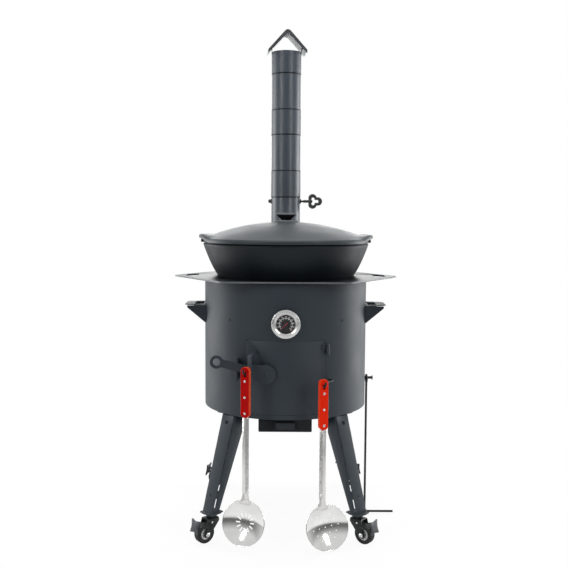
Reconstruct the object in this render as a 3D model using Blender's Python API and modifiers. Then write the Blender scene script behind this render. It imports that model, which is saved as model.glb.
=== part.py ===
"""Wood-fired cauldron stove on casters, with cauldron, lid, chimney, skimmers and poker.

Metres, +Z up. The front, with the fire door and the dial, faces -Y. The origin is the
centre of the bounding box at floor level. Inside the script every piece is laid out from
the stove's upright axis, which an empty carries to its place.
"""

import math

import bmesh
import bpy
from mathutils import Matrix, Vector

# Running clearances
SEAT_GAP = 0.0003
RUNNING_GAP = 0.0004
CUT_OVERRUN = 0.006
MERGE = 0.00001

# Round pieces: sides of each
BODY_SIDES = 48
PIPE_SIDES = 24
BOWL_SIDES = 24
WHEEL_SIDES = 24
SMALL_SIDES = 8

# Height of the legs and casters
WHEEL_RADIUS = 0.025
CASTER_HEIGHT = 0.0724
LEG_HEIGHT = 0.2358
MOUNT_PLATE_THICKNESS = 0.0035

# Firebox
BODY_RADIUS = 0.218
BODY_HEIGHT = 0.341
SHELL_WALL = 0.003
BODY_BOTTOM = CASTER_HEIGHT + LEG_HEIGHT + MOUNT_PLATE_THICKNESS + 2 * SEAT_GAP
BODY_TOP = BODY_BOTTOM + BODY_HEIGHT

# Base plate with the ash opening
BASE_THICKNESS = 0.003
ASH_OPENING_WIDTH = 0.11
ASH_OPENING_LENGTH = 0.24

# Top plate, a hexagon with two pointed ears
PLATE_THICKNESS = 0.004
PLATE_HALF_WIDTH = 0.302
PLATE_OVERHANG = 0.017
PLATE_HALF_DEPTH = BODY_RADIUS + PLATE_OVERHANG
PLATE_EDGE_HALF_LENGTH = 0.159
PLATE_TIP_ROUNDING = 0.010
PLATE_CORNER_ROUNDING = 0.018
PLATE_BOTTOM = BODY_TOP + SEAT_GAP
PLATE_TOP = PLATE_BOTTOM + PLATE_THICKNESS
GRIP_HOLE_INSET = 0.031
GRIP_HOLE_WIDTH = 0.032
GRIP_HOLE_HALF_LENGTH = 0.038
GRIP_HOLE_TIP_HALF_LENGTH = 0.016
GRIP_HOLE_ROUNDING = 0.008

# Cauldron, a spherical bowl hung in the top plate
CAULDRON_RADIUS = 0.2220
CAULDRON_WALL = 0.005
CAULDRON_CENTRE_ABOVE_PLATE = 0.1257
CAULDRON_RIM_ABOVE_PLATE = 0.0992
RIM_BAND_HEIGHT = 0.0069
RIM_BAND_WIDTH = 0.0028
CAULDRON_RINGS = 6
EAR_REACH = 0.0118
EAR_HALF_LENGTH = 0.055
EAR_TIP_HALF_LENGTH = 0.036
EAR_HEIGHT = 0.012
EAR_SLOT_WIDTH = 0.006
EAR_SLOT_HALF_LENGTH = 0.030
EAR_ROUNDING = 0.006

# Lid with its cast handle
LID_DOME_RADIUS = 0.5925
LID_WALL = 0.0045
LID_EDGE_BAND = 0.0045
LID_EDGE_INSET = 0.0045
LID_SKIRT_DEPTH = 0.006
LID_SKIRT_WALL = 0.004
LID_SKIRT_CLEARANCE = 0.0025
LID_RINGS = 3
LID_PAD_HALF_WIDTH = 0.034
LID_PAD_HALF_DEPTH = 0.020
LID_PAD_HEIGHT = 0.004
HANDLE_STEM_HALF_WIDTH = 0.014
HANDLE_STEM_HEIGHT = 0.008
HANDLE_FLARE_HALF_WIDTH = 0.025
HANDLE_FLARE_HEIGHT = 0.013
HANDLE_BAR_HALF_WIDTH = 0.0285
HANDLE_BAR_HEIGHT = 0.006
HANDLE_DEPTH = 0.024
HANDLE_ROUNDING = 0.0015

# Fire grate
GRATE_WALL_GAP = 0.019
GRATE_THICKNESS = 0.008
GRATE_FOOT_HEIGHT = 0.012
GRATE_FOOT_RADIUS = 0.008
GRATE_FOOT_INSET = 0.024
GRATE_BARS = 9
GRATE_SLOT_SHARE = 0.5
GRATE_RIM = 0.018

# Fire door, cut from the same curve as the shell
DOOR_HALF_WIDTH = 0.098
DOOR_BOTTOM_ABOVE_BASE = 0.013
DOOR_HEIGHT = 0.184
DOOR_CLEARANCE = 0.0015
DOOR_CORNER_ROUNDING = 0.006

# Lift-off hinges at the door's right edge
HINGE_STANDOFF = 0.0062
HINGE_BEYOND_DOOR = 0.007
HINGE_BARREL_RADIUS = 0.0045
HINGE_PIN_RADIUS = 0.002
HINGE_BARREL_LENGTH = 0.013
HINGE_INSET = 0.022
HINGE_LEAF_THICKNESS = 0.0028
HINGE_LEAF_LENGTH = 0.013

# Latch bar with a ring end, and its catch
LATCH_PIVOT_X = 0.048
LATCH_PIVOT_ABOVE_BASE = 0.1157
LATCH_RISE = math.radians(14)
LATCH_HEAD_RADIUS = 0.024
LATCH_BAR_HALF_WIDTH = 0.010
LATCH_TAPER_LENGTH = 0.052
LATCH_LENGTH = 0.1258
LATCH_RING_RADIUS = 0.0165
LATCH_RING_HOLE_RADIUS = 0.009
LATCH_ARC_STEPS = 18
LATCH_RING_SIDES = 20
LATCH_THICKNESS = 0.004
LATCH_STANDOFF = 0.003
LATCH_COLLAR_RADIUS = 0.009
LATCH_RIVET_RADIUS = 0.004
LATCH_RIVET_HEAD_RADIUS = 0.0058
LATCH_RIVET_HEAD_HEIGHT = 0.0018
CATCH_X = 0.120
CATCH_THICKNESS = 0.003
CATCH_SLOT_CLEARANCE = 0.0012
CATCH_LIP_THICKNESS = 0.006
CATCH_BACK_HEIGHT = 0.034
CATCH_FOOT_DEPTH = 0.008
CATCH_FLOOR_CLEARANCE = 0.0006

# Ash drawer in its rails
DRAWER_HEIGHT = 0.033
DRAWER_FRONT_INSET = 0.018
DRAWER_LENGTH = 0.330
DRAWER_WALL = 0.0015
DRAWER_FLANGE_WIDTH = 0.0050
DRAWER_TOP_CLEARANCE = 0.0015
RAIL_LIP_DROP = 0.0045
RAIL_THICKNESS = 0.0016
RAIL_SIDE_CLEARANCE = 0.0008
RAIL_LENGTH = 0.260
RAIL_MOUNT_GAP = 0.0021
DRAWER_PULL_HALF_WIDTH = 0.0235
DRAWER_PULL_REACH = 0.013
DRAWER_PULL_DROP = 0.016
DRAWER_PULL_BELOW_TOP = 0.0075
DRAWER_PULL_THICKNESS = 0.002

# Thermometer in the shell above the door
DIAL_ABOVE_DOOR = 0.044
DIAL_CASE_RADIUS = 0.038
DIAL_BACK_RADIUS = 0.033
DIAL_FACE_RADIUS = 0.0245
DIAL_CASE_DEPTH = 0.014
DIAL_BEZEL_SLOPE = 0.0035
DIAL_FACE_DEPTH = 0.0045
DIAL_WALL = 0.0012
DIAL_PLATE_THICKNESS = 0.0008
DIAL_GLASS_THICKNESS = 0.0010
DIAL_GLASS_SET_BACK = 0.0006
DIAL_STEM_RADIUS = 0.004
DIAL_STEM_LENGTH = 0.055
DIAL_SIDES = 32
NUT_RADIUS = 0.0095
NUT_THICKNESS = 0.006
NEEDLE_LENGTH = 0.0175
NEEDLE_TAIL = 0.005
NEEDLE_HALF_WIDTH = 0.0010
NEEDLE_THICKNESS = 0.0005
NEEDLE_HUB_RADIUS = 0.0018
NEEDLE_START = math.radians(225)

# Side handles, folded from sheet
HANDLE_PLATE_THICKNESS = 0.0025
HANDLE_ABOVE_BASE = 0.270
HANDLE_REACH = 0.052
HANDLE_HALF_LENGTH = 0.0575
HANDLE_TIP_HALF_LENGTH = 0.040
HANDLE_CORNER_ROUNDING = 0.014
HANDLE_SLOT_REACH = 0.027
HANDLE_SLOT_HALF_LENGTH = 0.037
GUSSET_REACH = 0.037
GUSSET_TIP_DROP = 0.015
GUSSET_ROOT_DROP = 0.050

# Chimney pipes and their couplings
PIPE_RADIUS = 0.0440
PIPE_WALL = 0.0010
PIPE_BEHIND_PLATE = 0.0045
COUPLING_WALL = 0.0008
COUPLING_LENGTH = 0.0758
SOCKET_LENGTH = 0.025
FLUE_BRANCH_RADIUS = 0.040
FLUE_BRANCH_BELOW_TOP = 0.076
FLUE_BOTTOM_ABOVE_BASE = 0.190
FLUE_TEE_TOP_ABOVE_PLATE = 0.100
DAMPER_PIPE_LENGTH = 0.1584
LOWER_PIPE_LENGTH = 0.1868
UPPER_PIPE_LENGTH = 0.1856
CAP_COLLAR_LENGTH = 0.0634
CAP_COLLAR_OVERLAP = 0.030
CAP_HALF_WIDTH = 0.060
CAP_RISE = 0.0537
CAP_HALF_DEPTH = 0.046
CAP_SHEET = 0.0012
CAP_CREST_ROUNDING = 0.0175
CAP_TURN = math.radians(4)

# Damper in the chimney
DAMPER_BELOW_COUPLING = 0.0135
DAMPER_EDGE_CLEARANCE = 0.0018
DAMPER_THICKNESS = 0.002
DAMPER_ROD_RADIUS = 0.003
DAMPER_ROD_REACH = 0.018
DAMPER_STOP_RADIUS = 0.0055
DAMPER_STOP_LENGTH = 0.006
DAMPER_STOP_REACH = 0.004
KEY_LOBES = 3
KEY_LOBE_SIDES = 16
KEY_LOBE_RADIUS = 0.0128
KEY_LOBE_RING = 0.011
KEY_HOLE_LOBE_RADIUS = 0.0052
KEY_HOLE_RING = 0.0082
KEY_HOLE_RADIUS = 0.006
KEY_THICKNESS = 0.006
KEY_CENTRE_REACH = 0.0434
KEY_BOSS_RADIUS = 0.0055

# Legs, folded channels under the body
LEG_AZIMUTH = math.radians(41.7)
LEG_LEAN = math.radians(17.2)
LEG_TOP_WIDTH = 0.046
LEG_FOOT_WIDTH = 0.040
LEG_SHEET = 0.003
LEG_FLANGE_TOP_DEPTH = 0.0282
LEG_KNEE_DROP = 0.045
LEG_FLANGE_FOOT_DEPTH = 0.0198
LEG_TOP_HOLE_RADIUS = 0.0055
LEG_TOP_HOLE_DROP = 0.017
LEG_LOW_HOLE_RADIUS = 0.004
LEG_LOW_HOLE_RISE = 0.043
LEG_SLOTS = 5
LEG_SLOT_LENGTH = 0.029
LEG_SLOT_HALF_WIDTH = 0.0034
LEG_SLOT_PITCH = 0.047
LEG_FIRST_SLOT_DROP = 0.024
FOOT_PLATE_SIZE = 0.042
FOOT_PLATE_THICKNESS = 0.003
FOOT_PLATE_INSET = 0.0135
MOUNT_PLATE_HALF_WIDTH = 0.050
MOUNT_PLATE_DEPTH = 0.038
MOUNT_BOLT_SPREAD = 0.036
MOUNT_BOLT_RADIUS = 0.003
MOUNT_BOLT_HEAD_RADIUS = 0.0055
MOUNT_BOLT_HEAD_HEIGHT = 0.004

# Swivel casters with brake pedals
CASTER_PLATE_SIZE = 0.036
CASTER_PLATE_THICKNESS = 0.0028
BEARING_RADIUS = 0.0135
BEARING_HEIGHT = 0.0072
CASTER_TRAIL = 0.022
FORK_SHEET = 0.002
FORK_HALF_WIDTH = 0.0145
FORK_FRONT_REACH = 0.014
FORK_FOOT_RADIUS = 0.009
FORK_FOOT_FROM = math.radians(215)
FORK_FOOT_TO = math.radians(380)
AXLE_RADIUS = 0.004
AXLE_HEAD_REACH = 0.004
TYRE_HALF_WIDTH = 0.0095
TYRE_SHOULDER = 0.003
HUB_RADIUS = 0.0160
HUB_HALF_WIDTH = 0.0085
PEDAL_HALF_WIDTH = 0.0175
PEDAL_HALF_HEIGHT = 0.0175
PEDAL_NOTCH = 0.004
PEDAL_THICKNESS = 0.003
PEDAL_REACH = 0.0275
PEDAL_RISE = 0.0225
PEDAL_TILT = math.radians(10)
PEDAL_EYE_RADIUS = 0.0075
PEDAL_EYE_FROM = math.radians(100)
PEDAL_EYE_TO = math.radians(260)
TRAIL_BEARINGS = {
    "front_left": math.radians(219),
    "front_right": math.radians(321),
    "rear_left": math.radians(163),
    "rear_right": math.radians(40),
}

# Skimmers on their hooks
SKIMMER_REACH = 0.064
SKIMMER_BOWL_RADIUS = 0.0555
SKIMMER_BOWL_DEPTH = 0.014
SKIMMER_SHEET = 0.0014
SKIMMER_RIM = 0.002
SKIMMER_TILT = math.radians(15)
SKIMMER_SHAFT_WIDTH = 0.0155
SKIMMER_SHAFT_THICKNESS = 0.004
SKIMMER_NECK_WIDTH = 0.024
SKIMMER_NECK_LENGTH = 0.030
SKIMMER_TANG_THICKNESS = 0.002
SKIMMER_TANG_WIDTH = 0.014
SLOTTED_FLOOR_CLEARANCE = 0.0195
HOLED_FLOOR_CLEARANCE = 0.0077
SLOTTED_BEARING = math.radians(-19.9)
HOLED_BEARING = math.radians(18.9)
SLOTTED_HANG_ABOVE_BASE = 0.1235
HOLED_HANG_ABOVE_BASE = 0.0950
GRIP_WIDTH = 0.026
GRIP_THICKNESS = 0.013
GRIP_LENGTH = 0.126
GRIP_ROUNDING = 0.0028
GRIP_END_ROUNDING = 0.011
GRIP_HOLE_BELOW_TOP = 0.0186
HANG_HOLE_HALF_WIDTH = 0.003
HANG_HOLE_HALF_HEIGHT = 0.006
RIVET_FIRST_DROP = 0.0155
RIVET_PITCH = 0.040
RIVET_RADIUS = 0.002
RIVET_HEAD_RADIUS = 0.003
RIVET_HEAD_HEIGHT = 0.0008
RIVETS = 3
BOWL_SLOTS = 12
BOWL_RINGS = 3
BOWL_SLOT_HALF_WIDTH = 0.0016
BOWL_SLOT_INNER = 0.013
BOWL_SLOT_OUTER = 0.024
BOWL_HOLE_RADIUS = 0.0016
BOWL_HOLE_PITCH = 0.0165
BOWL_HOLE_FIELD = 0.036

# Hooks for the skimmers and the poker
HOOK_STRAP_WIDTH = 0.010
HOOK_STRAP_THICKNESS = 0.0025
HOOK_STRAP_REACH = 0.039
HOOK_STRAP_RISE = 0.044
HOOK_STRAP_SLOPE = 0.005
HOOK_PEG_RADIUS = 0.0022
HOOK_PEG_OVERHANG = 0.010
HOOK_PEG_TURN_UP = 0.011
WIRE_HOOK_BEARING = math.radians(29.6)
PEG_SEGMENTS = 8

# Poker on its peg at the right side
POKER_RADIUS = 0.003
POKER_EYE_RADIUS = 0.010
POKER_EYE_SIDES = 12
POKER_SIDE_GAP = 0.001
POKER_Y = -0.015
POKER_FOOT_LENGTH = 0.078
POKER_BEND = 0.009
POKER_FLOOR_CLEARANCE = 0.003
POKER_TOP_ABOVE_BASE = 0.078
POKER_PEG_RADIUS = 0.0035
POKER_PEG_LENGTH = 0.020
POKER_PEG_HEAD_RADIUS = 0.0065
POKER_PEG_HEAD_THICKNESS = 0.002

# Places that follow from the sizes above
CHIMNEY_RADIUS_OUTSIDE = PIPE_RADIUS + SEAT_GAP + COUPLING_WALL
CHIMNEY_Y = PLATE_HALF_DEPTH + PIPE_BEHIND_PLATE + CHIMNEY_RADIUS_OUTSIDE
DOOR_BOTTOM = BODY_BOTTOM + DOOR_BOTTOM_ABOVE_BASE
DOOR_TOP = DOOR_BOTTOM + DOOR_HEIGHT
DIAL_Z = DOOR_TOP + DIAL_ABOVE_DOOR
HANG_RADIUS = BODY_RADIUS + SKIMMER_REACH
HINGE_X = DOOR_HALF_WIDTH + HINGE_BEYOND_DOOR
HINGE_Y = -math.sqrt((BODY_RADIUS + HINGE_STANDOFF) ** 2 - HINGE_X ** 2)
LATCH_BACK_Y = -(BODY_RADIUS + LATCH_STANDOFF)
LATCH_PIVOT_Z = BODY_BOTTOM + LATCH_PIVOT_ABOVE_BASE
BOWL_FORWARD = 2 * SKIMMER_BOWL_RADIUS * math.sin(SKIMMER_TILT)
FRONT_REACH = (HANG_RADIUS + BOWL_FORWARD) * math.cos(HOLED_BEARING)
BACK_REACH = CHIMNEY_Y + CAP_HALF_DEPTH
AXIS_Y = (FRONT_REACH - BACK_REACH) / 2
MOUNT_CORNER_REACH = math.sqrt((BODY_RADIUS - SHELL_WALL) ** 2 - MOUNT_PLATE_HALF_WIDTH ** 2)
MOUNT_RADIUS = MOUNT_CORNER_REACH - MOUNT_PLATE_DEPTH / 2
MOUNT_ROOM = (MOUNT_RADIUS - MOUNT_PLATE_DEPTH / 2) * math.sin(LEG_AZIMUTH)
MOUNT_INNER_X = MOUNT_ROOM - MOUNT_PLATE_HALF_WIDTH * math.cos(LEG_AZIMUTH)
RAIL_OUTSIDE_DRAWER = DRAWER_FLANGE_WIDTH + RAIL_SIDE_CLEARANCE + RAIL_THICKNESS
DRAWER_HALF_WIDTH = MOUNT_INNER_X - RAIL_MOUNT_GAP - RAIL_OUTSIDE_DRAWER

UP = Vector((0, 0, 1))


def clear_scene():
    for obj in list(bpy.data.objects):
        bpy.data.objects.remove(obj, do_unlink=True)


def new_collection(name):
    collection = bpy.data.collections.new(name)
    bpy.context.scene.collection.children.link(collection)
    return collection


clear_scene()
PARTS = new_collection("cauldron_stove")
CUTTERS = new_collection("cutters")


def pivot(name, place):
    """An empty on a joint's axis, given from the stove's axis at floor level."""
    empty = bpy.data.objects.new(name, None)
    PARTS.objects.link(empty)
    empty.parent = STOVE
    empty.location = place
    return empty


STOVE = bpy.data.objects.new("stove_axis", None)
PARTS.objects.link(STOVE)
STOVE.location = (0, AXIS_Y, 0)


def material(name, colour, roughness, metallic):
    made = bpy.data.materials.new(name)
    made.use_nodes = True
    shader = made.node_tree.nodes["Principled BSDF"]
    shader.inputs["Base Color"].default_value = (*colour, 1)
    shader.inputs["Roughness"].default_value = roughness
    shader.inputs["Metallic"].default_value = metallic
    return made


POWDER_COAT = ((0.045, 0.053, 0.064), 0.62, 0.0)
CAST_IRON = ((0.030, 0.033, 0.036), 0.55, 0.3)
PIPE_STEEL = ((0.050, 0.056, 0.062), 0.5, 0.2)
STAINLESS = ((0.62, 0.62, 0.60), 0.25, 1.0)
BLACK_PLASTIC = ((0.02, 0.02, 0.022), 0.45, 0.0)
RED_GRIP = ((0.62, 0.02, 0.01), 0.35, 0.0)


def part(obj, name, finish, at=None):
    """Names a finished piece, gives it its material and hangs it on its pivot."""
    obj.name = name
    obj.data.name = name
    obj.data.materials.clear()
    obj.data.materials.append(material(name + "_finish", *finish))
    obj.parent = at or STOVE
    if at:
        obj.location = obj.location - at.location
    obj.data.shade_smooth()
    obj.data.set_sharp_from_angle(angle=math.radians(35))
    return obj


def mesh_object(name, mesh):
    obj = bpy.data.objects.new(name, mesh)
    PARTS.objects.link(obj)
    obj.parent = STOVE
    return obj


def place(obj, origin, x_axis=(1, 0, 0), y_axis=(0, 1, 0)):
    x = Vector(x_axis).normalized()
    y = Vector(y_axis).normalized()
    z = x.cross(y)
    turn = Matrix((x, y, z)).transposed()
    obj.rotation_euler = turn.to_euler()
    obj.location = Vector(origin)
    return obj


def box(size, centre):
    mesh = bpy.data.meshes.new("box")
    work = bmesh.new()
    bmesh.ops.create_cube(work, size=1)
    bmesh.ops.scale(work, vec=size, verts=work.verts)
    work.to_mesh(mesh)
    work.free()
    obj = mesh_object("box", mesh)
    obj.location = Vector(centre)
    return obj


def cylinder(radius, length, sides, centre, axis=(0, 0, 1), top_radius=None, caps=True):
    mesh = bpy.data.meshes.new("cylinder")
    work = bmesh.new()
    far = radius if top_radius is None else top_radius
    bmesh.ops.create_cone(work, cap_ends=caps, segments=sides, radius1=radius, radius2=far, depth=length)
    work.to_mesh(mesh)
    work.free()
    obj = mesh_object("cylinder", mesh)
    obj.rotation_euler = UP.rotation_difference(Vector(axis)).to_euler()
    obj.location = Vector(centre)
    return obj


def around(radius, gap, sides):
    """The vertex radius of a bore whose flats clear a shaft by the gap."""
    return (radius + gap) / math.cos(math.pi / sides)


def turned(profile, sides, centre, axis=(0, 0, 1), closed=True, half_step=False):
    """A profile of (radius, height) pairs spun about the axis."""
    mesh = bpy.data.meshes.new("turned")
    start = math.pi / sides if half_step else 0
    points = [(r * math.cos(start), r * math.sin(start), z) for r, z in profile]
    edges = [(i, i + 1) for i in range(len(points) - 1)]
    if closed:
        edges.append((len(points) - 1, 0))
    mesh.from_pydata(points, edges, [])
    obj = mesh_object("turned", mesh)
    screw = obj.modifiers.new("turn", "SCREW")
    screw.steps = sides
    screw.render_steps = sides
    screw.use_merge_vertices = True
    screw.merge_threshold = MERGE
    obj.rotation_euler = UP.rotation_difference(Vector(axis)).to_euler()
    obj.location = Vector(centre)
    return obj


def as_mesh(obj):
    """Turns a curve, or an object with modifiers, into a plain welded mesh."""
    graph = bpy.context.evaluated_depsgraph_get()
    mesh = bpy.data.meshes.new_from_object(obj.evaluated_get(graph), depsgraph=graph)
    work = bmesh.new()
    work.from_mesh(mesh)
    bmesh.ops.remove_doubles(work, verts=work.verts, dist=MERGE)
    bmesh.ops.recalc_face_normals(work, faces=work.faces)
    work.to_mesh(mesh)
    work.free()
    made = mesh_object(obj.name, mesh)
    made.location = obj.location
    made.rotation_euler = obj.rotation_euler
    bpy.data.objects.remove(obj, do_unlink=True)
    return made


def outline(loops, thickness):
    """A flat plate, with any holes, centred on its own z = 0."""
    curve = bpy.data.curves.new("outline", "CURVE")
    curve.dimensions = "2D"
    curve.fill_mode = "BOTH"
    curve.extrude = thickness / 2
    for loop in loops:
        spline = curve.splines.new("POLY")
        spline.points.add(len(loop) - 1)
        for point, (x, y) in zip(spline.points, loop):
            point.co = (x, y, 0, 1)
        spline.use_cyclic_u = True
    obj = bpy.data.objects.new("outline", curve)
    PARTS.objects.link(obj)
    return as_mesh(obj)


def tube(points, radius, closed=False, resolution=2):
    curve = bpy.data.curves.new("tube", "CURVE")
    curve.dimensions = "3D"
    curve.bevel_depth = radius
    curve.bevel_resolution = resolution
    curve.use_fill_caps = True
    spline = curve.splines.new("POLY")
    spline.points.add(len(points) - 1)
    for point, place_at in zip(spline.points, points):
        point.co = (*place_at, 1)
    spline.use_cyclic_u = closed
    obj = bpy.data.objects.new("tube", curve)
    PARTS.objects.link(obj)
    return as_mesh(obj)


def as_cutter(obj):
    PARTS.objects.unlink(obj)
    CUTTERS.objects.link(obj)
    obj.hide_render = True
    obj.display_type = "WIRE"
    return obj


def boolean(target, other, operation):
    step = target.modifiers.new(operation.lower(), "BOOLEAN")
    step.operation = operation
    step.solver = "EXACT"
    step.object = other
    if PARTS.objects.get(other.name):
        as_cutter(other)
    return target


def cut(target, *cutters):
    for cutter in cutters:
        boolean(target, cutter, "DIFFERENCE")
    return target


def unite(target, *others):
    for other in others:
        boolean(target, other, "UNION")
    return target


def gather(pieces):
    """One object that holds several separate solids."""
    bpy.context.view_layer.update()
    graph = bpy.context.evaluated_depsgraph_get()
    work = bmesh.new()
    back = Matrix.Translation((0, -AXIS_Y, 0))
    for piece in pieces:
        evaluated = piece.evaluated_get(graph)
        mesh = bpy.data.meshes.new_from_object(evaluated, depsgraph=graph)
        mesh.transform(back @ evaluated.matrix_world)
        work.from_mesh(mesh)
        bpy.data.meshes.remove(mesh)
        bpy.data.objects.remove(piece, do_unlink=True)
    mesh = bpy.data.meshes.new("group")
    work.to_mesh(mesh)
    work.free()
    return mesh_object("group", mesh)


def bevel(obj, width, segments=2):
    step = obj.modifiers.new("rounded_edges", "BEVEL")
    step.width = width
    step.segments = segments
    step.limit_method = "ANGLE"
    step.angle_limit = math.radians(50)
    return obj


def arc(centre, radius, start, end, steps):
    x, y = centre
    angles = [start + (end - start) * i / steps for i in range(steps + 1)]
    return [(x + radius * math.cos(a), y + radius * math.sin(a)) for a in angles]


def circle(radius, sides, centre=(0, 0)):
    return arc(centre, radius, 0, 2 * math.pi, sides)[:-1]


def rounded(corners, rounding, steps=4):
    """The polygon through the corners, each rounded by its own radius."""
    points = []
    count = len(corners)
    radii = rounding if isinstance(rounding, (list, tuple)) else [rounding] * count
    for i, (corner, radius) in enumerate(zip(corners, radii)):
        here = Vector(corner)
        before = (Vector(corners[i - 1]) - here).normalized()
        after = (Vector(corners[(i + 1) % count]) - here).normalized()
        if radius == 0:
            points.append(tuple(here))
            continue
        half = before.angle(after) / 2
        reach = radius / math.tan(half)
        middle = here + (before + after).normalized() * radius / math.sin(half)
        first = here + before * reach - middle
        last = here + after * reach - middle
        turn = first.angle_signed(last)
        for k in range(steps + 1):
            spoke = Vector(first)
            spoke.rotate(Matrix.Rotation(-turn * k / steps, 2))
            points.append(tuple(middle + spoke))
    return points


def strip(path, thickness):
    """The outline of a bent sheet seen edge on, centred on its path."""
    left = []
    right = []
    for i, point in enumerate(path):
        here = Vector(point)
        ahead = (Vector(path[min(i + 1, len(path) - 1)]) - here).normalized()
        behind = (here - Vector(path[max(i - 1, 0)])).normalized()
        if i == 0:
            behind = ahead
        if i == len(path) - 1:
            ahead = behind
        along = (ahead + behind).normalized()
        side = Vector((-along.y, along.x)) * thickness / 2 / max(along.dot(ahead), MERGE)
        left.append(tuple(here + side))
        right.append(tuple(here - side))
    return left + right[::-1]


def outward(bearing):
    """The level direction away from the stove's axis, measured from the front."""
    return Vector((math.sin(bearing), -math.cos(bearing), 0))


def sideways(bearing):
    return Vector((math.cos(bearing), math.sin(bearing), 0))


def body_surface(gap):
    """A drum as wide as the body and its gap, for fitting pieces to its side."""
    radius = BODY_RADIUS + gap / math.cos(math.pi / BODY_SIDES)
    length = BODY_HEIGHT + 2 * CUT_OVERRUN
    return cylinder(radius, length, BODY_SIDES, (0, 0, BODY_BOTTOM + BODY_HEIGHT / 2))


def door_prism(clearance):
    """The door's outline, run through the front of the shell."""
    half = DOOR_HALF_WIDTH + clearance
    low = DOOR_BOTTOM - clearance
    high = DOOR_TOP + clearance
    corners = [(-half, low), (half, low), (half, high), (-half, high)]
    obj = outline([rounded(corners, DOOR_CORNER_ROUNDING, 3)], BODY_RADIUS)
    return place(obj, (0, -BODY_RADIUS, 0), (1, 0, 0), (0, 0, 1))


def open_drum():
    obj = cylinder(BODY_RADIUS, BODY_HEIGHT, BODY_SIDES, (0, 0, BODY_BOTTOM + BODY_HEIGHT / 2), caps=False)
    wall = obj.modifiers.new("wall", "SOLIDIFY")
    wall.thickness = SHELL_WALL
    wall.offset = -1
    wall.use_even_offset = True
    return obj


def make_fire_shell():
    shell = open_drum()
    cut(shell, door_prism(DOOR_CLEARANCE))
    branch_z = BODY_TOP - FLUE_BRANCH_BELOW_TOP
    branch_bore = around(FLUE_BRANCH_RADIUS, SEAT_GAP, PIPE_SIDES)
    branch = cylinder(branch_bore, BODY_RADIUS, PIPE_SIDES, (0, BODY_RADIUS, branch_z), (0, 1, 0))
    stem_bore = around(DIAL_STEM_RADIUS, SEAT_GAP, SMALL_SIDES)
    stem = cylinder(stem_bore, BODY_RADIUS, SMALL_SIDES, (0, -BODY_RADIUS, DIAL_Z), (0, 1, 0))
    cut(shell, branch, stem)
    part(shell, "fire_shell", POWDER_COAT)


def make_base_plate():
    radius = BODY_RADIUS - (SHELL_WALL + SEAT_GAP) / math.cos(math.pi / BODY_SIDES)
    half_width = ASH_OPENING_WIDTH / 2
    half_length = ASH_OPENING_LENGTH / 2
    corners = [(-half_width, -half_length), (half_width, -half_length)]
    corners += [(half_width, half_length), (-half_width, half_length)]
    bolt_bore = around(MOUNT_BOLT_RADIUS, SEAT_GAP, SMALL_SIDES)
    bolts = [circle(bolt_bore, SMALL_SIDES, place_at) for place_at in mount_bolt_places()]
    plate = outline([circle(radius, BODY_SIDES), corners] + bolts, BASE_THICKNESS)
    place(plate, (0, 0, BODY_BOTTOM + BASE_THICKNESS / 2))
    part(plate, "base_plate", POWDER_COAT)


def cauldron_section(height_above_plate):
    """The bowl's outer radius at a height above the top plate's upper face."""
    drop = CAULDRON_CENTRE_ABOVE_PLATE - height_above_plate
    return math.sqrt(CAULDRON_RADIUS ** 2 - drop ** 2)


def make_top_plate():
    tip = (PLATE_HALF_WIDTH, 0)
    edge = PLATE_EDGE_HALF_LENGTH
    depth = PLATE_HALF_DEPTH
    corners = [tip, (edge, depth), (-edge, depth), (-tip[0], 0), (-edge, -depth), (edge, -depth)]
    radii = [PLATE_TIP_ROUNDING, PLATE_CORNER_ROUNDING, PLATE_CORNER_ROUNDING] * 2
    seat = cauldron_section(0) + SEAT_GAP
    loops = [rounded(corners, radii), circle(seat, BODY_SIDES)]
    outer = PLATE_HALF_WIDTH - GRIP_HOLE_INSET
    inner = outer - GRIP_HOLE_WIDTH
    for side in (-1, 1):
        hole = [(side * outer, -GRIP_HOLE_TIP_HALF_LENGTH), (side * outer, GRIP_HOLE_TIP_HALF_LENGTH)]
        hole += [(side * inner, GRIP_HOLE_HALF_LENGTH), (side * inner, -GRIP_HOLE_HALF_LENGTH)]
        loops.append(rounded(hole, GRIP_HOLE_ROUNDING, 3))
    plate = outline(loops, PLATE_THICKNESS)
    place(plate, (0, 0, PLATE_BOTTOM + PLATE_THICKNESS / 2))
    part(plate, "top_plate", POWDER_COAT)


def make_grate():
    low = BODY_BOTTOM + BASE_THICKNESS + SEAT_GAP
    middle = low + GRATE_FOOT_HEIGHT + GRATE_THICKNESS / 2
    radius = BODY_RADIUS - SHELL_WALL - GRATE_WALL_GAP
    grate = cylinder(radius, GRATE_THICKNESS, PIPE_SIDES, (0, 0, middle))
    field = radius - GRATE_RIM
    pitch = 2 * field / GRATE_BARS
    slot = pitch * GRATE_SLOT_SHARE
    slots = []
    for i in range(GRATE_BARS):
        x = (i - (GRATE_BARS - 1) / 2) * pitch
        reach = math.sqrt(field ** 2 - (abs(x) + slot / 2) ** 2)
        length = reach - GRATE_RIM / 2
        for side in (-1, 1):
            if length > slot:
                y = side * (GRATE_RIM / 2 + length / 2)
                slots.append(box((slot, length, 2 * GRATE_THICKNESS), (x, y, middle)))
    cut(grate, as_cutter(gather(slots)))
    for i in range(4):
        centre = outward(math.pi / 4 + i * math.pi / 2) * (radius - GRATE_FOOT_INSET)
        height = GRATE_FOOT_HEIGHT + GRATE_THICKNESS / 2
        centre.z = low + height / 2
        unite(grate, cylinder(GRATE_FOOT_RADIUS, height, SMALL_SIDES, centre))
    part(grate, "grate", CAST_IRON)


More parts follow.
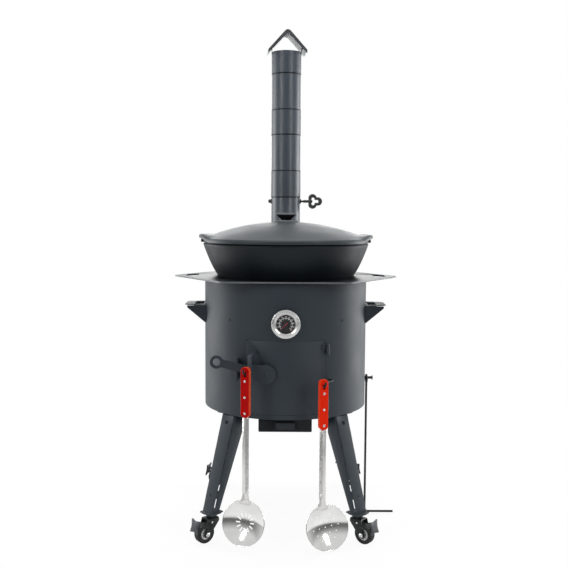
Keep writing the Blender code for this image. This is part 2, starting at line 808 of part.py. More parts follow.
def make_cauldron(lift):
    centre_z = PLATE_TOP + CAULDRON_CENTRE_ABOVE_PLATE
    rim_top = PLATE_TOP + CAULDRON_RIM_ABOVE_PLATE
    band_low = rim_top - RIM_BAND_HEIGHT
    inner_radius = CAULDRON_RADIUS - CAULDRON_WALL
    outer_start = math.acos((band_low - centre_z) / -CAULDRON_RADIUS)
    inner_start = math.acos((rim_top - centre_z) / -inner_radius)
    band = math.sqrt(CAULDRON_RADIUS ** 2 - (centre_z - band_low) ** 2) + RIM_BAND_WIDTH
    profile = []
    for i in range(CAULDRON_RINGS + 1):
        angle = inner_start * i / CAULDRON_RINGS
        profile.append((inner_radius * math.sin(angle), centre_z - inner_radius * math.cos(angle)))
    profile += [(band, rim_top), (band, band_low)]
    for i in range(CAULDRON_RINGS + 1):
        angle = outer_start * (1 - i / CAULDRON_RINGS)
        profile.append((CAULDRON_RADIUS * math.sin(angle), centre_z - CAULDRON_RADIUS * math.cos(angle)))
    bowl = turned(profile, BODY_SIDES, (0, 0, 0), closed=False)
    ear_low = band_low
    lid_clear = lid_edge_radius() + LID_EDGE_INSET / 2
    for side in (-1, 1):
        tip = band + EAR_REACH
        root = band - LID_EDGE_INSET
        corners = [(side * root, -EAR_HALF_LENGTH), (side * tip, -EAR_TIP_HALF_LENGTH)]
        corners += [(side * tip, EAR_TIP_HALF_LENGTH), (side * root, EAR_HALF_LENGTH)]
        slot_in = tip - EAR_SLOT_WIDTH * 2
        slot_out = slot_in + EAR_SLOT_WIDTH
        slot = [(side * slot_in, -EAR_SLOT_HALF_LENGTH), (side * slot_out, -EAR_SLOT_HALF_LENGTH)]
        slot += [(side * slot_out, EAR_SLOT_HALF_LENGTH), (side * slot_in, EAR_SLOT_HALF_LENGTH)]
        ear = outline([rounded(corners, [0, EAR_ROUNDING, EAR_ROUNDING, 0]), slot], EAR_HEIGHT)
        place(ear, (0, 0, ear_low + EAR_HEIGHT / 2))
        unite(bowl, ear)
    above = RIM_BAND_HEIGHT + EAR_HEIGHT
    seat = cylinder(lid_clear, above, BODY_SIDES, (0, 0, rim_top + above / 2))
    cut(bowl, seat)
    part(bowl, "cauldron", CAST_IRON, lift)


def lid_edge_radius():
    drop = CAULDRON_CENTRE_ABOVE_PLATE - CAULDRON_RIM_ABOVE_PLATE + RIM_BAND_HEIGHT
    return math.sqrt(CAULDRON_RADIUS ** 2 - drop ** 2) + RIM_BAND_WIDTH - LID_EDGE_INSET


def make_lid(lift):
    seat = PLATE_TOP + CAULDRON_RIM_ABOVE_PLATE + SEAT_GAP
    edge = lid_edge_radius()
    centre_z = seat + LID_EDGE_BAND - math.sqrt(LID_DOME_RADIUS ** 2 - edge ** 2)
    drop = CAULDRON_CENTRE_ABOVE_PLATE - CAULDRON_RIM_ABOVE_PLATE
    mouth = math.sqrt((CAULDRON_RADIUS - CAULDRON_WALL) ** 2 - drop ** 2)
    skirt_out = mouth - LID_SKIRT_CLEARANCE
    skirt_in = skirt_out - LID_SKIRT_WALL
    reach = math.asin(edge / LID_DOME_RADIUS)
    inner_dome = LID_DOME_RADIUS - LID_WALL
    inner_reach = math.asin(skirt_in / inner_dome)
    profile = []
    for i in range(LID_RINGS + 1):
        angle = reach * i / LID_RINGS
        profile.append((LID_DOME_RADIUS * math.sin(angle), centre_z + LID_DOME_RADIUS * math.cos(angle)))
    profile += [(edge, seat), (skirt_out, seat), (skirt_out, seat - LID_SKIRT_DEPTH)]
    profile += [(skirt_in, seat - LID_SKIRT_DEPTH)]
    for i in range(LID_RINGS + 1):
        angle = inner_reach * (1 - i / LID_RINGS)
        profile.append((inner_dome * math.sin(angle), centre_z + inner_dome * math.cos(angle)))
    lid = turned(profile, BODY_SIDES, (0, 0, 0), closed=False)
    apex = centre_z + LID_DOME_RADIUS
    pad_low = apex - LID_WALL / 2
    pad_height = LID_PAD_HEIGHT + LID_WALL / 2
    pad = cylinder(LID_PAD_HALF_DEPTH, pad_height, PIPE_SIDES, (0, 0, pad_low + pad_height / 2))
    pad.data.transform(Matrix.Diagonal((LID_PAD_HALF_WIDTH / LID_PAD_HALF_DEPTH, 1, 1, 1)))
    stem_top = apex + LID_PAD_HEIGHT / 2 + HANDLE_STEM_HEIGHT
    flare_top = stem_top + HANDLE_FLARE_HEIGHT
    bar_top = flare_top + HANDLE_BAR_HEIGHT
    half = [(HANDLE_STEM_HALF_WIDTH, apex), (HANDLE_STEM_HALF_WIDTH, stem_top)]
    half += [(HANDLE_FLARE_HALF_WIDTH, flare_top + HANDLE_BAR_HEIGHT / 2)]
    handle = outline([half + [(-x, z) for x, z in reversed(half)]], HANDLE_DEPTH - 2 * HANDLE_ROUNDING / 3)
    place(handle, (0, 0, 0), (1, 0, 0), (0, 0, 1))
    bar_size = (2 * HANDLE_BAR_HALF_WIDTH, HANDLE_DEPTH, HANDLE_BAR_HEIGHT)
    bar = bevel(box(bar_size, (0, 0, (flare_top + bar_top) / 2)), HANDLE_ROUNDING, 1)
    unite(lid, pad, handle, bar)
    part(lid, "lid", CAST_IRON, lift)


def hinge_levels():
    return (DOOR_BOTTOM + HINGE_INSET, DOOR_TOP - HINGE_INSET)


def hinge_leaf(bearing, middle, z, length, radial_gap):
    """A small flat on the body's side that carries a hinge barrel."""
    reach = HINGE_LEAF_THICKNESS + CUT_OVERRUN
    size = (length, reach, HINGE_BARREL_LENGTH)
    radius = BODY_RADIUS + radial_gap + HINGE_LEAF_THICKNESS - reach / 2
    centre = outward(middle) * radius
    centre.z = z
    leaf = box(size, (0, 0, 0))
    place(leaf, centre, sideways(bearing), -outward(bearing))
    return leaf


def make_door(swing):
    door = open_drum()
    boolean(door, door_prism(0), "INTERSECT")
    pin_bearing = math.atan2(HINGE_X, -HINGE_Y)
    for z in hinge_levels():
        level = z + SEAT_GAP / 2 + HINGE_BARREL_LENGTH / 2
        barrel = cylinder(HINGE_BARREL_RADIUS, HINGE_BARREL_LENGTH, SMALL_SIDES, (HINGE_X, HINGE_Y, level))
        edge_bearing = math.asin(DOOR_HALF_WIDTH / BODY_RADIUS)
        middle = (pin_bearing + edge_bearing) / 2 - HINGE_LEAF_LENGTH / 3 / BODY_RADIUS
        leaf = hinge_leaf(middle, middle, level, HINGE_LEAF_LENGTH, RUNNING_GAP)
        drum = body_surface(RUNNING_GAP)
        cut(drum, door_prism(-DOOR_CLEARANCE))
        cut(leaf, drum)
        unite(door, leaf, barrel)
    pin_bore = around(HINGE_PIN_RADIUS, RUNNING_GAP, SMALL_SIDES)
    for z in hinge_levels():
        cut(door, cylinder(pin_bore, 3 * HINGE_BARREL_LENGTH, SMALL_SIDES, (HINGE_X, HINGE_Y, z)))
    rivet_bore = around(LATCH_RIVET_RADIUS, SEAT_GAP, SMALL_SIDES)
    rivet_spot = (-LATCH_PIVOT_X, -BODY_RADIUS, LATCH_PIVOT_Z)
    cut(door, cylinder(rivet_bore, BODY_RADIUS, SMALL_SIDES, rivet_spot, (0, 1, 0)))
    part(door, "door", POWDER_COAT, swing)


def make_hinge_brackets():
    pin_bearing = math.atan2(HINGE_X, -HINGE_Y)
    for name, z in zip(("lower_hinge_bracket", "upper_hinge_bracket"), hinge_levels()):
        level = z - SEAT_GAP / 2 - HINGE_BARREL_LENGTH / 2
        barrel = cylinder(HINGE_BARREL_RADIUS, HINGE_BARREL_LENGTH, SMALL_SIDES, (HINGE_X, HINGE_Y, level))
        pin_length = 2 * HINGE_BARREL_LENGTH
        pin = cylinder(HINGE_PIN_RADIUS, pin_length, SMALL_SIDES, (HINGE_X, HINGE_Y, level + pin_length / 2))
        middle = pin_bearing + HINGE_LEAF_LENGTH / 2 / BODY_RADIUS
        leaf = hinge_leaf(middle, middle, level, HINGE_LEAF_LENGTH, SEAT_GAP)
        cut(leaf, body_surface(SEAT_GAP))
        part(unite(barrel, pin, leaf), name, POWDER_COAT)


def latch_frame(obj):
    """Lays a flat latch piece, drawn bar to the right, at its pivot on the door."""
    along = Vector((-math.cos(LATCH_RISE), 0, math.sin(LATCH_RISE)))
    up = Vector((math.sin(LATCH_RISE), 0, math.cos(LATCH_RISE)))
    origin = (-LATCH_PIVOT_X, LATCH_BACK_Y - LATCH_THICKNESS / 2, LATCH_PIVOT_Z)
    return place(obj, origin, along, up)


def make_latch_bar(turn):
    taper_slope = math.atan2(LATCH_HEAD_RADIUS - LATCH_BAR_HALF_WIDTH, LATCH_TAPER_LENGTH)
    head_end = math.pi / 2 - taper_slope
    head = arc((0, 0), LATCH_HEAD_RADIUS, head_end, 2 * math.pi - head_end, LATCH_ARC_STEPS)
    neck = math.asin(LATCH_BAR_HALF_WIDTH / LATCH_RING_RADIUS)
    ring = arc((LATCH_LENGTH, 0), LATCH_RING_RADIUS, math.pi + neck, 3 * math.pi - neck, LATCH_ARC_STEPS)
    shape = head + [(LATCH_TAPER_LENGTH, -LATCH_BAR_HALF_WIDTH)] + ring
    shape += [(LATCH_TAPER_LENGTH, LATCH_BAR_HALF_WIDTH)]
    hole = circle(LATCH_RING_HOLE_RADIUS, LATCH_RING_SIDES, (LATCH_LENGTH, 0))
    bore = circle(around(LATCH_RIVET_RADIUS, RUNNING_GAP, SMALL_SIDES), SMALL_SIDES)
    bar = latch_frame(outline([shape, hole, bore], LATCH_THICKNESS))
    part(bar, "latch_bar", POWDER_COAT, turn)


def make_latch_rivet(swing):
    """Collar, shank and head, seated on the curved door."""
    collar_front = LATCH_BACK_Y + RUNNING_GAP
    collar_length = BODY_RADIUS
    collar = cylinder(LATCH_COLLAR_RADIUS, collar_length, SMALL_SIDES * 2,
                      (-LATCH_PIVOT_X, collar_front + collar_length / 2, LATCH_PIVOT_Z), (0, 1, 0))
    cut(collar, body_surface(SEAT_GAP))
    head_back = LATCH_BACK_Y - LATCH_THICKNESS - RUNNING_GAP
    shank_back = -BODY_RADIUS * math.cos(math.asin(LATCH_PIVOT_X / BODY_RADIUS)) + 2 * SHELL_WALL
    shank_front = head_back - LATCH_RIVET_HEAD_HEIGHT / 2
    shank = cylinder(LATCH_RIVET_RADIUS, shank_back - shank_front, SMALL_SIDES,
                     (-LATCH_PIVOT_X, (shank_back + shank_front) / 2, LATCH_PIVOT_Z), (0, 1, 0))
    head = cylinder(LATCH_RIVET_HEAD_RADIUS, LATCH_RIVET_HEAD_HEIGHT, SMALL_SIDES * 2,
                    (-LATCH_PIVOT_X, head_back - LATCH_RIVET_HEAD_HEIGHT / 2, LATCH_PIVOT_Z), (0, 1, 0),
                    top_radius=LATCH_RIVET_HEAD_RADIUS)
    part(unite(collar, shank, head), "latch_rivet", POWDER_COAT, swing)


def make_latch_catch():
    """A fin on the shell; its slot takes the bar when the bar drops level."""
    bar_back = LATCH_BACK_Y + CATCH_SLOT_CLEARANCE
    bar_front = LATCH_BACK_Y - LATCH_THICKNESS - CATCH_SLOT_CLEARANCE
    lip_front = bar_front - CATCH_LIP_THICKNESS
    floor = LATCH_PIVOT_Z - LATCH_BAR_HALF_WIDTH - CATCH_FLOOR_CLEARANCE
    reach = (CATCH_X - CATCH_THICKNESS / 2 - LATCH_PIVOT_X) * math.tan(LATCH_RISE)
    lip_top = LATCH_PIVOT_Z + reach - LATCH_BAR_HALF_WIDTH / math.cos(LATCH_RISE) - CATCH_FLOOR_CLEARANCE
    back_top = LATCH_PIVOT_Z + CATCH_BACK_HEIGHT
    foot = floor - CATCH_FOOT_DEPTH
    root = -BODY_RADIUS * math.cos(math.asin(CATCH_X / BODY_RADIUS)) + CUT_OVERRUN
    shape = [(root, back_top), (bar_back, back_top), (bar_back, floor), (bar_front, floor)]
    shape += [(bar_front, lip_top), (lip_front, lip_top), (lip_front, foot), (root, foot)]
    fin = outline([shape], CATCH_THICKNESS)
    place(fin, (-CATCH_X, 0, 0), (0, 1, 0), (0, 0, 1))
    cut(fin, body_surface(SEAT_GAP))
    part(fin, "latch_catch", POWDER_COAT)


def drawer_levels():
    top = BODY_BOTTOM - DRAWER_TOP_CLEARANCE
    return top - DRAWER_HEIGHT, top


def drawer_front_y():
    return -(BODY_RADIUS - DRAWER_FRONT_INSET)


def make_ash_drawer(slide):
    low, top = drawer_levels()
    front = drawer_front_y()
    size = (2 * DRAWER_HALF_WIDTH, DRAWER_LENGTH, DRAWER_HEIGHT)
    tray = box(size, (0, front + DRAWER_LENGTH / 2, (low + top) / 2))
    work = bmesh.new()
    work.from_mesh(tray.data)
    lids = [face for face in work.faces if face.normal.z > 0.5]
    bmesh.ops.delete(work, geom=lids, context="FACES_ONLY")
    work.to_mesh(tray.data)
    work.free()
    wall = tray.modifiers.new("wall", "SOLIDIFY")
    wall.thickness = DRAWER_WALL
    wall.offset = -1
    wall.use_even_offset = True
    for side in (-1, 1):
        width = DRAWER_FLANGE_WIDTH + DRAWER_WALL / 2
        x = side * (DRAWER_HALF_WIDTH - DRAWER_WALL / 2 + width / 2)
        length = DRAWER_LENGTH - 2 * DRAWER_FLANGE_WIDTH
        middle = (x, front + DRAWER_LENGTH / 2, top - DRAWER_WALL / 2 - MERGE)
        flange = box((width, length, DRAWER_WALL), middle)
        unite(tray, flange)
    part(tray, "ash_drawer", POWDER_COAT, slide)


def make_drawer_pull(slide):
    top = drawer_levels()[1] - DRAWER_PULL_BELOW_TOP
    front = drawer_front_y() - SEAT_GAP
    half = DRAWER_PULL_THICKNESS / 2
    reach = front - DRAWER_PULL_REACH
    path = [(front - half, top + DRAWER_PULL_THICKNESS * 2), (front - half, top)]
    path += [(reach + half, top), (reach + half, top - DRAWER_PULL_DROP)]
    pull = outline([strip(path, DRAWER_PULL_THICKNESS)], 2 * DRAWER_PULL_HALF_WIDTH)
    place(pull, (0, 0, 0), (0, 1, 0), (0, 0, 1))
    part(pull, "drawer_pull", POWDER_COAT, slide)


def make_drawer_rails():
    top = BODY_BOTTOM - SEAT_GAP
    flange_low = drawer_levels()[1] - DRAWER_WALL - MERGE
    lip_top = flange_low - SEAT_GAP
    lip_low = lip_top - RAIL_THICKNESS
    inner = DRAWER_HALF_WIDTH + RAIL_SIDE_CLEARANCE
    web_in = DRAWER_HALF_WIDTH + DRAWER_FLANGE_WIDTH + RAIL_SIDE_CLEARANCE
    web_out = web_in + RAIL_THICKNESS
    middle = drawer_front_y() + DRAWER_LENGTH / 2 + DRAWER_FRONT_INSET
    for name, side in (("left_drawer_rail", -1), ("right_drawer_rail", 1)):
        shape = [(inner, lip_low), (web_out, lip_low), (web_out, top), (web_in, top), (web_in, lip_top)]
        shape += [(inner, lip_top)]
        rail = outline([[(side * x, z) for x, z in shape]], RAIL_LENGTH)
        place(rail, (0, middle, 0), (1, 0, 0), (0, 0, 1))
        part(rail, name, POWDER_COAT)


def make_thermometer(turn):
    """Case with bezel, dial plate, needle, glass and the nut inside the shell."""
    back = 0
    front = DIAL_CASE_DEPTH
    face_back = front - DIAL_FACE_DEPTH - DIAL_PLATE_THICKNESS
    bezel_out = front - DIAL_BEZEL_SLOPE
    stem_end = back - DIAL_STEM_LENGTH
    profile = [(0, face_back), (DIAL_FACE_RADIUS, face_back), (DIAL_FACE_RADIUS, front)]
    profile += [(DIAL_FACE_RADIUS + DIAL_WALL, front), (DIAL_CASE_RADIUS, bezel_out)]
    profile += [(DIAL_CASE_RADIUS, bezel_out - DIAL_FACE_DEPTH), (DIAL_BACK_RADIUS, back)]
    profile += [(DIAL_STEM_RADIUS, back), (DIAL_STEM_RADIUS, stem_end), (0, stem_end)]
    seat = (0, -(BODY_RADIUS + SEAT_GAP), DIAL_Z)
    forward = (0, -1, 0)
    case = turned(profile, DIAL_SIDES, seat, forward, closed=False)
    part(case, "thermometer_case", STAINLESS)

    plate_radius = DIAL_FACE_RADIUS - SEAT_GAP
    plate_y = seat[1] - face_back - SEAT_GAP - DIAL_PLATE_THICKNESS / 2
    plate = cylinder(plate_radius, DIAL_PLATE_THICKNESS, DIAL_SIDES, (0, plate_y, DIAL_Z), forward)
    part(plate, "thermometer_dial", BLACK_PLASTIC)

    glass_front = front - DIAL_GLASS_SET_BACK
    glass_y = seat[1] - glass_front + DIAL_GLASS_THICKNESS / 2
    glass = cylinder(plate_radius, DIAL_GLASS_THICKNESS, DIAL_SIDES, (0, glass_y, DIAL_Z), forward)
    part(glass, "thermometer_glass", ((0.9, 0.9, 0.9), 0.05, 0.0))

    plate_front = plate_y - DIAL_PLATE_THICKNESS / 2
    needle_y = plate_front - SEAT_GAP - NEEDLE_THICKNESS / 2
    tip = [(-NEEDLE_HALF_WIDTH, -NEEDLE_TAIL), (NEEDLE_HALF_WIDTH, -NEEDLE_TAIL)]
    point = NEEDLE_HALF_WIDTH / 3
    tip += [(NEEDLE_HALF_WIDTH, 0), (point, NEEDLE_LENGTH), (-point, NEEDLE_LENGTH), (-NEEDLE_HALF_WIDTH, 0)]
    needle = outline([tip], NEEDLE_THICKNESS)
    along = (math.sin(NEEDLE_START), 0, math.cos(NEEDLE_START))
    across = (math.cos(NEEDLE_START), 0, -math.sin(NEEDLE_START))
    place(needle, (0, needle_y, DIAL_Z), across, along)
    hub_height = 2 * NEEDLE_THICKNESS
    hub_y = plate_front - SEAT_GAP - hub_height / 2
    unite(needle, cylinder(NEEDLE_HUB_RADIUS, hub_height, SMALL_SIDES, (0, hub_y, DIAL_Z), forward))
    part(needle, "thermometer_needle", ((0.75, 0.06, 0.12), 0.4, 0.0), turn)

    inner = BODY_RADIUS - SHELL_WALL
    nut_y = -inner + SEAT_GAP + NUT_THICKNESS / 2 + DIAL_BEZEL_SLOPE / 10
    nut = cylinder(NUT_RADIUS, NUT_THICKNESS, 6, (0, nut_y, DIAL_Z), forward)
    nut_bore = around(DIAL_STEM_RADIUS, SEAT_GAP, SMALL_SIDES)
    cut(nut, cylinder(nut_bore, NUT_THICKNESS * 2, SMALL_SIDES, (0, nut_y, DIAL_Z), forward))
    part(nut, "thermometer_nut", STAINLESS)


def make_side_handle(name, side):
    top = BODY_BOTTOM + HANDLE_ABOVE_BASE
    tip = BODY_RADIUS + HANDLE_REACH
    root = BODY_RADIUS * math.cos(math.asin(HANDLE_HALF_LENGTH / BODY_RADIUS)) - CUT_OVERRUN
    corners = [(root, -HANDLE_HALF_LENGTH), (tip, -HANDLE_TIP_HALF_LENGTH)]
    corners += [(tip, HANDLE_TIP_HALF_LENGTH), (root, HANDLE_HALF_LENGTH)]
    shape = rounded(corners, [0, HANDLE_CORNER_ROUNDING, HANDLE_CORNER_ROUNDING, 0])
    slot_tip = BODY_RADIUS + HANDLE_SLOT_REACH
    slot = [(BODY_RADIUS - CUT_OVERRUN / 2, -HANDLE_SLOT_HALF_LENGTH), (slot_tip, -HANDLE_SLOT_HALF_LENGTH)]
    slot += [(slot_tip, HANDLE_SLOT_HALF_LENGTH), (BODY_RADIUS - CUT_OVERRUN / 2, HANDLE_SLOT_HALF_LENGTH)]
    slot = rounded(slot, HANDLE_CORNER_ROUNDING / 2, 3)
    loops = [[(side * x, y) for x, y in loop] for loop in (shape, slot)]
    handle = outline(loops, HANDLE_PLATE_THICKNESS)
    place(handle, (0, 0, top - HANDLE_PLATE_THICKNESS / 2))
    gusset_y = HANDLE_HALF_LENGTH - 2 * HANDLE_PLATE_THICKNESS
    high = top - HANDLE_PLATE_THICKNESS / 2
    gusset_tip = BODY_RADIUS + GUSSET_REACH
    for end in (-1, 1):
        shape = [(root, high), (gusset_tip, high), (gusset_tip, top - GUSSET_TIP_DROP)]
        shape.append((root, top - GUSSET_ROOT_DROP))
        gusset = outline([[(side * x, z) for x, z in shape]], HANDLE_PLATE_THICKNESS)
        place(gusset, (0, end * gusset_y, 0), (1, 0, 0), (0, 0, 1))
        unite(handle, gusset)
    cut(handle, body_surface(SEAT_GAP))
    part(handle, name, POWDER_COAT)


def pipe(low, high, radius, wall, closed_end=False):
    """An open round pipe standing on the chimney's axis."""
    inner = radius - wall
    profile = [(radius, high), (radius, low), (inner, low), (inner, high)]
    if closed_end:
        floor = low + wall
        profile = [(radius, high), (radius, low), (0, low), (0, floor), (inner, floor), (inner, high)]
    return turned(profile, PIPE_SIDES, (0, CHIMNEY_Y, 0))


def chimney_levels():
    """Joint heights of the tee, damper pipe, two pipes and the cap collar."""
    tee_top = PLATE_TOP + FLUE_TEE_TOP_ABOVE_PLATE
    damper_top = tee_top + DAMPER_PIPE_LENGTH
    lower_top = damper_top + LOWER_PIPE_LENGTH
    upper_top = lower_top + UPPER_PIPE_LENGTH
    return tee_top, damper_top, lower_top, upper_top


def make_flue_tee():
    tee_top = chimney_levels()[0]
    low = BODY_BOTTOM + FLUE_BOTTOM_ABOVE_BASE
    branch_z = BODY_TOP - FLUE_BRANCH_BELOW_TOP
    tee = pipe(low, tee_top, PIPE_RADIUS, PIPE_WALL, closed_end=True)
    start = BODY_RADIUS - 2 * SHELL_WALL
    length = CHIMNEY_Y - start
    branch = cylinder(FLUE_BRANCH_RADIUS, length, PIPE_SIDES, (0, start + length / 2, branch_z), (0, 1, 0))
    middle = (0, CHIMNEY_Y, (low + tee_top) / 2)
    inside = cylinder(PIPE_RADIUS - PIPE_WALL / 2, tee_top - low, PIPE_SIDES, middle)
    cut(branch, inside)
    unite(tee, branch)
    bore_length = length - PIPE_RADIUS / 2
    bore = cylinder(FLUE_BRANCH_RADIUS - PIPE_WALL, bore_length + CUT_OVERRUN, PIPE_SIDES,
                    (0, start - CUT_OVERRUN / 2 + bore_length / 2, branch_z), (0, 1, 0))
    cut(tee, bore)
    part(tee, "flue_tee", PIPE_STEEL)


def make_chimney_pipes():
    tee_top, damper_top, lower_top, upper_top = chimney_levels()
    inner = PIPE_RADIUS - PIPE_WALL
    socket_in = PIPE_RADIUS + SEAT_GAP
    ledge = tee_top + SEAT_GAP
    low = tee_top - SOCKET_LENGTH
    outer = CHIMNEY_RADIUS_OUTSIDE
    profile = [(PIPE_RADIUS, damper_top), (PIPE_RADIUS, ledge + PIPE_WALL), (outer, ledge + PIPE_WALL)]
    profile += [(outer, low), (socket_in, low), (socket_in, ledge), (inner, ledge), (inner, damper_top)]
    damper_pipe = turned(profile, PIPE_SIDES, (0, CHIMNEY_Y, 0))
    rod_bore = around(DAMPER_ROD_RADIUS, RUNNING_GAP, SMALL_SIDES)
    rod_hole = cylinder(rod_bore, 3 * PIPE_RADIUS, SMALL_SIDES, (0, CHIMNEY_Y, damper_z()), (1, 0, 0))
    part(cut(damper_pipe, rod_hole), "damper_pipe", PIPE_STEEL)
    part(pipe(damper_top + SEAT_GAP, lower_top, PIPE_RADIUS, PIPE_WALL), "chimney_pipe_lower", PIPE_STEEL)
    part(pipe(lower_top + SEAT_GAP, upper_top, PIPE_RADIUS, PIPE_WALL), "chimney_pipe_upper", PIPE_STEEL)
    half = COUPLING_LENGTH / 2
    for name, joint in (("lower_coupling", damper_top), ("upper_coupling", lower_top)):
        part(pipe(joint - half, joint + half, CHIMNEY_RADIUS_OUTSIDE, COUPLING_WALL), name, PIPE_STEEL)


def damper_z():
    return chimney_levels()[1] - COUPLING_LENGTH / 2 - DAMPER_BELOW_COUPLING


def make_rain_cap():
    """A folded sheet roof welded to the collar that slips over the top pipe."""
    rim = chimney_levels()[3] - CAP_COLLAR_OVERLAP + CAP_COLLAR_LENGTH
    seat = CHIMNEY_RADIUS_OUTSIDE - COUPLING_WALL / 2
    slope = math.atan2(CAP_RISE, seat)
    drop = (CAP_HALF_WIDTH - seat) * math.tan(slope)
    crest = (0, rim + CAP_RISE)
    rise = CAP_SHEET / math.cos(slope)
    outer = [(-CAP_HALF_WIDTH, rim - drop + rise), (CAP_HALF_WIDTH, rim - drop + rise), (0, crest[1] + rise)]
    top = rounded([outer[1], outer[2], outer[0]], [0, CAP_CREST_ROUNDING, 0])
    inner = [(-CAP_HALF_WIDTH, rim - drop), crest, (CAP_HALF_WIDTH, rim - drop)]
    inner = rounded(inner, [0, CAP_CREST_ROUNDING - CAP_SHEET, 0])
    roof = outline([top + inner], 2 * CAP_HALF_DEPTH)
    place(roof, (0, CHIMNEY_Y, 0), sideways(CAP_TURN), (0, 0, 1))
    collar_low = chimney_levels()[3] - CAP_COLLAR_OVERLAP
    collar = pipe(collar_low, rim + CAP_SHEET / 2, CHIMNEY_RADIUS_OUTSIDE, COUPLING_WALL)
    part(unite(roof, collar), "rain_cap", PIPE_STEEL)


def key_lobes(middle_x, z, ring):
    """Centres of the key's lobes, one of them pointing away from the pipe."""
    turns = [2 * math.pi * i / KEY_LOBES for i in range(KEY_LOBES)]
    return [(middle_x + ring * math.cos(a), CHIMNEY_Y, z + ring * math.sin(a)) for a in turns]


def make_damper(turn):
    z = damper_z()
    centre = (0, CHIMNEY_Y, z)
    radius = PIPE_RADIUS - PIPE_WALL - DAMPER_EDGE_CLEARANCE
    disc = cylinder(radius, DAMPER_THICKNESS, PIPE_SIDES, centre, (0, 1, 0))
    left = -(PIPE_RADIUS + DAMPER_STOP_REACH)
    right = PIPE_RADIUS + DAMPER_ROD_REACH
    rod_at = ((left + right) / 2, CHIMNEY_Y, z)
    rod = cylinder(DAMPER_ROD_RADIUS, right - left, SMALL_SIDES, rod_at, (1, 0, 0))
    stop_x = left - DAMPER_STOP_LENGTH / 2 + DAMPER_STOP_REACH / 4
    stop = cylinder(DAMPER_STOP_RADIUS, DAMPER_STOP_LENGTH, 6, (stop_x, CHIMNEY_Y, z), (1, 0, 0))
    part(unite(disc, rod, stop), "damper_disc", PIPE_STEEL, turn)

    key_x = PIPE_RADIUS + KEY_CENTRE_REACH
    boss_start = right - DAMPER_ROD_REACH / 2
    boss_end = key_x - KEY_LOBE_RING
    boss_at = ((boss_start + boss_end) / 2, CHIMNEY_Y, z)
    key = cylinder(KEY_BOSS_RADIUS, boss_end - boss_start, SMALL_SIDES, boss_at, (1, 0, 0))
    for at in key_lobes(key_x, z, KEY_LOBE_RING):
        unite(key, cylinder(KEY_LOBE_RADIUS, KEY_THICKNESS, KEY_LOBE_SIDES, at, (0, 1, 0)))
    eye = cylinder(KEY_HOLE_RADIUS, 2 * KEY_THICKNESS, KEY_LOBE_SIDES, (key_x, CHIMNEY_Y, z), (0, 1, 0))
    for at in key_lobes(key_x, z, KEY_HOLE_RING):
        unite(eye, cylinder(KEY_HOLE_LOBE_RADIUS, 2 * KEY_THICKNESS, KEY_LOBE_SIDES, at, (0, 1, 0)))
    cut(key, eye)
    socket_bore = around(DAMPER_ROD_RADIUS, SEAT_GAP, SMALL_SIDES)
    socket = cylinder(socket_bore, DAMPER_ROD_REACH, SMALL_SIDES,
                      (right + SEAT_GAP - DAMPER_ROD_REACH / 2, CHIMNEY_Y, z), (1, 0, 0))
    cut(key, socket)
    part(key, "damper_key", CAST_IRON, turn)


LEG_CORNERS = {"front_left": (-1, 1), "front_right": (1, 1), "rear_left": (-1, -1), "rear_right": (1, -1)}


def leg_bearing(corner):
    """The leg's direction from the stove's axis, measured from the front."""
    side, fore = LEG_CORNERS[corner]
    return side * (LEG_AZIMUTH if fore == 1 else math.pi - LEG_AZIMUTH)


def leg_foot_radius():
    return BODY_RADIUS + (LEG_HEIGHT - FOOT_PLATE_THICKNESS) * math.tan(LEG_LEAN)


def caster_centre(corner):
    return outward(leg_bearing(corner)) * (leg_foot_radius() - FOOT_PLATE_INSET)


def bolt_spots(corner):
    bearing = leg_bearing(corner)
    middle = outward(bearing) * MOUNT_RADIUS
    spots = [middle + sideways(bearing) * side * MOUNT_BOLT_SPREAD for side in (-1, 1)]
    return [(spot.x, spot.y) for spot in spots]


def mount_bolt_places():
    return [spot for corner in LEG_CORNERS for spot in bolt_spots(corner)]


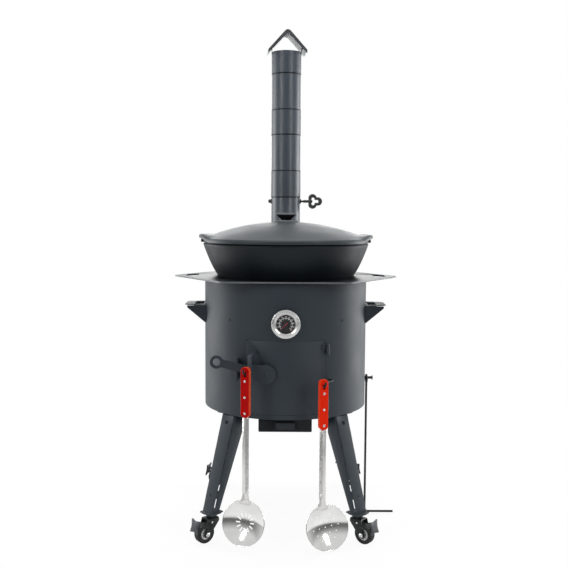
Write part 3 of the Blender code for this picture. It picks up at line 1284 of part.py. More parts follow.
def make_leg(corner):
    low = CASTER_HEIGHT + SEAT_GAP
    top = low + LEG_HEIGHT + MOUNT_PLATE_THICKNESS / 2
    lean = math.tan(LEG_LEAN)
    foot_out = leg_foot_radius()
    start = low + FOOT_PLATE_THICKNESS / 2
    knee_z = top - LEG_KNEE_DROP
    inner_top = BODY_RADIUS - LEG_FLANGE_TOP_DEPTH
    shape = [(BODY_RADIUS, top), (BODY_RADIUS + (top - start) * lean, start)]
    shape += [(foot_out - LEG_FLANGE_FOOT_DEPTH, start), (inner_top, knee_z), (inner_top, top)]
    channel = outline([shape], LEG_TOP_WIDTH)
    sheet = LEG_SHEET / math.cos(LEG_LEAN)
    over = CUT_OVERRUN
    room_low = start - over
    hollow = [(BODY_RADIUS - sheet - over * lean, top + over)]
    hollow += [(BODY_RADIUS - sheet + (top - room_low) * lean, room_low)]
    hollow += [(inner_top - 2 * over, room_low), (inner_top - 2 * over, top + over)]
    room = outline([hollow], LEG_TOP_WIDTH - 2 * LEG_SHEET)
    narrow_channel(channel, top, start, LEG_TOP_WIDTH, LEG_FOOT_WIDTH)
    narrow_channel(room, top, start, LEG_TOP_WIDTH - 2 * LEG_SHEET, LEG_FOOT_WIDTH - 2 * LEG_SHEET)
    bearing = leg_bearing(corner)
    out = outward(bearing)
    across = out.cross(UP)
    for piece in (channel, room):
        place(piece, (0, 0, 0), out, UP)
    cut(channel, room)
    down = Vector(out) * math.sin(LEG_LEAN) - UP * math.cos(LEG_LEAN)
    facing = out * math.cos(LEG_LEAN) + UP * math.sin(LEG_LEAN)
    slots = []
    for i in range(LEG_SLOTS):
        drop = LEG_FIRST_SLOT_DROP + i * LEG_SLOT_PITCH
        share = drop / (top - start)
        half = (LEG_TOP_WIDTH + (LEG_FOOT_WIDTH - LEG_TOP_WIDTH) * share) / 2
        for side in (-1, 1):
            spot = out * (BODY_RADIUS + drop * lean) + UP * (top - drop) + across * side * half
            slot = box((LEG_SLOT_LENGTH, 2 * LEG_SLOT_HALF_WIDTH, 2 * LEG_SLOT_HALF_WIDTH), (0, 0, 0))
            slots.append(place(slot, spot, down, across))
    cut(channel, as_cutter(gather(slots)))
    holes = [(top - LEG_TOP_HOLE_DROP, LEG_TOP_HOLE_RADIUS), (low + LEG_LOW_HOLE_RISE, LEG_LOW_HOLE_RADIUS)]
    for z, radius in holes:
        spot = out * (BODY_RADIUS + (top - z) * lean) + UP * z
        cut(channel, cylinder(radius, 4 * LEG_SHEET, SMALL_SIDES, spot, facing))
    foot = box((FOOT_PLATE_SIZE, FOOT_PLATE_SIZE, FOOT_PLATE_THICKNESS), (0, 0, 0))
    foot_spot = caster_centre(corner) + UP * (low + FOOT_PLATE_THICKNESS / 2)
    place(foot, foot_spot, out, UP.cross(out))
    unite(channel, foot, *leg_mount(corner))
    part(channel, "leg_" + corner, POWDER_COAT)


def narrow_channel(obj, top, low, top_width, foot_width):
    """Tapers an extruded leg outline towards the foot."""
    for vertex in obj.data.vertices:
        share = (top - vertex.co.y) / (top - low)
        vertex.co.z *= (top_width + (foot_width - top_width) * share) / top_width


def leg_mount(corner):
    """The plate across the leg's top, with its two bolts through the base plate."""
    bearing = leg_bearing(corner)
    out = outward(bearing)
    z = BODY_BOTTOM - SEAT_GAP - MOUNT_PLATE_THICKNESS / 2
    thickness = MOUNT_PLATE_THICKNESS
    plate = box((MOUNT_PLATE_DEPTH, 2 * MOUNT_PLATE_HALF_WIDTH, thickness), (0, 0, 0))
    place(plate, out * MOUNT_RADIUS + UP * z, out, UP.cross(out))
    pieces = [plate]
    low = z - thickness / 2 - MOUNT_BOLT_HEAD_HEIGHT
    high = BODY_BOTTOM + BASE_THICKNESS + MOUNT_BOLT_HEAD_HEIGHT
    for x, y in bolt_spots(corner):
        pieces.append(cylinder(MOUNT_BOLT_HEAD_RADIUS, MOUNT_BOLT_HEAD_HEIGHT + thickness / 2, 6,
                               (x, y, low + (MOUNT_BOLT_HEAD_HEIGHT + thickness / 2) / 2)))
        pieces.append(cylinder(MOUNT_BOLT_RADIUS, high - low - thickness / 2, SMALL_SIDES,
                               (x, y, (high + low + thickness / 2) / 2)))
    return pieces


def make_caster_plate(corner):
    out = outward(leg_bearing(corner))
    centre = caster_centre(corner)
    plate = box((CASTER_PLATE_SIZE, CASTER_PLATE_SIZE, CASTER_PLATE_THICKNESS), (0, 0, 0))
    place(plate, centre + UP * (CASTER_HEIGHT - CASTER_PLATE_THICKNESS / 2), out, UP.cross(out))
    height = BEARING_HEIGHT + CASTER_PLATE_THICKNESS / 2
    bearing = cylinder(BEARING_RADIUS, height, SMALL_SIDES * 2, centre + UP * (bearing_low() + height / 2))
    part(unite(plate, bearing), "caster_plate_" + corner, BLACK_PLASTIC)


def bearing_low():
    return CASTER_HEIGHT - CASTER_PLATE_THICKNESS - BEARING_HEIGHT


def caster_axes(corner):
    """Trail direction, axle direction and wheel centre of one caster."""
    bearing = TRAIL_BEARINGS[corner]
    trail = Vector((math.cos(bearing), math.sin(bearing), 0))
    axle = trail.cross(UP)
    hub = caster_centre(corner) + trail * CASTER_TRAIL + UP * WHEEL_RADIUS
    return trail, axle, hub


def make_fork(corner, swivel):
    trail, axle, hub = caster_axes(corner)
    top = bearing_low() - SEAT_GAP
    back = CASTER_TRAIL - FORK_FRONT_REACH / 2
    crown_length = FORK_FRONT_REACH + back
    crown = box((crown_length, 2 * FORK_HALF_WIDTH, FORK_SHEET), (0, 0, 0))
    middle = caster_centre(corner) + trail * (back - crown_length / 2) + UP * (top - FORK_SHEET / 2)
    place(crown, middle, trail, UP.cross(trail))
    foot = (CASTER_TRAIL, WHEEL_RADIUS)
    cheek_shape = [(back, top - MERGE), (-FORK_FRONT_REACH, top - MERGE)]
    cheek_shape += [(-FORK_FRONT_REACH, top - 3 * FORK_SHEET)]
    cheek_shape += arc(foot, FORK_FOOT_RADIUS, FORK_FOOT_FROM, FORK_FOOT_TO, SMALL_SIDES)
    for side in (-1, 1):
        cheek = outline([cheek_shape], FORK_SHEET)
        offset = axle * side * (FORK_HALF_WIDTH - FORK_SHEET / 2)
        place(cheek, caster_centre(corner) + offset, trail, UP)
        unite(crown, cheek)
    reach = FORK_HALF_WIDTH + AXLE_HEAD_REACH
    unite(crown, cylinder(AXLE_RADIUS, 2 * reach, SMALL_SIDES, hub, axle))
    part(crown, "caster_fork_" + corner, BLACK_PLASTIC, swivel)


def make_wheel(corner, spin):
    """Hub with its tyre moulded on; a flat of the tyre's rim rests on the floor."""
    trail, axle, hub = caster_axes(corner)
    outer = WHEEL_RADIUS / math.cos(math.pi / WHEEL_SIDES)
    tyre = TYRE_HALF_WIDTH
    half = HUB_HALF_WIDTH
    side = [(AXLE_RADIUS + RUNNING_GAP, half), (HUB_RADIUS, half), (outer - TYRE_SHOULDER, tyre)]
    side += [(outer, tyre - TYRE_SHOULDER)]
    profile = side + [(r, -z) for r, z in reversed(side)]
    wheel = turned(profile, WHEEL_SIDES, (0, 0, 0), half_step=True)
    place(wheel, hub, trail, UP)
    part(wheel, "caster_wheel_" + corner, BLACK_PLASTIC, spin)


def make_pedal(corner, swivel):
    trail, axle, hub = caster_axes(corner)
    wide = PEDAL_HALF_WIDTH
    tall = PEDAL_HALF_HEIGHT
    star = [(-wide, -tall), (0, PEDAL_NOTCH - tall), (wide, -tall), (wide - PEDAL_NOTCH, 0)]
    star += [(wide, tall), (0, tall - PEDAL_NOTCH), (-wide, tall), (PEDAL_NOTCH - wide, 0)]
    plate = outline([star], PEDAL_THICKNESS)
    spot = hub + trail * PEDAL_REACH + UP * PEDAL_RISE
    lean = UP * math.cos(PEDAL_TILT) - trail * math.sin(PEDAL_TILT)
    place(plate, spot, axle, lean)
    arm_gap = FORK_HALF_WIDTH + RUNNING_GAP
    middle = Vector((PEDAL_REACH, PEDAL_RISE))
    plate_up = Vector((-math.sin(PEDAL_TILT), math.cos(PEDAL_TILT)))
    end = [tuple(middle), tuple(middle - plate_up * tall)]
    bearing = math.atan2(PEDAL_RISE - tall / 2, PEDAL_REACH)
    eye = arc((0, 0), PEDAL_EYE_RADIUS, bearing - PEDAL_EYE_FROM, bearing - PEDAL_EYE_TO, SMALL_SIDES)
    for side in (-1, 1):
        arm = outline([end + eye], FORK_SHEET)
        offset = axle * side * (arm_gap + FORK_SHEET / 2)
        unite(plate, place(arm, hub + offset, trail, UP))
    axle_bore = around(AXLE_RADIUS, RUNNING_GAP, SMALL_SIDES)
    bore = cylinder(axle_bore, 4 * FORK_HALF_WIDTH, SMALL_SIDES, hub, axle)
    cut(plate, bore)
    part(plate, "brake_pedal_" + corner, BLACK_PLASTIC, swivel)


def make_casters():
    for corner in LEG_CORNERS:
        make_caster_plate(corner)
        hub = caster_axes(corner)[2]
        swivel = pivot("swivel_" + corner, caster_centre(corner))
        spin = pivot("axle_" + corner, hub)
        make_fork(corner, swivel)
        make_wheel(corner, spin)
        make_pedal(corner, spin)


def skimmer_frame(bearing, hang_above_base):
    """Hook place, sideways and outward directions of a hanging skimmer."""
    out = outward(bearing)
    across = sideways(bearing)
    hook = out * HANG_RADIUS + UP * (BODY_BOTTOM + hang_above_base)
    return hook, across, out


def bowl_slots(centre_depth):
    slots = []
    for i in range(BOWL_SLOTS):
        turn = 2 * math.pi * i / BOWL_SLOTS
        middle = (BOWL_SLOT_INNER + BOWL_SLOT_OUTER) / 2
        spot = (middle * math.cos(turn), middle * math.sin(turn), centre_depth)
        length = BOWL_SLOT_OUTER - BOWL_SLOT_INNER
        slot = box((length, 2 * BOWL_SLOT_HALF_WIDTH, 2 * SKIMMER_BOWL_DEPTH), (0, 0, 0))
        place(slot, spot, (math.cos(turn), math.sin(turn), 0), (-math.sin(turn), math.cos(turn), 0))
        slots.append(slot)
    return slots


def bowl_holes(centre_depth):
    holes = []
    rows = int(BOWL_HOLE_FIELD / BOWL_HOLE_PITCH) + 1
    for row in range(-rows, rows + 1):
        for column in range(-rows, rows + 1):
            x = (column + row / 2) * BOWL_HOLE_PITCH
            y = row * BOWL_HOLE_PITCH * math.sqrt(3 / 4)
            if math.hypot(x, y) <= BOWL_HOLE_FIELD:
                holes.append(cylinder(BOWL_HOLE_RADIUS, 2 * SKIMMER_BOWL_DEPTH, 5, (x, y, centre_depth)))
    return holes


def make_bowl(openings):
    """A shallow dish, rim at its own z = 0 and hollow towards +z."""
    rim = SKIMMER_BOWL_RADIUS
    depth = SKIMMER_BOWL_DEPTH
    inner_rim = rim - SKIMMER_RIM
    curve = (inner_rim ** 2 + depth ** 2) / (2 * depth)
    reach = math.asin(inner_rim / curve)
    rings = BOWL_RINGS
    dish = []
    for i in range(rings + 1):
        angle = reach * i / rings
        dish.append((curve * math.sin(angle), curve - depth - curve * math.cos(angle)))
    profile = dish + [(rim, 0), (rim, -SKIMMER_SHEET)] + [(r, z - SKIMMER_SHEET) for r, z in reversed(dish)]
    bowl = turned(profile, BOWL_SIDES, (0, 0, 0), closed=False)
    cut(bowl, as_cutter(gather(openings)))
    return as_mesh(bowl)


def make_skimmer(name, bearing, hang_above_base, floor_clearance, openings, swing):
    hook, across, out = skimmer_frame(bearing, hang_above_base)
    bowl = make_bowl(openings)
    tilt_up = UP * math.cos(SKIMMER_TILT) - out * math.sin(SKIMMER_TILT)
    low = floor_clearance
    rise = 2 * SKIMMER_BOWL_RADIUS * math.cos(SKIMMER_TILT)
    top_of_bowl = low + rise
    top_spot = Vector((hook.x, hook.y, top_of_bowl))
    centre = top_spot - tilt_up * SKIMMER_BOWL_RADIUS
    place(bowl, centre, across, tilt_up)
    grip_low = GRIP_HOLE_BELOW_TOP - GRIP_LENGTH
    shaft_top = hook.z + grip_low - SEAT_GAP
    neck_top = top_of_bowl + SKIMMER_NECK_LENGTH
    length = shaft_top - neck_top + SKIMMER_SHAFT_THICKNESS
    shaft = box((SKIMMER_SHAFT_WIDTH, SKIMMER_SHAFT_THICKNESS, length), (0, 0, 0))
    spot = Vector((hook.x, hook.y, (shaft_top + neck_top - SKIMMER_SHAFT_THICKNESS) / 2))
    place(shaft, spot, across, -out)
    half = SKIMMER_SHAFT_WIDTH / 2
    flare = SKIMMER_NECK_WIDTH / 2
    under = SKIMMER_BOWL_DEPTH / 2
    flare_top = top_of_bowl + SKIMMER_NECK_LENGTH / 3
    neck_shape = [(-half, neck_top), (-half, flare_top), (-flare, top_of_bowl - under)]
    neck_shape += [(flare, top_of_bowl - under), (half, flare_top), (half, neck_top)]
    neck = outline([neck_shape], SKIMMER_TANG_THICKNESS)
    place(neck, Vector((hook.x, hook.y, 0)), across, UP)
    tang_low = shaft_top - SKIMMER_SHAFT_THICKNESS / 2
    tang_top = hook.z + GRIP_HOLE_BELOW_TOP - GRIP_END_ROUNDING / 2
    tang = box((SKIMMER_TANG_WIDTH, SKIMMER_TANG_THICKNESS, tang_top - tang_low), (0, 0, 0))
    place(tang, Vector((hook.x, hook.y, (tang_top + tang_low) / 2)), across, -out)
    unite(shaft, neck, bowl, tang)
    head_seat = GRIP_THICKNESS / 2 + SEAT_GAP
    for z in rivet_levels(hook.z):
        middle = Vector((hook.x, hook.y, z))
        unite(shaft, cylinder(RIVET_RADIUS, 2 * head_seat + RIVET_HEAD_HEIGHT, SMALL_SIDES, middle, out))
        for side in (-1, 1):
            centre = middle + out * side * (head_seat + RIVET_HEAD_HEIGHT / 2)
            unite(shaft, cylinder(RIVET_HEAD_RADIUS, RIVET_HEAD_HEIGHT, SMALL_SIDES, centre, out))
    cut(shaft, hang_hole(hook, across, out, SEAT_GAP))
    part(shaft, name, STAINLESS, swing)

    end = GRIP_END_ROUNDING
    wide = GRIP_WIDTH / 2
    high = GRIP_HOLE_BELOW_TOP
    corners = [(-wide, grip_low), (wide, grip_low), (wide, high), (-wide, high)]
    grip = outline([rounded(corners, end, 4)], GRIP_THICKNESS)
    place(grip, hook, across, UP)
    bevel(grip, GRIP_ROUNDING, 1)
    pocket_top = tang_top + SEAT_GAP
    pocket_low = hook.z + grip_low - CUT_OVERRUN
    pocket_width = SKIMMER_TANG_WIDTH + 2 * SEAT_GAP
    pocket_size = (pocket_width, SKIMMER_TANG_THICKNESS + 2 * SEAT_GAP, pocket_top - pocket_low)
    pocket = box(pocket_size, (0, 0, 0))
    place(pocket, Vector((hook.x, hook.y, (pocket_top + pocket_low) / 2)), across, -out)
    cut(grip, pocket, hang_hole(hook, across, out, 0))
    for z in rivet_levels(hook.z):
        rivet_bore = around(RIVET_RADIUS, SEAT_GAP, SMALL_SIDES)
        cut(grip, cylinder(rivet_bore, 2 * GRIP_THICKNESS, SMALL_SIDES, Vector((hook.x, hook.y, z)), out))
    part(grip, name + "_grip", RED_GRIP, swing)


def rivet_levels(hang_z):
    return [hang_z - RIVET_FIRST_DROP - i * RIVET_PITCH for i in range(RIVETS)]


def hang_hole(hook, across, out, extra):
    wide = HANG_HOLE_HALF_WIDTH + extra
    high = HANG_HOLE_HALF_HEIGHT + extra
    ends = arc((0, high - wide), wide, 0, math.pi, 6) + arc((0, wide - high), wide, math.pi, 2 * math.pi, 6)
    hole = outline([ends], 2 * GRIP_THICKNESS)
    return place(hole, hook, across, UP)


def peg_level(hang_above_base):
    return BODY_BOTTOM + hang_above_base + HANG_HOLE_HALF_HEIGHT - HOOK_PEG_RADIUS - SEAT_GAP


def peg_tip_radius():
    return HANG_RADIUS + GRIP_THICKNESS / 2 + HOOK_PEG_OVERHANG


def make_door_hook(swing):
    """A bent strap on the door, ending in a peg for the slotted skimmer."""
    peg_z = peg_level(SLOTTED_HANG_ABOVE_BASE)
    root = BODY_RADIUS - CUT_OVERRUN
    front = BODY_RADIUS + HOOK_STRAP_REACH
    high = peg_z + HOOK_STRAP_RISE
    path = [(root, high), (front, high - HOOK_STRAP_SLOPE), (front, peg_z - HOOK_PEG_RADIUS)]
    strap = outline([strip(path, HOOK_STRAP_THICKNESS)], HOOK_STRAP_WIDTH)
    out = outward(SLOTTED_BEARING)
    place(strap, (0, 0, 0), out, UP)
    cut(strap, body_surface(SEAT_GAP))
    tip = peg_tip_radius()
    route = [out * front + UP * peg_z, out * (tip - HOOK_PEG_RADIUS) + UP * peg_z]
    route += [out * tip + UP * (peg_z + HOOK_PEG_RADIUS), out * tip + UP * (peg_z + HOOK_PEG_TURN_UP)]
    unite(strap, tube(route, HOOK_PEG_RADIUS))
    part(strap, "door_hook", POWDER_COAT, swing)


def make_wire_hook():
    """A bent wire on the shell beside the hinge, for the holed skimmer."""
    peg_z = peg_level(HOLED_HANG_ABOVE_BASE)
    root_out = outward(WIRE_HOOK_BEARING)
    out = outward(HOLED_BEARING)
    across = sideways(HOLED_BEARING)
    start = root_out * (BODY_RADIUS + SEAT_GAP * 2)
    elbow = root_out * (BODY_RADIUS + SKIMMER_REACH / 3)
    inner = out * (HANG_RADIUS - GRIP_THICKNESS) + across * HOOK_PEG_RADIUS / 4
    tip = out * peg_tip_radius()
    low = UP * peg_z
    route = [start + low, elbow + low, inner + low, tip - out * HOOK_PEG_RADIUS + low]
    route += [tip + low + UP * HOOK_PEG_RADIUS, tip + low + UP * HOOK_PEG_TURN_UP]
    part(tube(route, HOOK_PEG_RADIUS), "wire_hook", POWDER_COAT)


def poker_levels():
    """Heights of the eye's centre and the peg that carries it."""
    eye = BODY_BOTTOM + POKER_TOP_ABOVE_BASE - POKER_EYE_RADIUS - POKER_RADIUS
    peg = eye + POKER_EYE_RADIUS - POKER_RADIUS - POKER_PEG_RADIUS - SEAT_GAP
    return eye, peg


def poker_plane_x():
    return BODY_RADIUS + POKER_SIDE_GAP + POKER_RADIUS


def make_poker_peg():
    peg_z = poker_levels()[1]
    root = BODY_RADIUS - CUT_OVERRUN
    end = BODY_RADIUS + POKER_PEG_LENGTH
    centre = Vector(((root + end) / 2, POKER_Y, peg_z))
    peg = cylinder(POKER_PEG_RADIUS, end - root, PEG_SEGMENTS * 2, centre, (1, 0, 0))
    head = cylinder(POKER_PEG_HEAD_RADIUS, POKER_PEG_HEAD_THICKNESS, PEG_SEGMENTS * 2,
                    (end, POKER_Y, peg_z), (1, 0, 0))
    unite(peg, head)
    part(cut(peg, body_surface(SEAT_GAP)), "poker_peg", POWDER_COAT)


def make_poker(swing):
    eye_z = poker_levels()[0]
    x = poker_plane_x()
    y = POKER_Y
    ring = [(x, y + px, eye_z + pz) for px, pz in circle(POKER_EYE_RADIUS, POKER_EYE_SIDES)]
    eye = tube(ring, POKER_RADIUS, closed=True)
    foot_z = POKER_FLOOR_CLEARANCE + POKER_RADIUS
    bend = arc((x + POKER_BEND, foot_z + POKER_BEND), POKER_BEND, math.pi, 1.5 * math.pi, 5)
    route = [(x, y, eye_z - POKER_EYE_RADIUS)] + [(px, y, pz) for px, pz in bend]
    route += [(x + POKER_FOOT_LENGTH, y, foot_z)]
    rod = tube(route, POKER_RADIUS)
    part(unite(rod, eye), "poker", PIPE_STEEL, swing)


def build():
    make_fire_shell()
    make_base_plate()
    make_top_plate()
    make_grate()
    lift = pivot("cauldron_lift", (0, 0, PLATE_TOP))
    make_cauldron(lift)
    make_lid(pivot("lid_lift", (0, 0, PLATE_TOP + CAULDRON_RIM_ABOVE_PLATE)))
    swing = pivot("door_swing", (HINGE_X, HINGE_Y, DOOR_BOTTOM))
    make_door(swing)
    make_hinge_brackets()
    latch_place = (-LATCH_PIVOT_X, LATCH_BACK_Y - LATCH_THICKNESS / 2, LATCH_PIVOT_Z)
    make_latch_bar(pivot("latch_turn", latch_place))
    make_latch_rivet(swing)
    make_latch_catch()
    slide = pivot("drawer_slide", (0, drawer_front_y(), drawer_levels()[0]))
    make_ash_drawer(slide)
    make_drawer_pull(slide)
    make_drawer_rails()
    make_thermometer(pivot("needle_turn", (0, -BODY_RADIUS, DIAL_Z)))
    make_side_handle("left_handle", -1)
    make_side_handle("right_handle", 1)
    make_flue_tee()
    make_chimney_pipes()
    make_rain_cap()
    make_damper(pivot("damper_turn", (0, CHIMNEY_Y, damper_z())))
    for corner in LEG_CORNERS:
        make_leg(corner)
    make_casters()
    hook, across, out = skimmer_frame(SLOTTED_BEARING, SLOTTED_HANG_ABOVE_BASE)
    edge = hook - out * GRIP_THICKNESS / 2 + UP * HANG_HOLE_HALF_HEIGHT
    swing_left = pivot("slotted_skimmer_swing", edge)
    make_skimmer("slotted_skimmer", SLOTTED_BEARING, SLOTTED_HANG_ABOVE_BASE, SLOTTED_FLOOR_CLEARANCE,
                 bowl_slots(-SKIMMER_BOWL_DEPTH), swing_left)
    hook, across, out = skimmer_frame(HOLED_BEARING, HOLED_HANG_ABOVE_BASE)
    edge = hook - out * GRIP_THICKNESS / 2 + UP * HANG_HOLE_HALF_HEIGHT
    swing_right = pivot("holed_skimmer_swing", edge)
    make_skimmer("holed_skimmer", HOLED_BEARING, HOLED_HANG_ABOVE_BASE, HOLED_FLOOR_CLEARANCE,
                 bowl_holes(-SKIMMER_BOWL_DEPTH), swing_right)
    make_door_hook(swing)
    make_wire_hook()
    make_poker_peg()
    make_poker(pivot("poker_swing", (BODY_RADIUS, POKER_Y, poker_levels()[1])))


build()
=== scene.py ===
"""Looks of a wood-fired cauldron stove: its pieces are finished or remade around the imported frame."""

import bmesh
import bpy
from math import acos, asin, atan2, ceil, copysign, cos, degrees, hypot, pi, radians, sin, sqrt, tan
from mathutils import Matrix, Vector


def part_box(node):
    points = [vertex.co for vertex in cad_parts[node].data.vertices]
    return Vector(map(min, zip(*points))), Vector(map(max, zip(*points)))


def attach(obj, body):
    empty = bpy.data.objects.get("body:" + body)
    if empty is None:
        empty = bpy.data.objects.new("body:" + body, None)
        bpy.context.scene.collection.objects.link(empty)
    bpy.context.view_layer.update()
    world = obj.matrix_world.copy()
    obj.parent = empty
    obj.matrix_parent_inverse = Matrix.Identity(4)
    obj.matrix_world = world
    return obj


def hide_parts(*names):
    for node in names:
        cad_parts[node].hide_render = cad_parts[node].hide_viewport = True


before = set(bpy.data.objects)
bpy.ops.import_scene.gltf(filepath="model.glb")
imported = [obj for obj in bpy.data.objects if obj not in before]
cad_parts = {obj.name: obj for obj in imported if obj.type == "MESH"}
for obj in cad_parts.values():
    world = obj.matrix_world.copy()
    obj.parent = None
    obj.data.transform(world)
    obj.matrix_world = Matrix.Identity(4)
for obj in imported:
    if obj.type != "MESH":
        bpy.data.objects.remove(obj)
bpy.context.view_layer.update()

# Fire shell: one steel sheet rolled into a drum and welded down its back, powder coated outside and
# blackened by the fire inside. The door's opening and the flue's hole are cut before rolling.
shell_low, shell_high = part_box("fire_shell")
STOVE_AXIS = Vector(((shell_low.x + shell_high.x) / 2, (shell_low.y + shell_high.y) / 2, 0))
BODY_RADIUS = (shell_high.x - shell_low.x) / 2
BODY_BOTTOM, BODY_TOP = shell_low.z, shell_high.z
SHELL_WALL = 0.003
SHEET_EDGE = 0.0005
ROLL_STRIP = radians(2.5)
SHELL_SEAM = radians(-150)
DOOR_SEAM = 0.0007
DOOR_OVERSIZE = 0.0004
DOOR_CORNER = 0.006
FLUE_HOLE_RADIUS = 0.0403
BRANCH_DROP = 0.076
POWDER_SLATE = (0.019, 0.028, 0.037, 1)
POWDER_WORN = (0.13, 0.14, 0.15, 1)
PEEL_DEPTH = 0.00025
PEEL_STRENGTH = 0.35
door_low, door_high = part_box("door")
DOOR_HALF_WIDTH = -door_low.x


def group_nodes(name, given, returned):
    """An empty shader node group with its sockets, for an effect that several finishes share."""
    group = bpy.data.node_groups.new(name, "ShaderNodeTree")
    kinds = {"value": "NodeSocketFloat", "colour": "NodeSocketColor", "normal": "NodeSocketVector"}
    for way, sockets in (("INPUT", given), ("OUTPUT", returned)):
        for label, kind, *start in sockets:
            socket = group.interface.new_socket(label, in_out=way, socket_type=kinds[kind])
            if start:
                socket.default_value = start[0]
    return group, group.nodes.new("NodeGroupInput"), group.nodes.new("NodeGroupOutput")


def node(tree, kind, links=None, **settings):
    """A shader node with its settings, and its inputs linked or set by name or number."""
    made = tree.nodes.new("ShaderNode" + kind)
    for key, value in settings.items():
        setattr(made, key, value)
    for key, value in (links or {}).items():
        if isinstance(value, bpy.types.NodeSocket):
            tree.links.new(value, made.inputs[key])
        else:
            made.inputs[key].default_value = value
    return made


def feed(tree, target, **links):
    """Links values to a node's inputs by their names."""
    for key, value in links.items():
        tree.links.new(value, target.inputs[key.replace("_", " ")])


def own_place(tree):
    """Where each point lies on its own piece, in metres."""
    return node(tree, "TexCoord").outputs["Object"]


def noise(tree, at, scale, detail, rough=0.5):
    links = {"Vector": at, "Scale": scale, "Detail": detail, "Roughness": rough}
    return node(tree, "TexNoise", links).outputs[0]


def reckoned(tree, operation, first, second):
    return node(tree, "Math", {0: first, 1: second}, operation=operation).outputs[0]


def spread(tree, value, low, high, to_low, to_high):
    """A value's span from low to high, stretched to another span."""
    return node(tree, "MapRange", {0: value, 1: low, 2: high, 3: to_low, 4: to_high}).outputs[0]


def mixed(tree, share, first, second):
    return node(tree, "Mix", {0: share, 6: first, 7: second}, data_type="RGBA").outputs[2]


def toned(tree, colour, tone):
    return node(tree, "VectorMath", {0: colour, 3: tone}, operation="SCALE").outputs[0]


SKIN = [("Colour", "colour"), ("Roughness", "value"), ("Height", "value")]


def grain_group():
    """Sprayed and baked powder: fine orange peel, and slow drifts of tone across the sheet."""
    sockets = [("Colour", "colour"), ("Drift", "value", 0.1), ("Peel Scale", "value", 900)]
    group, given, out = group_nodes("powder_grain", sockets, SKIN)
    at = own_place(group)
    peel = noise(group, at, given.outputs["Peel Scale"], 3.0)
    speck = noise(group, at, 2600.0, 1.0)
    cloud = noise(group, at, 9.0, 4.0, 0.6)
    drift = reckoned(group, "SUBTRACT", cloud, 0.5)
    drift = reckoned(group, "MULTIPLY", drift, given.outputs["Drift"])
    tone = reckoned(group, "ADD", drift, spread(group, speck, 0.35, 0.65, 0.93, 1.07))
    shade = toned(group, given.outputs["Colour"], tone)
    feed(group, out, Colour=shade, Roughness=spread(group, cloud, 0.3, 0.7, 0.0, 1.0), Height=peel)
    return group


def edge_group():
    """Where a sheet's edge is rubbed: a mask from how far the surface turns within a millimetre."""
    group, given, out = group_nodes("rubbed_edge", [("Reach", "value", 0.001)], [("Mask", "value")])
    soft = node(group, "Bevel", {"Radius": given.outputs["Reach"]}, samples=4).outputs[0]
    true = node(group, "NewGeometry").outputs["Normal"]
    turn = node(group, "VectorMath", {0: soft, 1: true}, operation="DOT_PRODUCT").outputs["Value"]
    edge = spread(group, turn, 0.995, 0.88, 0.0, 1.0)
    rubbed = spread(group, noise(group, own_place(group), 120.0, 3.0), 0.42, 0.62, 0.15, 1.0)
    feed(group, out, Mask=reckoned(group, "MULTIPLY", edge, rubbed))
    return group


GRAIN = grain_group()
RUBBED = edge_group()


def placed(tree, group, **values):
    made = node(tree, "Group", node_tree=group)
    for key, value in values.items():
        made.inputs[key.replace("_", " ")].default_value = value
    return made


def finish(name, **values):
    """A material and its Principled shader, with the plain values on the shader's own sockets."""
    made = bpy.data.materials.new(name)
    made.use_nodes = True
    shader = made.node_tree.nodes["Principled BSDF"]
    for key, value in values.items():
        shader.inputs[key.replace("_", " ")].default_value = value
    return made, made.node_tree, shader


def bumped(tree, shader, height, distance, strength):
    bump = node(tree, "Bump", {"Height": height, "Distance": distance, "Strength": strength})
    feed(tree, shader, Normal=bump.outputs[0])


def worn_share(tree, reach, most):
    """How far the worn colour shows: not at all on the flats, and most at the rubbed edges."""
    return reckoned(tree, "MULTIPLY", placed(tree, RUBBED, Reach=reach).outputs["Mask"], most)


def skinned(tree, shader, skin, colour, gloss, matt, depth, strength):
    """Gives a shader its colour, and its roughness and relief from a skin's node group."""
    rough = spread(tree, skin.outputs["Roughness"], 0.0, 1.0, gloss, matt)
    feed(tree, shader, Base_Color=colour, Roughness=rough)
    bumped(tree, shader, skin.outputs["Height"], depth, strength)


def powder_coat(name, colour, matt, gloss, drift=0.16, worn=POWDER_WORN, shine=0.35):
    made, tree, shader = finish(name, Specular_IOR_Level=shine)
    grain = placed(tree, GRAIN, Colour=colour, Drift=drift)
    tone = mixed(tree, worn_share(tree, 0.0009, 0.55), grain.outputs["Colour"], worn)
    skinned(tree, shader, grain, tone, gloss, matt, PEEL_DEPTH, PEEL_STRENGTH)
    return made


def soot_coat(name, colour, ash):
    """Steel that faces the fire: flat black soot with paler ash caught in it."""
    made, tree, shader = finish(name, Roughness=0.92)
    at = own_place(tree)
    share = spread(tree, noise(tree, at, 22.0, 6.0, 0.7), 0.45, 0.8, 0.0, 0.8)
    feed(tree, shader, Base_Color=mixed(tree, share, colour, ash))
    bumped(tree, shader, noise(tree, at, 420.0, 4.0), 0.0008, 0.5)
    return made


BODY_COAT = powder_coat("slate_powder_coat", POWDER_SLATE, 0.60, 0.50)
SOOTED_STEEL = soot_coat("sooted_steel", (0.012, 0.012, 0.013, 1), (0.10, 0.095, 0.09, 1))


def stand(name, data, *finishes):
    """An object on the stove's axis with its finishes."""
    made = bpy.data.objects.new(name, data)
    bpy.context.scene.collection.objects.link(made)
    made.location = STOVE_AXIS
    for each in finishes:
        data.materials.append(each)
    return made


def lay(obj, origin, across=(1, 0, 0), up=(0, 0, 1)):
    """Turns a piece drawn flat in x and y so that x runs across and y runs up at its place."""
    x = Vector(across).normalized()
    y = Vector(up).normalized()
    turn = Matrix((x, y, x.cross(y))).transposed().to_4x4()
    obj.matrix_world = Matrix.Translation(STOVE_AXIS + Vector(origin)) @ turn
    return obj


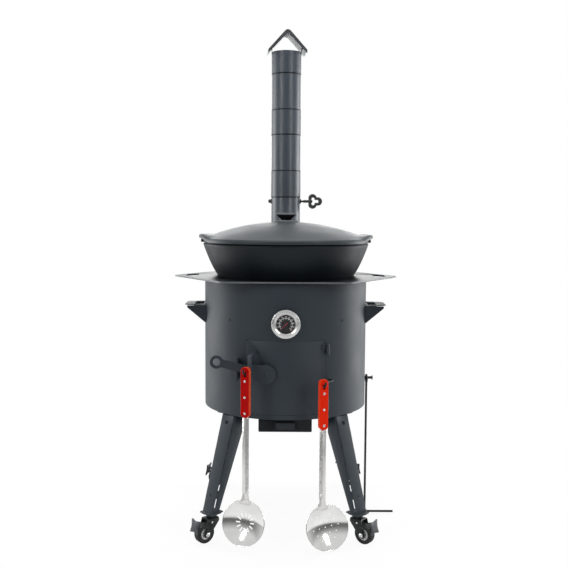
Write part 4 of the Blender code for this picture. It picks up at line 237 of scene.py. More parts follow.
def facing_along(obj, spot, axis):
    """Turns a piece so that its own z runs along an axis."""
    axis = Vector(axis).normalized()
    across = axis.orthogonal().normalized()
    return lay(obj, spot, across, axis.cross(across))


def as_mesh(work, name, sharp=35):
    """A mesh out of the work, smooth but for its sharp edges."""
    mesh = bpy.data.meshes.new(name)
    work.to_mesh(mesh)
    work.free()
    mesh.shade_smooth()
    mesh.set_sharp_from_angle(angle=radians(sharp))
    return mesh


def arc(centre, radius, start, end, steps):
    turns = [start + (end - start) * i / steps for i in range(steps + 1)]
    return [(centre[0] + radius * cos(a), centre[1] + radius * sin(a)) for a in turns]


def circle(radius, sides, centre=(0, 0)):
    return arc(centre, radius, 0, 2 * pi, sides)[:-1]


def oblong(left, right, low, high):
    return [(left, low), (right, low), (right, high), (left, high)]


def rounded(corners, rounding, steps=6):
    """The closed outline through the corners, each rounded by its own radius."""
    points = []
    count = len(corners)
    radii = rounding if isinstance(rounding, (list, tuple)) else [rounding] * count
    for i, (corner, radius) in enumerate(zip(corners, radii)):
        here = Vector(corner)
        before = (Vector(corners[i - 1]) - here).normalized()
        after = (Vector(corners[(i + 1) % count]) - here).normalized()
        if radius == 0:
            points.append(tuple(here))
            continue
        half = before.angle(after) / 2
        middle = here + (before + after).normalized() * radius / sin(half)
        first = here + before * radius / tan(half) - middle
        last = here + after * radius / tan(half) - middle
        turn = first.angle_signed(last)
        for k in range(steps + 1):
            spoke = Vector(first)
            spoke.rotate(Matrix.Rotation(-turn * k / steps, 2))
            points.append(tuple(middle + spoke))
    return points


def flat_pattern(loops):
    """A sheet cut flat from its outline and holes, facing up."""
    work = bmesh.new()
    for loop in loops:
        ring = [work.verts.new((x, y, 0)) for x, y in loop]
        for a, b in zip(ring, ring[1:] + ring[:1]):
            work.edges.new((a, b))
    bmesh.ops.triangle_fill(work, edges=work.edges[:], use_beauty=True, use_dissolve=False)
    work.normal_update()
    down = [face for face in work.faces if face.normal.z < 0]
    bmesh.ops.reverse_faces(work, faces=down)
    return work


def cut_sheet(name, loops, *finishes):
    return stand(name, as_mesh(flat_pattern(loops), name), *finishes)


def thicken(obj, thickness, side=0.0, edge=SHEET_EDGE, inner=0):
    """Gives a sheet its thickness, to one side or both, and breaks its cut edges."""
    wall = obj.modifiers.new("sheet_thickness", "SOLIDIFY")
    wall.thickness = thickness
    wall.offset = side
    wall.material_offset = inner
    soften(obj, edge)
    return obj


def soften(obj, edge, segments=2, angle=50):
    step = obj.modifiers.new("broken_edges", "BEVEL")
    step.width = edge
    step.segments = segments
    step.limit_method = "ANGLE"
    step.angle_limit = radians(angle)
    step.harden_normals = True
    return obj


def rolled(name, loops, radius, first, *finishes):
    """A flat pattern of arc length and height, rolled to a radius in narrow strips."""
    work = flat_pattern(loops)
    width = max(v.co.x for v in work.verts) - first * radius
    for i in range(1, ceil(width / (radius * ROLL_STRIP))):
        cut_at = Vector(((first + i * ROLL_STRIP) * radius, 0, 0))
        everything = work.verts[:] + work.edges[:] + work.faces[:]
        bmesh.ops.bisect_plane(work, geom=everything, plane_co=cut_at, plane_no=(1, 0, 0))
    for vertex in work.verts:
        bearing = vertex.co.x / radius
        vertex.co = (radius * sin(bearing), -radius * cos(bearing), vertex.co.y)
    bmesh.ops.remove_doubles(work, verts=work.verts, dist=0.00002)
    return stand(name, as_mesh(work, name), *finishes)


def girth(x):
    """Arc length from the front to a point of the body that stands x off its middle."""
    return BODY_RADIUS * asin(x / BODY_RADIUS)


def door_outline(gap, round_by):
    half = girth(DOOR_HALF_WIDTH + gap)
    return rounded(oblong(-half, half, door_low.z - gap, door_high.z + gap), round_by)


def shell_pattern():
    sheet = oblong(SHELL_SEAM * BODY_RADIUS, (SHELL_SEAM + 2 * pi) * BODY_RADIUS, BODY_BOTTOM, BODY_TOP)
    flue_hole = circle(FLUE_HOLE_RADIUS, 48, (pi * BODY_RADIUS, BODY_TOP - BRANCH_DROP))
    return [sheet, door_outline(DOOR_OVERSIZE + DOOR_SEAM, DOOR_CORNER), flue_hole]


shell = rolled("shell_drum", shell_pattern(), BODY_RADIUS, SHELL_SEAM, BODY_COAT, SOOTED_STEEL)
thicken(shell, SHELL_WALL, -1.0, 0.0004, 1)
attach(shell, "stove")
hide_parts("fire_shell")

# Back seam of the shell: a bead of weld from top to bottom where the rolled sheet's edges meet, coated
# over with the body, and two blind plugs pressed into spare holes either side of the dial.
WELD_RADIUS = 0.0016
WELD_RIPPLE = 0.0035
PLUG_BEARINGS = (radians(-41), radians(41))
PLUG_ABOVE_BASE = 0.244
PLUG_RADIUS = 0.0042


def outward(bearing):
    """The level direction away from the stove's axis, measured from the front."""
    return Vector((sin(bearing), -cos(bearing), 0))


def sideways(bearing):
    return Vector((cos(bearing), sin(bearing), 0))


UP = Vector((0, 0, 1))


def tube(name, points, radius, coat, closed=False, swell=None):
    """A round bar or wire along a line of points, its thickness swelled where asked."""
    curve = bpy.data.curves.new(name, "CURVE")
    curve.dimensions = "3D"
    curve.bevel_depth = radius
    curve.bevel_resolution = 5
    curve.use_fill_caps = True
    spline = curve.splines.new("POLY")
    spline.points.add(len(points) - 1)
    for i, (point, at) in enumerate(zip(spline.points, points)):
        point.co = (*at, 1)
        point.radius = swell[i] if swell else 1
    spline.use_cyclic_u = closed
    spline.use_smooth = True
    return stand(name, curve, coat)


def turned(name, profile, sides, *finishes, sharp=35, ring=False):
    """A profile of radius and height pairs spun about the upright axis; a zero radius is a pole."""
    work = bmesh.new()
    rings = []
    for radius, height in profile:
        if radius < 0.00001:
            rings.append([work.verts.new((0, 0, height))] * sides)
        else:
            rings.append([work.verts.new((x, y, height)) for x, y in circle(radius, sides)])
    for low, high in zip(rings, rings[1:] + rings[:1] * ring):
        for i in range(sides):
            j = (i + 1) % sides
            corners = list(dict.fromkeys((low[i], low[j], high[j], high[i])))
            if len(corners) > 2:
                work.faces.new(corners)
    bmesh.ops.recalc_face_normals(work, faces=work.faces)
    return stand(name, as_mesh(work, name, sharp), *finishes)


bead_steps = int((BODY_TOP - BODY_BOTTOM) / WELD_RIPPLE)
bead = [outward(SHELL_SEAM) * (BODY_RADIUS - WELD_RADIUS * 0.3)
        + UP * (BODY_BOTTOM + (BODY_TOP - BODY_BOTTOM) * i / bead_steps) for i in range(bead_steps + 1)]
weld = tube("shell_seam_weld", bead, WELD_RADIUS, BODY_COAT,
            swell=[1 + 0.12 * (i % 2) for i in range(len(bead))])
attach(weld, "stove")

for label, bearing in zip(("left", "right"), PLUG_BEARINGS):
    dome = [(0, 0.0011), (PLUG_RADIUS * 0.45, 0.0010), (PLUG_RADIUS * 0.8, 0.0005),
            (PLUG_RADIUS * 0.86, 0.0001)]
    dome += [(PLUG_RADIUS * 0.93, 0.0009), (PLUG_RADIUS, 0.0006), (PLUG_RADIUS, -0.002)]
    plug = turned(label + "_shell_plug", dome, 32, BODY_COAT)
    lay(plug, outward(bearing) * BODY_RADIUS + UP * (BODY_BOTTOM + PLUG_ABOVE_BASE), sideways(bearing), UP)
    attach(plug, "stove")

# Top plate: a laser-cut hexagon of thick sheet with two pointed ears, each with a grip hole. It is
# welded on the shell over a black band, which is painted shadow under the plate's edge. Round the bowl's
# opening the plate is painted dark as shade and reflection of the cauldron above, with some soot.
plate_low, plate_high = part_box("top_plate")
PLATE_TOP = plate_high.z
PLATE_THICKNESS = plate_high.z - plate_low.z
PLATE_HALF_WIDTH = (plate_high.x - plate_low.x) / 2
PLATE_HALF_DEPTH = (plate_high.y - plate_low.y) / 2
PLATE_EDGE_HALF_LENGTH = 0.159
PLATE_TIP_ROUNDING = 0.010
PLATE_CORNER_ROUNDING = 0.018
GRIP_HOLE_INSET = 0.031
GRIP_HOLE_WIDTH = 0.032
GRIP_HOLE_HALF_LENGTH = 0.046
GRIP_HOLE_TIP_HALF_LENGTH = 0.026
GRIP_HOLE_ROUNDING = 0.008
BOWL_OPENING_RADIUS = 0.1835
PLATE_EDGE = 0.0011
# Painted shade: the near black round the bowl's opening and in the band under the plate's edge.
PLATE_SHADE_BLACK = (0.003, 0.004, 0.005, 1)
PLATE_SHADE_TO = 0.215
PLATE_CLEAR_FROM = 0.30
SHADOW_BAND_TALL = 0.0045

plate_tip = PLATE_HALF_WIDTH + 0.0001
edge_x, edge_y = PLATE_EDGE_HALF_LENGTH, PLATE_HALF_DEPTH


def together(name, pieces):
    """One object out of several that are fixed to each other, each keeping its finish."""
    bpy.context.view_layer.update()
    graph = bpy.context.evaluated_depsgraph_get()
    work = bmesh.new()
    finishes = []
    for piece in pieces:
        seen = piece.evaluated_get(graph)
        mesh = bpy.data.meshes.new_from_object(seen, depsgraph=graph)
        mesh.transform(Matrix.Translation(-STOVE_AXIS) @ seen.matrix_world)
        finishes += [coat for coat in mesh.materials if coat not in finishes]
        already = len(work.faces)
        work.from_mesh(mesh)
        work.faces.ensure_lookup_table()
        for face in work.faces[already:]:
            face.material_index = finishes.index(mesh.materials[face.material_index])
        bpy.data.objects.remove(piece, do_unlink=True)
    return stand(name, as_mesh(work, name), *finishes)


tip = plate_tip + PLATE_TIP_ROUNDING * (1 / sin(atan2(edge_y, plate_tip - edge_x)) - 1)
hexagon = [(tip, 0), (edge_x, edge_y), (-edge_x, edge_y), (-tip, 0), (-edge_x, -edge_y), (edge_x, -edge_y)]
plate_loops = [rounded(hexagon, [PLATE_TIP_ROUNDING, PLATE_CORNER_ROUNDING, PLATE_CORNER_ROUNDING] * 2, 10)]
plate_loops.append(circle(BOWL_OPENING_RADIUS, 128))
hole_out = PLATE_HALF_WIDTH - GRIP_HOLE_INSET
hole_in = hole_out - GRIP_HOLE_WIDTH
for side in (-1, 1):
    grip_hole = [(side * hole_out, -GRIP_HOLE_TIP_HALF_LENGTH), (side * hole_out, GRIP_HOLE_TIP_HALF_LENGTH)]
    grip_hole += [(side * hole_in, GRIP_HOLE_HALF_LENGTH), (side * hole_in, -GRIP_HOLE_HALF_LENGTH)]
    plate_loops.append(rounded(grip_hole, GRIP_HOLE_ROUNDING, 8))


def plate_coat_painted_shade():
    """The drum's powder coat, painted black round the bowl as shade and reflection of the cauldron, with some
    soot.
    """
    made, tree, shader = finish("plate_powder_coat", Specular_IOR_Level=0.15)
    grain = placed(tree, GRAIN, Colour=POWDER_SLATE, Drift=0.2)
    flat = node(tree, "VectorMath", {0: own_place(tree), 1: (1, 1, 0)}, operation="MULTIPLY").outputs[0]
    away = node(tree, "VectorMath", {0: flat}, operation="LENGTH").outputs["Value"]
    # Near black inside this reach: painted shade and reflection of the cauldron above, with some soot.
    clear = spread(tree, away, PLATE_SHADE_TO, PLATE_CLEAR_FROM, 0.0, 1.0)
    tone = mixed(tree, clear, PLATE_SHADE_BLACK, grain.outputs["Colour"])
    feed(tree, shader, Base_Color=tone, Roughness=spread(tree, clear, 0.0, 1.0, 0.34, 0.40))
    bumped(tree, shader, grain.outputs["Height"], PEEL_DEPTH, PEEL_STRENGTH)
    return made


# The plate's cut rim is painted much lighter than its face: a painted highlight along the edge.
PLATE_RIM_HIGHLIGHT_COAT = powder_coat("plate_rim_painted_highlight", (0.10, 0.11, 0.12, 1), 0.46, 0.36)
# A black band under the plate's edge that stands for the shadow of its overhang: painted shadow.
PLATE_EDGE_SHADOW_COAT = powder_coat("black_plate_painted_shadow", PLATE_SHADE_BLACK, 0.42, 0.36, worn=(0.006, 0.007, 0.008, 1))
plate = cut_sheet("hexagon_plate", plate_loops, plate_coat_painted_shade(), PLATE_RIM_HIGHLIGHT_COAT)
plate.location = STOVE_AXIS + UP * (PLATE_TOP - PLATE_THICKNESS / 2)
thicken(plate, PLATE_THICKNESS, 0.0, PLATE_EDGE)
# The rim faces take the painted-highlight coat.
plate.modifiers[0].material_offset_rim = 1
# The painted shadow band round the drum, just under the plate.
shadow_band_low = PLATE_TOP - PLATE_THICKNESS - SHADOW_BAND_TALL
shadow_band_high = shadow_band_low + SHADOW_BAND_TALL - 0.0001
shadow_band_line = [(BODY_RADIUS - 0.0002, shadow_band_low), (BODY_RADIUS + 0.0006, shadow_band_low + 0.0004)]
shadow_band_line += [(BODY_RADIUS + 0.0009, shadow_band_high), (BODY_RADIUS - 0.0002, shadow_band_high)]
shadow_band = turned("shadow_band", shadow_band_line, 160, PLATE_EDGE_SHADOW_COAT, ring=True)
plate = together("hexagon_plate", [plate, shadow_band])
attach(plate, "stove")
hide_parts("top_plate")

# Base plate with the ash opening, hidden in the drum; it keeps its own solid and takes the soot of
# the fire, as does the grate on its four feet; the rails of the ash drawer below take the body's coat.
IRON_WORN = (0.16, 0.165, 0.17, 1)


def cast_group():
    """Sand-cast skin: a coarse grain with shallow pits, and patches where the oil has dried."""
    sockets = [("Colour", "colour"), ("Patch Colour", "colour"), ("Grain Scale", "value", 420)]
    group, given, out = group_nodes("cast_skin", sockets, SKIN)
    at = own_place(group)
    grains = noise(group, at, given.outputs["Grain Scale"], 5.0)
    pits = node(group, "TexVoronoi", {"Vector": at, "Scale": 160.0}).outputs["Distance"]
    patch = noise(group, at, 15.0, 5.0, 0.65)
    share = spread(group, patch, 0.42, 0.78, 0.0, 0.5)
    tone = mixed(group, share, given.outputs["Colour"], given.outputs["Patch Colour"])
    shade = toned(group, tone, spread(group, grains, 0.35, 0.7, 0.85, 1.15))
    height = reckoned(group, "MULTIPLY", grains, spread(group, pits, 0.0, 0.35, 0.6, 1.0))
    feed(group, out, Colour=shade, Roughness=spread(group, patch, 0.3, 0.7, 0.0, 1.0), Height=height)
    return group


CAST_SKIN = cast_group()


def cast_iron(name, colour, patch, gloss, matt, depth=0.0006, shine=0.30):
    made, tree, shader = finish(name, Specular_IOR_Level=shine)
    skin = placed(tree, CAST_SKIN, Colour=colour, Patch_Colour=patch)
    tone = mixed(tree, worn_share(tree, 0.0012, 0.35), skin.outputs["Colour"], IRON_WORN)
    skinned(tree, shader, skin, tone, gloss, matt, depth, 0.45)
    return made


def dress(name, coat, edge=None):
    """Gives a CAD node that keeps its own shape its finish, with its edges broken if asked."""
    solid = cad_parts[name]
    solid.data.materials.clear()
    solid.data.materials.append(coat)
    if edge:
        soften(solid, edge)


GRATE_IRON = soot_coat("sooted_grate_iron", (0.018, 0.017, 0.017, 1), (0.16, 0.15, 0.14, 1))
dress("base_plate", SOOTED_STEEL)
dress("grate", GRATE_IRON, 0.0012)
dress("left_drawer_rail", BODY_COAT, 0.0003)
dress("right_drawer_rail", BODY_COAT, 0.0003)

# Legs: four channels folded from sheet along rows of stitch slots, splayed outwards. Each is welded
# under a mount plate with two bolts through the base, and stands on a square foot plate.
LEG_LEAN = radians(17.2)
LEG_AZIMUTH = radians(41.7)
LEG_TOP_WIDTH = 0.046
LEG_FOOT_WIDTH = 0.040
LEG_SHEET = 0.003
LEG_FOLD = 0.0042
LEG_FLANGE_TOP = 0.0282
LEG_FLANGE_FOOT = 0.0198
LEG_KNEE_DROP = 0.045
LEG_ROWS = 16
LEG_SLOTS = 5
LEG_SLOT_LENGTH = 0.029
LEG_SLOT_HALF_WIDTH = 0.0010
LEG_SLOT_PITCH = 0.047
LEG_FIRST_SLOT_DROP = 0.024
LEG_TOP_HOLE = (0.017, 0.0055)
LEG_LOW_HOLE = (0.043, 0.004)
FOOT_PLATE_SIZE = 0.042
FOOT_PLATE_THICKNESS = 0.003
FOOT_PLATE_INSET = 0.0135
MOUNT_PLATE_THICKNESS = 0.0035
MOUNT_PLATE_HALF_WIDTH = 0.050
MOUNT_PLATE_DEPTH = 0.038
MOUNT_BOLT_SPREAD = 0.036
CORNERS = {"front_left": (-1, 1), "front_right": (1, 1), "rear_left": (-1, -1), "rear_right": (1, -1)}
CASTER_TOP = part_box("caster_plate_front_left")[1].z
CLEARANCE = 0.0003
LEG_TOP = BODY_BOTTOM - CLEARANCE - MOUNT_PLATE_THICKNESS / 2
LEG_FOOT = CASTER_TOP + CLEARANCE
FOOT_RADIUS = BODY_RADIUS + (LEG_TOP - LEG_FOOT - FOOT_PLATE_THICKNESS) * tan(LEG_LEAN)


def corner_bearing(corner):
    side, fore = CORNERS[corner]
    return side * (LEG_AZIMUTH if fore == 1 else pi - LEG_AZIMUTH)


def caster_centre(corner):
    reach = FOOT_RADIUS - MOUNT_PLATE_THICKNESS / 2 * tan(LEG_LEAN) - FOOT_PLATE_INSET
    return outward(corner_bearing(corner)) * reach


def prism(loop, thickness):
    """A solid slab with one outline, centred on its own z = 0."""
    work = bmesh.new()
    base = work.faces.new([work.verts.new((x, y, -thickness / 2)) for x, y in loop])
    grown = bmesh.ops.extrude_face_region(work, geom=[base])["geom"]
    corners = [part for part in grown if isinstance(part, bmesh.types.BMVert)]
    bmesh.ops.translate(work, vec=(0, 0, thickness), verts=corners)
    bmesh.ops.recalc_face_normals(work, faces=work.faces)
    return work


def slab(name, loop, thickness, *finishes):
    return stand(name, as_mesh(prism(loop, thickness), name), *finishes)


def capsule(half_length, half_width, steps=5):
    run = half_length - half_width
    return (arc((run, 0), half_width, -pi / 2, pi / 2, steps)
            + arc((-run, 0), half_width, pi / 2, 1.5 * pi, steps))


def settled(obj):
    """Fixes an object's modifiers into its mesh."""
    graph = bpy.context.evaluated_depsgraph_get()
    mesh = bpy.data.meshes.new_from_object(obj.evaluated_get(graph), depsgraph=graph)
    obj.modifiers.clear()
    obj.data = mesh
    return obj


def carved(obj, cutters, operation="DIFFERENCE"):
    """Cuts holes and slots, or joins pieces, and leaves one settled mesh with no cutters behind."""
    for cutter in cutters:
        step = obj.modifiers.new("cut", "BOOLEAN")
        step.operation = operation
        step.solver = "EXACT"
        step.object = cutter
    settled(obj)
    for cutter in cutters:
        bpy.data.objects.remove(cutter, do_unlink=True)
    obj.data.shade_smooth()
    obj.data.set_sharp_from_angle(angle=radians(35))
    return obj


def leg_half(drop):
    """Half the leg's width at a drop below its top."""
    share = drop / (LEG_TOP - LEG_FOOT)
    return (LEG_TOP_WIDTH + (LEG_FOOT_WIDTH - LEG_TOP_WIDTH) * share) / 2


def leg_face(drop):
    return BODY_RADIUS + drop * tan(LEG_LEAN)


def leg_channel(corner):
    out = outward(corner_bearing(corner))
    across = out.cross(UP)
    work = bmesh.new()
    rows = []
    knee = LEG_TOP - LEG_KNEE_DROP
    levels = [LEG_TOP, LEG_TOP - LEG_KNEE_DROP / 2, knee]
    levels += [knee + (LEG_FOOT - knee) * (i + 1) / LEG_ROWS for i in range(LEG_ROWS)]
    for z in levels:
        half, face = leg_half(LEG_TOP - z), leg_face(LEG_TOP - z)
        inner = BODY_RADIUS - LEG_FLANGE_TOP
        if z < knee:
            foot_inner = leg_face(LEG_TOP - LEG_FOOT) - LEG_FLANGE_FOOT
            inner += (foot_inner - inner) * (knee - z) / (knee - LEG_FOOT)
        turn = arc((half - LEG_FOLD, face - LEG_FOLD), LEG_FOLD, 0, pi / 2, 4)
        profile = [(half, inner), (half, (inner + face) / 2)] + turn
        profile += [(-u, v) for u, v in reversed(profile)]
        rows.append([work.verts.new(across * u + out * v + UP * z) for u, v in profile])
    for upper, lower in zip(rows, rows[1:]):
        for i in range(len(upper) - 1):
            work.faces.new((upper[i], upper[i + 1], lower[i + 1], lower[i]))
    bmesh.ops.recalc_face_normals(work, faces=work.faces)
    middle = min(work.faces, key=lambda f: (f.calc_center_median() - out * 10).length)
    if middle.normal.dot(out) < 0:
        bmesh.ops.reverse_faces(work, faces=work.faces)
    channel = stand("channel", as_mesh(work, "channel", 60), BODY_COAT)
    thicken(channel, LEG_SHEET, -1.0, 0.0006)
    settled(channel)
    down = out * sin(LEG_LEAN) - UP * cos(LEG_LEAN)
    facing = out * cos(LEG_LEAN) + UP * sin(LEG_LEAN)
    cutters = []
    for i in range(LEG_SLOTS):
        drop = LEG_FIRST_SLOT_DROP + i * LEG_SLOT_PITCH
        for side in (-1, 1):
            spot = out * leg_face(drop) + UP * (LEG_TOP - drop) + across * side * leg_half(drop)
            slot = slab("slot", capsule(LEG_SLOT_LENGTH / 2, LEG_SLOT_HALF_WIDTH), 0.016, BODY_COAT)
            cutters.append(lay(slot, spot, down, across - facing * side))
    holes = [(LEG_TOP - LEG_TOP_HOLE[0], LEG_TOP_HOLE[1]), (LEG_FOOT + LEG_LOW_HOLE[0], LEG_LOW_HOLE[1])]
    for z, radius in holes:
        hole = slab("hole", circle(radius, 32), 0.012, BODY_COAT)
        cutters.append(lay(hole, out * leg_face(LEG_TOP - z) + UP * z, across, facing.cross(across)))
    return carved(channel, [together("slots", cutters)])


def hex_bolt(name, centre, axis, across_flats, height, coat):
    """A hexagon head with its chamfered top, facing along the axis."""
    head = slab(name, circle(across_flats / 2 / cos(pi / 6), 6), height, coat)
    return facing_along(soften(head, height * 0.14), Vector(centre) + Vector(axis) * height / 2, axis)


for corner in CORNERS:
    bearing = corner_bearing(corner)
    out = outward(bearing)
    channel = leg_channel(corner)
    half = FOOT_PLATE_SIZE / 2
    square = rounded(oblong(-half, half, -half, half), 0.0015, 3)
    foot = slab("foot", square, FOOT_PLATE_THICKNESS, BODY_COAT)
    lay(foot, caster_centre(corner) + UP * (LEG_FOOT + FOOT_PLATE_THICKNESS / 2), out, UP.cross(out))
    soften(foot, 0.0005)
    depth, wide = MOUNT_PLATE_DEPTH / 2, MOUNT_PLATE_HALF_WIDTH
    corners = rounded(oblong(-depth, depth, -wide, wide), 0.002, 3)
    mount = slab("mount", corners, MOUNT_PLATE_THICKNESS, BODY_COAT)
    reach = sqrt((BODY_RADIUS - SHELL_WALL) ** 2 - wide ** 2) - depth
    lay(mount, out * reach + UP * LEG_TOP, out, UP.cross(out))
    soften(mount, 0.0005)
    bolts = []
    for side in (-1, 1):
        spot = out * reach + sideways(bearing) * side * MOUNT_BOLT_SPREAD
        low = LEG_TOP - MOUNT_PLATE_THICKNESS / 2
        bolts.append(hex_bolt("bolt", spot + UP * low, -UP, 0.010, 0.004, BODY_COAT))
        bolts.append(hex_bolt("nut", spot + UP * (BODY_BOTTOM + 0.003), UP, 0.010, 0.004, BODY_COAT))
    leg = together("folded_leg_" + corner, [channel, foot, mount] + bolts)
    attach(leg, "stove")
    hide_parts("leg_" + corner)

# Casters: a plate bolted under each foot with its ball race, a fork pressed from sheet, a wheel of
# pale plastic with a black rubber tyre, and a moulded brake pedal. They stand turned as in use.
CASTER_TRAIL = 0.022
CASTER_PLATE_SIZE = 0.036
CASTER_PLATE_THICKNESS = 0.0028
RACE_HEIGHT = 0.0072
RACE_RADIUS = 0.0135
WHEEL_RADIUS = 0.025
TYRE_HALF_WIDTH = 0.0095
HUB_RADIUS = 0.0145
HUB_HALF_WIDTH = 0.0085
FORK_SHEET = 0.002
FORK_HALF_WIDTH = 0.0145
FORK_FOOT_RADIUS = 0.009
PEDAL_HALF_SIZE = 0.0175
PEDAL_NOTCH = 0.004
PEDAL_THICKNESS = 0.003
PEDAL_REACH = 0.0275
PEDAL_RISE = 0.0225
PEDAL_TILT = radians(10)
PEDAL_EYE_RADIUS = 0.0075
TRAIL_BEARINGS = {"front_left": 219, "front_right": 321, "rear_left": 163, "rear_right": 40}


def moulded(name, colour, rough, grain=0.0002, shine=0.5):
    """Moulded plastic or rubber: a fine eroded skin and slight clouds in its tone."""
    made, tree, shader = finish(name, Specular_IOR_Level=shine)
    skin = placed(tree, GRAIN, Colour=colour, Drift=0.08, Peel_Scale=1500.0)
    skinned(tree, shader, skin, skin.outputs["Colour"], rough - 0.06, rough + 0.06, grain, 0.3)
    return made


def metal_group():
    """Bare metal: long fine scratches across the part, and a faint cloud of handling marks."""
    sockets = [("Colour", "colour"), ("Along", "normal", (1.0, 1.0, 1.0))]
    group, given, out = group_nodes("worked_metal", sockets, SKIN)
    at = own_place(group)
    drawn = node(group, "VectorMath", {0: at, 1: given.outputs["Along"]}, operation="MULTIPLY").outputs[0]
    lines = noise(group, drawn, 700.0, 3.0)
    cloud = noise(group, at, 38.0, 4.0)
    shade = toned(group, given.outputs["Colour"], spread(group, cloud, 0.3, 0.7, 0.94, 1.04))
    rough = spread(group, reckoned(group, "ADD", lines, cloud), 0.7, 1.3, 0.0, 1.0)
    feed(group, out, Colour=shade, Roughness=rough, Height=lines)
    return group


WORKED_METAL = metal_group()


def bare_metal(name, colour, polished, dull, along=(1.0, 1.0, 1.0), depth=0.00004):
    made, tree, shader = finish(name, Metallic=1.0)
    skin = placed(tree, WORKED_METAL, Colour=colour, Along=along)
    skinned(tree, shader, skin, skin.outputs["Colour"], polished, dull, depth, 0.3)
    return made


CASTER_BLACK = powder_coat("caster_black_paint", (0.010, 0.012, 0.013, 1), 0.46, 0.32)
BRIGHT_ZINC = bare_metal("bright_zinc", (0.74, 0.75, 0.76, 1), 0.20, 0.36)
PALE_HUB = moulded("pale_wheel_hub", (0.56, 0.565, 0.57, 1), 0.42)
TYRE_RUBBER = moulded("black_tyre_rubber", (0.010, 0.010, 0.010, 1), 0.72, 0.0004)
PEDAL_PLASTIC = moulded("slate_brake_pedal", (0.040, 0.042, 0.052, 1), 0.50)


def race(name):
    r, h = RACE_RADIUS, RACE_HEIGHT
    upper = [(0, h), (r, h), (r, h * 0.72), (r * 0.9, h * 0.6)]
    lower = [(r * 0.9, h * 0.46), (r * 1.0, h * 0.36), (r * 0.97, h * 0.12), (r * 0.75, 0), (0, 0)]
    return turned(name, upper + lower, 40, CASTER_BLACK, sharp=50)


def domed_pin(name, spot, axis, radius, height, coat, sides=24):
    """A riveted or bolted head: a flat rim and a low dome."""
    dome = [(0, height), (radius * 0.5, height * 0.93), (radius * 0.85, height * 0.6),
            (radius, height * 0.25)]
    head = turned(name, dome + [(radius, 0), (0, 0)], sides, coat, sharp=60)
    return facing_along(head, spot, axis)


def pressed_fork(centre, trail, axle, top):
    """A strip bent into an arch over the wheel, its sides trimmed to a rounded foot."""
    half, fold = FORK_HALF_WIDTH, 0.0035
    arch = [(-half, -0.060), (-half, -0.02)] + arc((-half + fold, -fold), fold, pi, pi / 2, 5)
    arch += arc((half - fold, -fold), fold, pi / 2, 0, 5) + [(half, -0.02), (half, -0.060)]
    inner = [(w * (half - FORK_SHEET) / half, h - FORK_SHEET * (h > -0.05)) for w, h in reversed(arch)]
    bent = slab("bent", arch + inner, 0.075, CASTER_BLACK)
    lay(bent, centre + UP * top, axle, UP)
    back, front = CASTER_TRAIL - 0.004, -0.0135
    foot = (CASTER_TRAIL, WHEEL_RADIUS - top)
    heel = arc(foot, FORK_FOOT_RADIUS, radians(212), radians(385), 14)
    side = slab("side", [(back, 0.004), (front, 0.004), (front, -0.0085)] + heel, 0.05, CASTER_BLACK)
    lay(side, centre + UP * top, trail, UP)
    return soften(carved(bent, [side], "INTERSECT"), 0.0004)


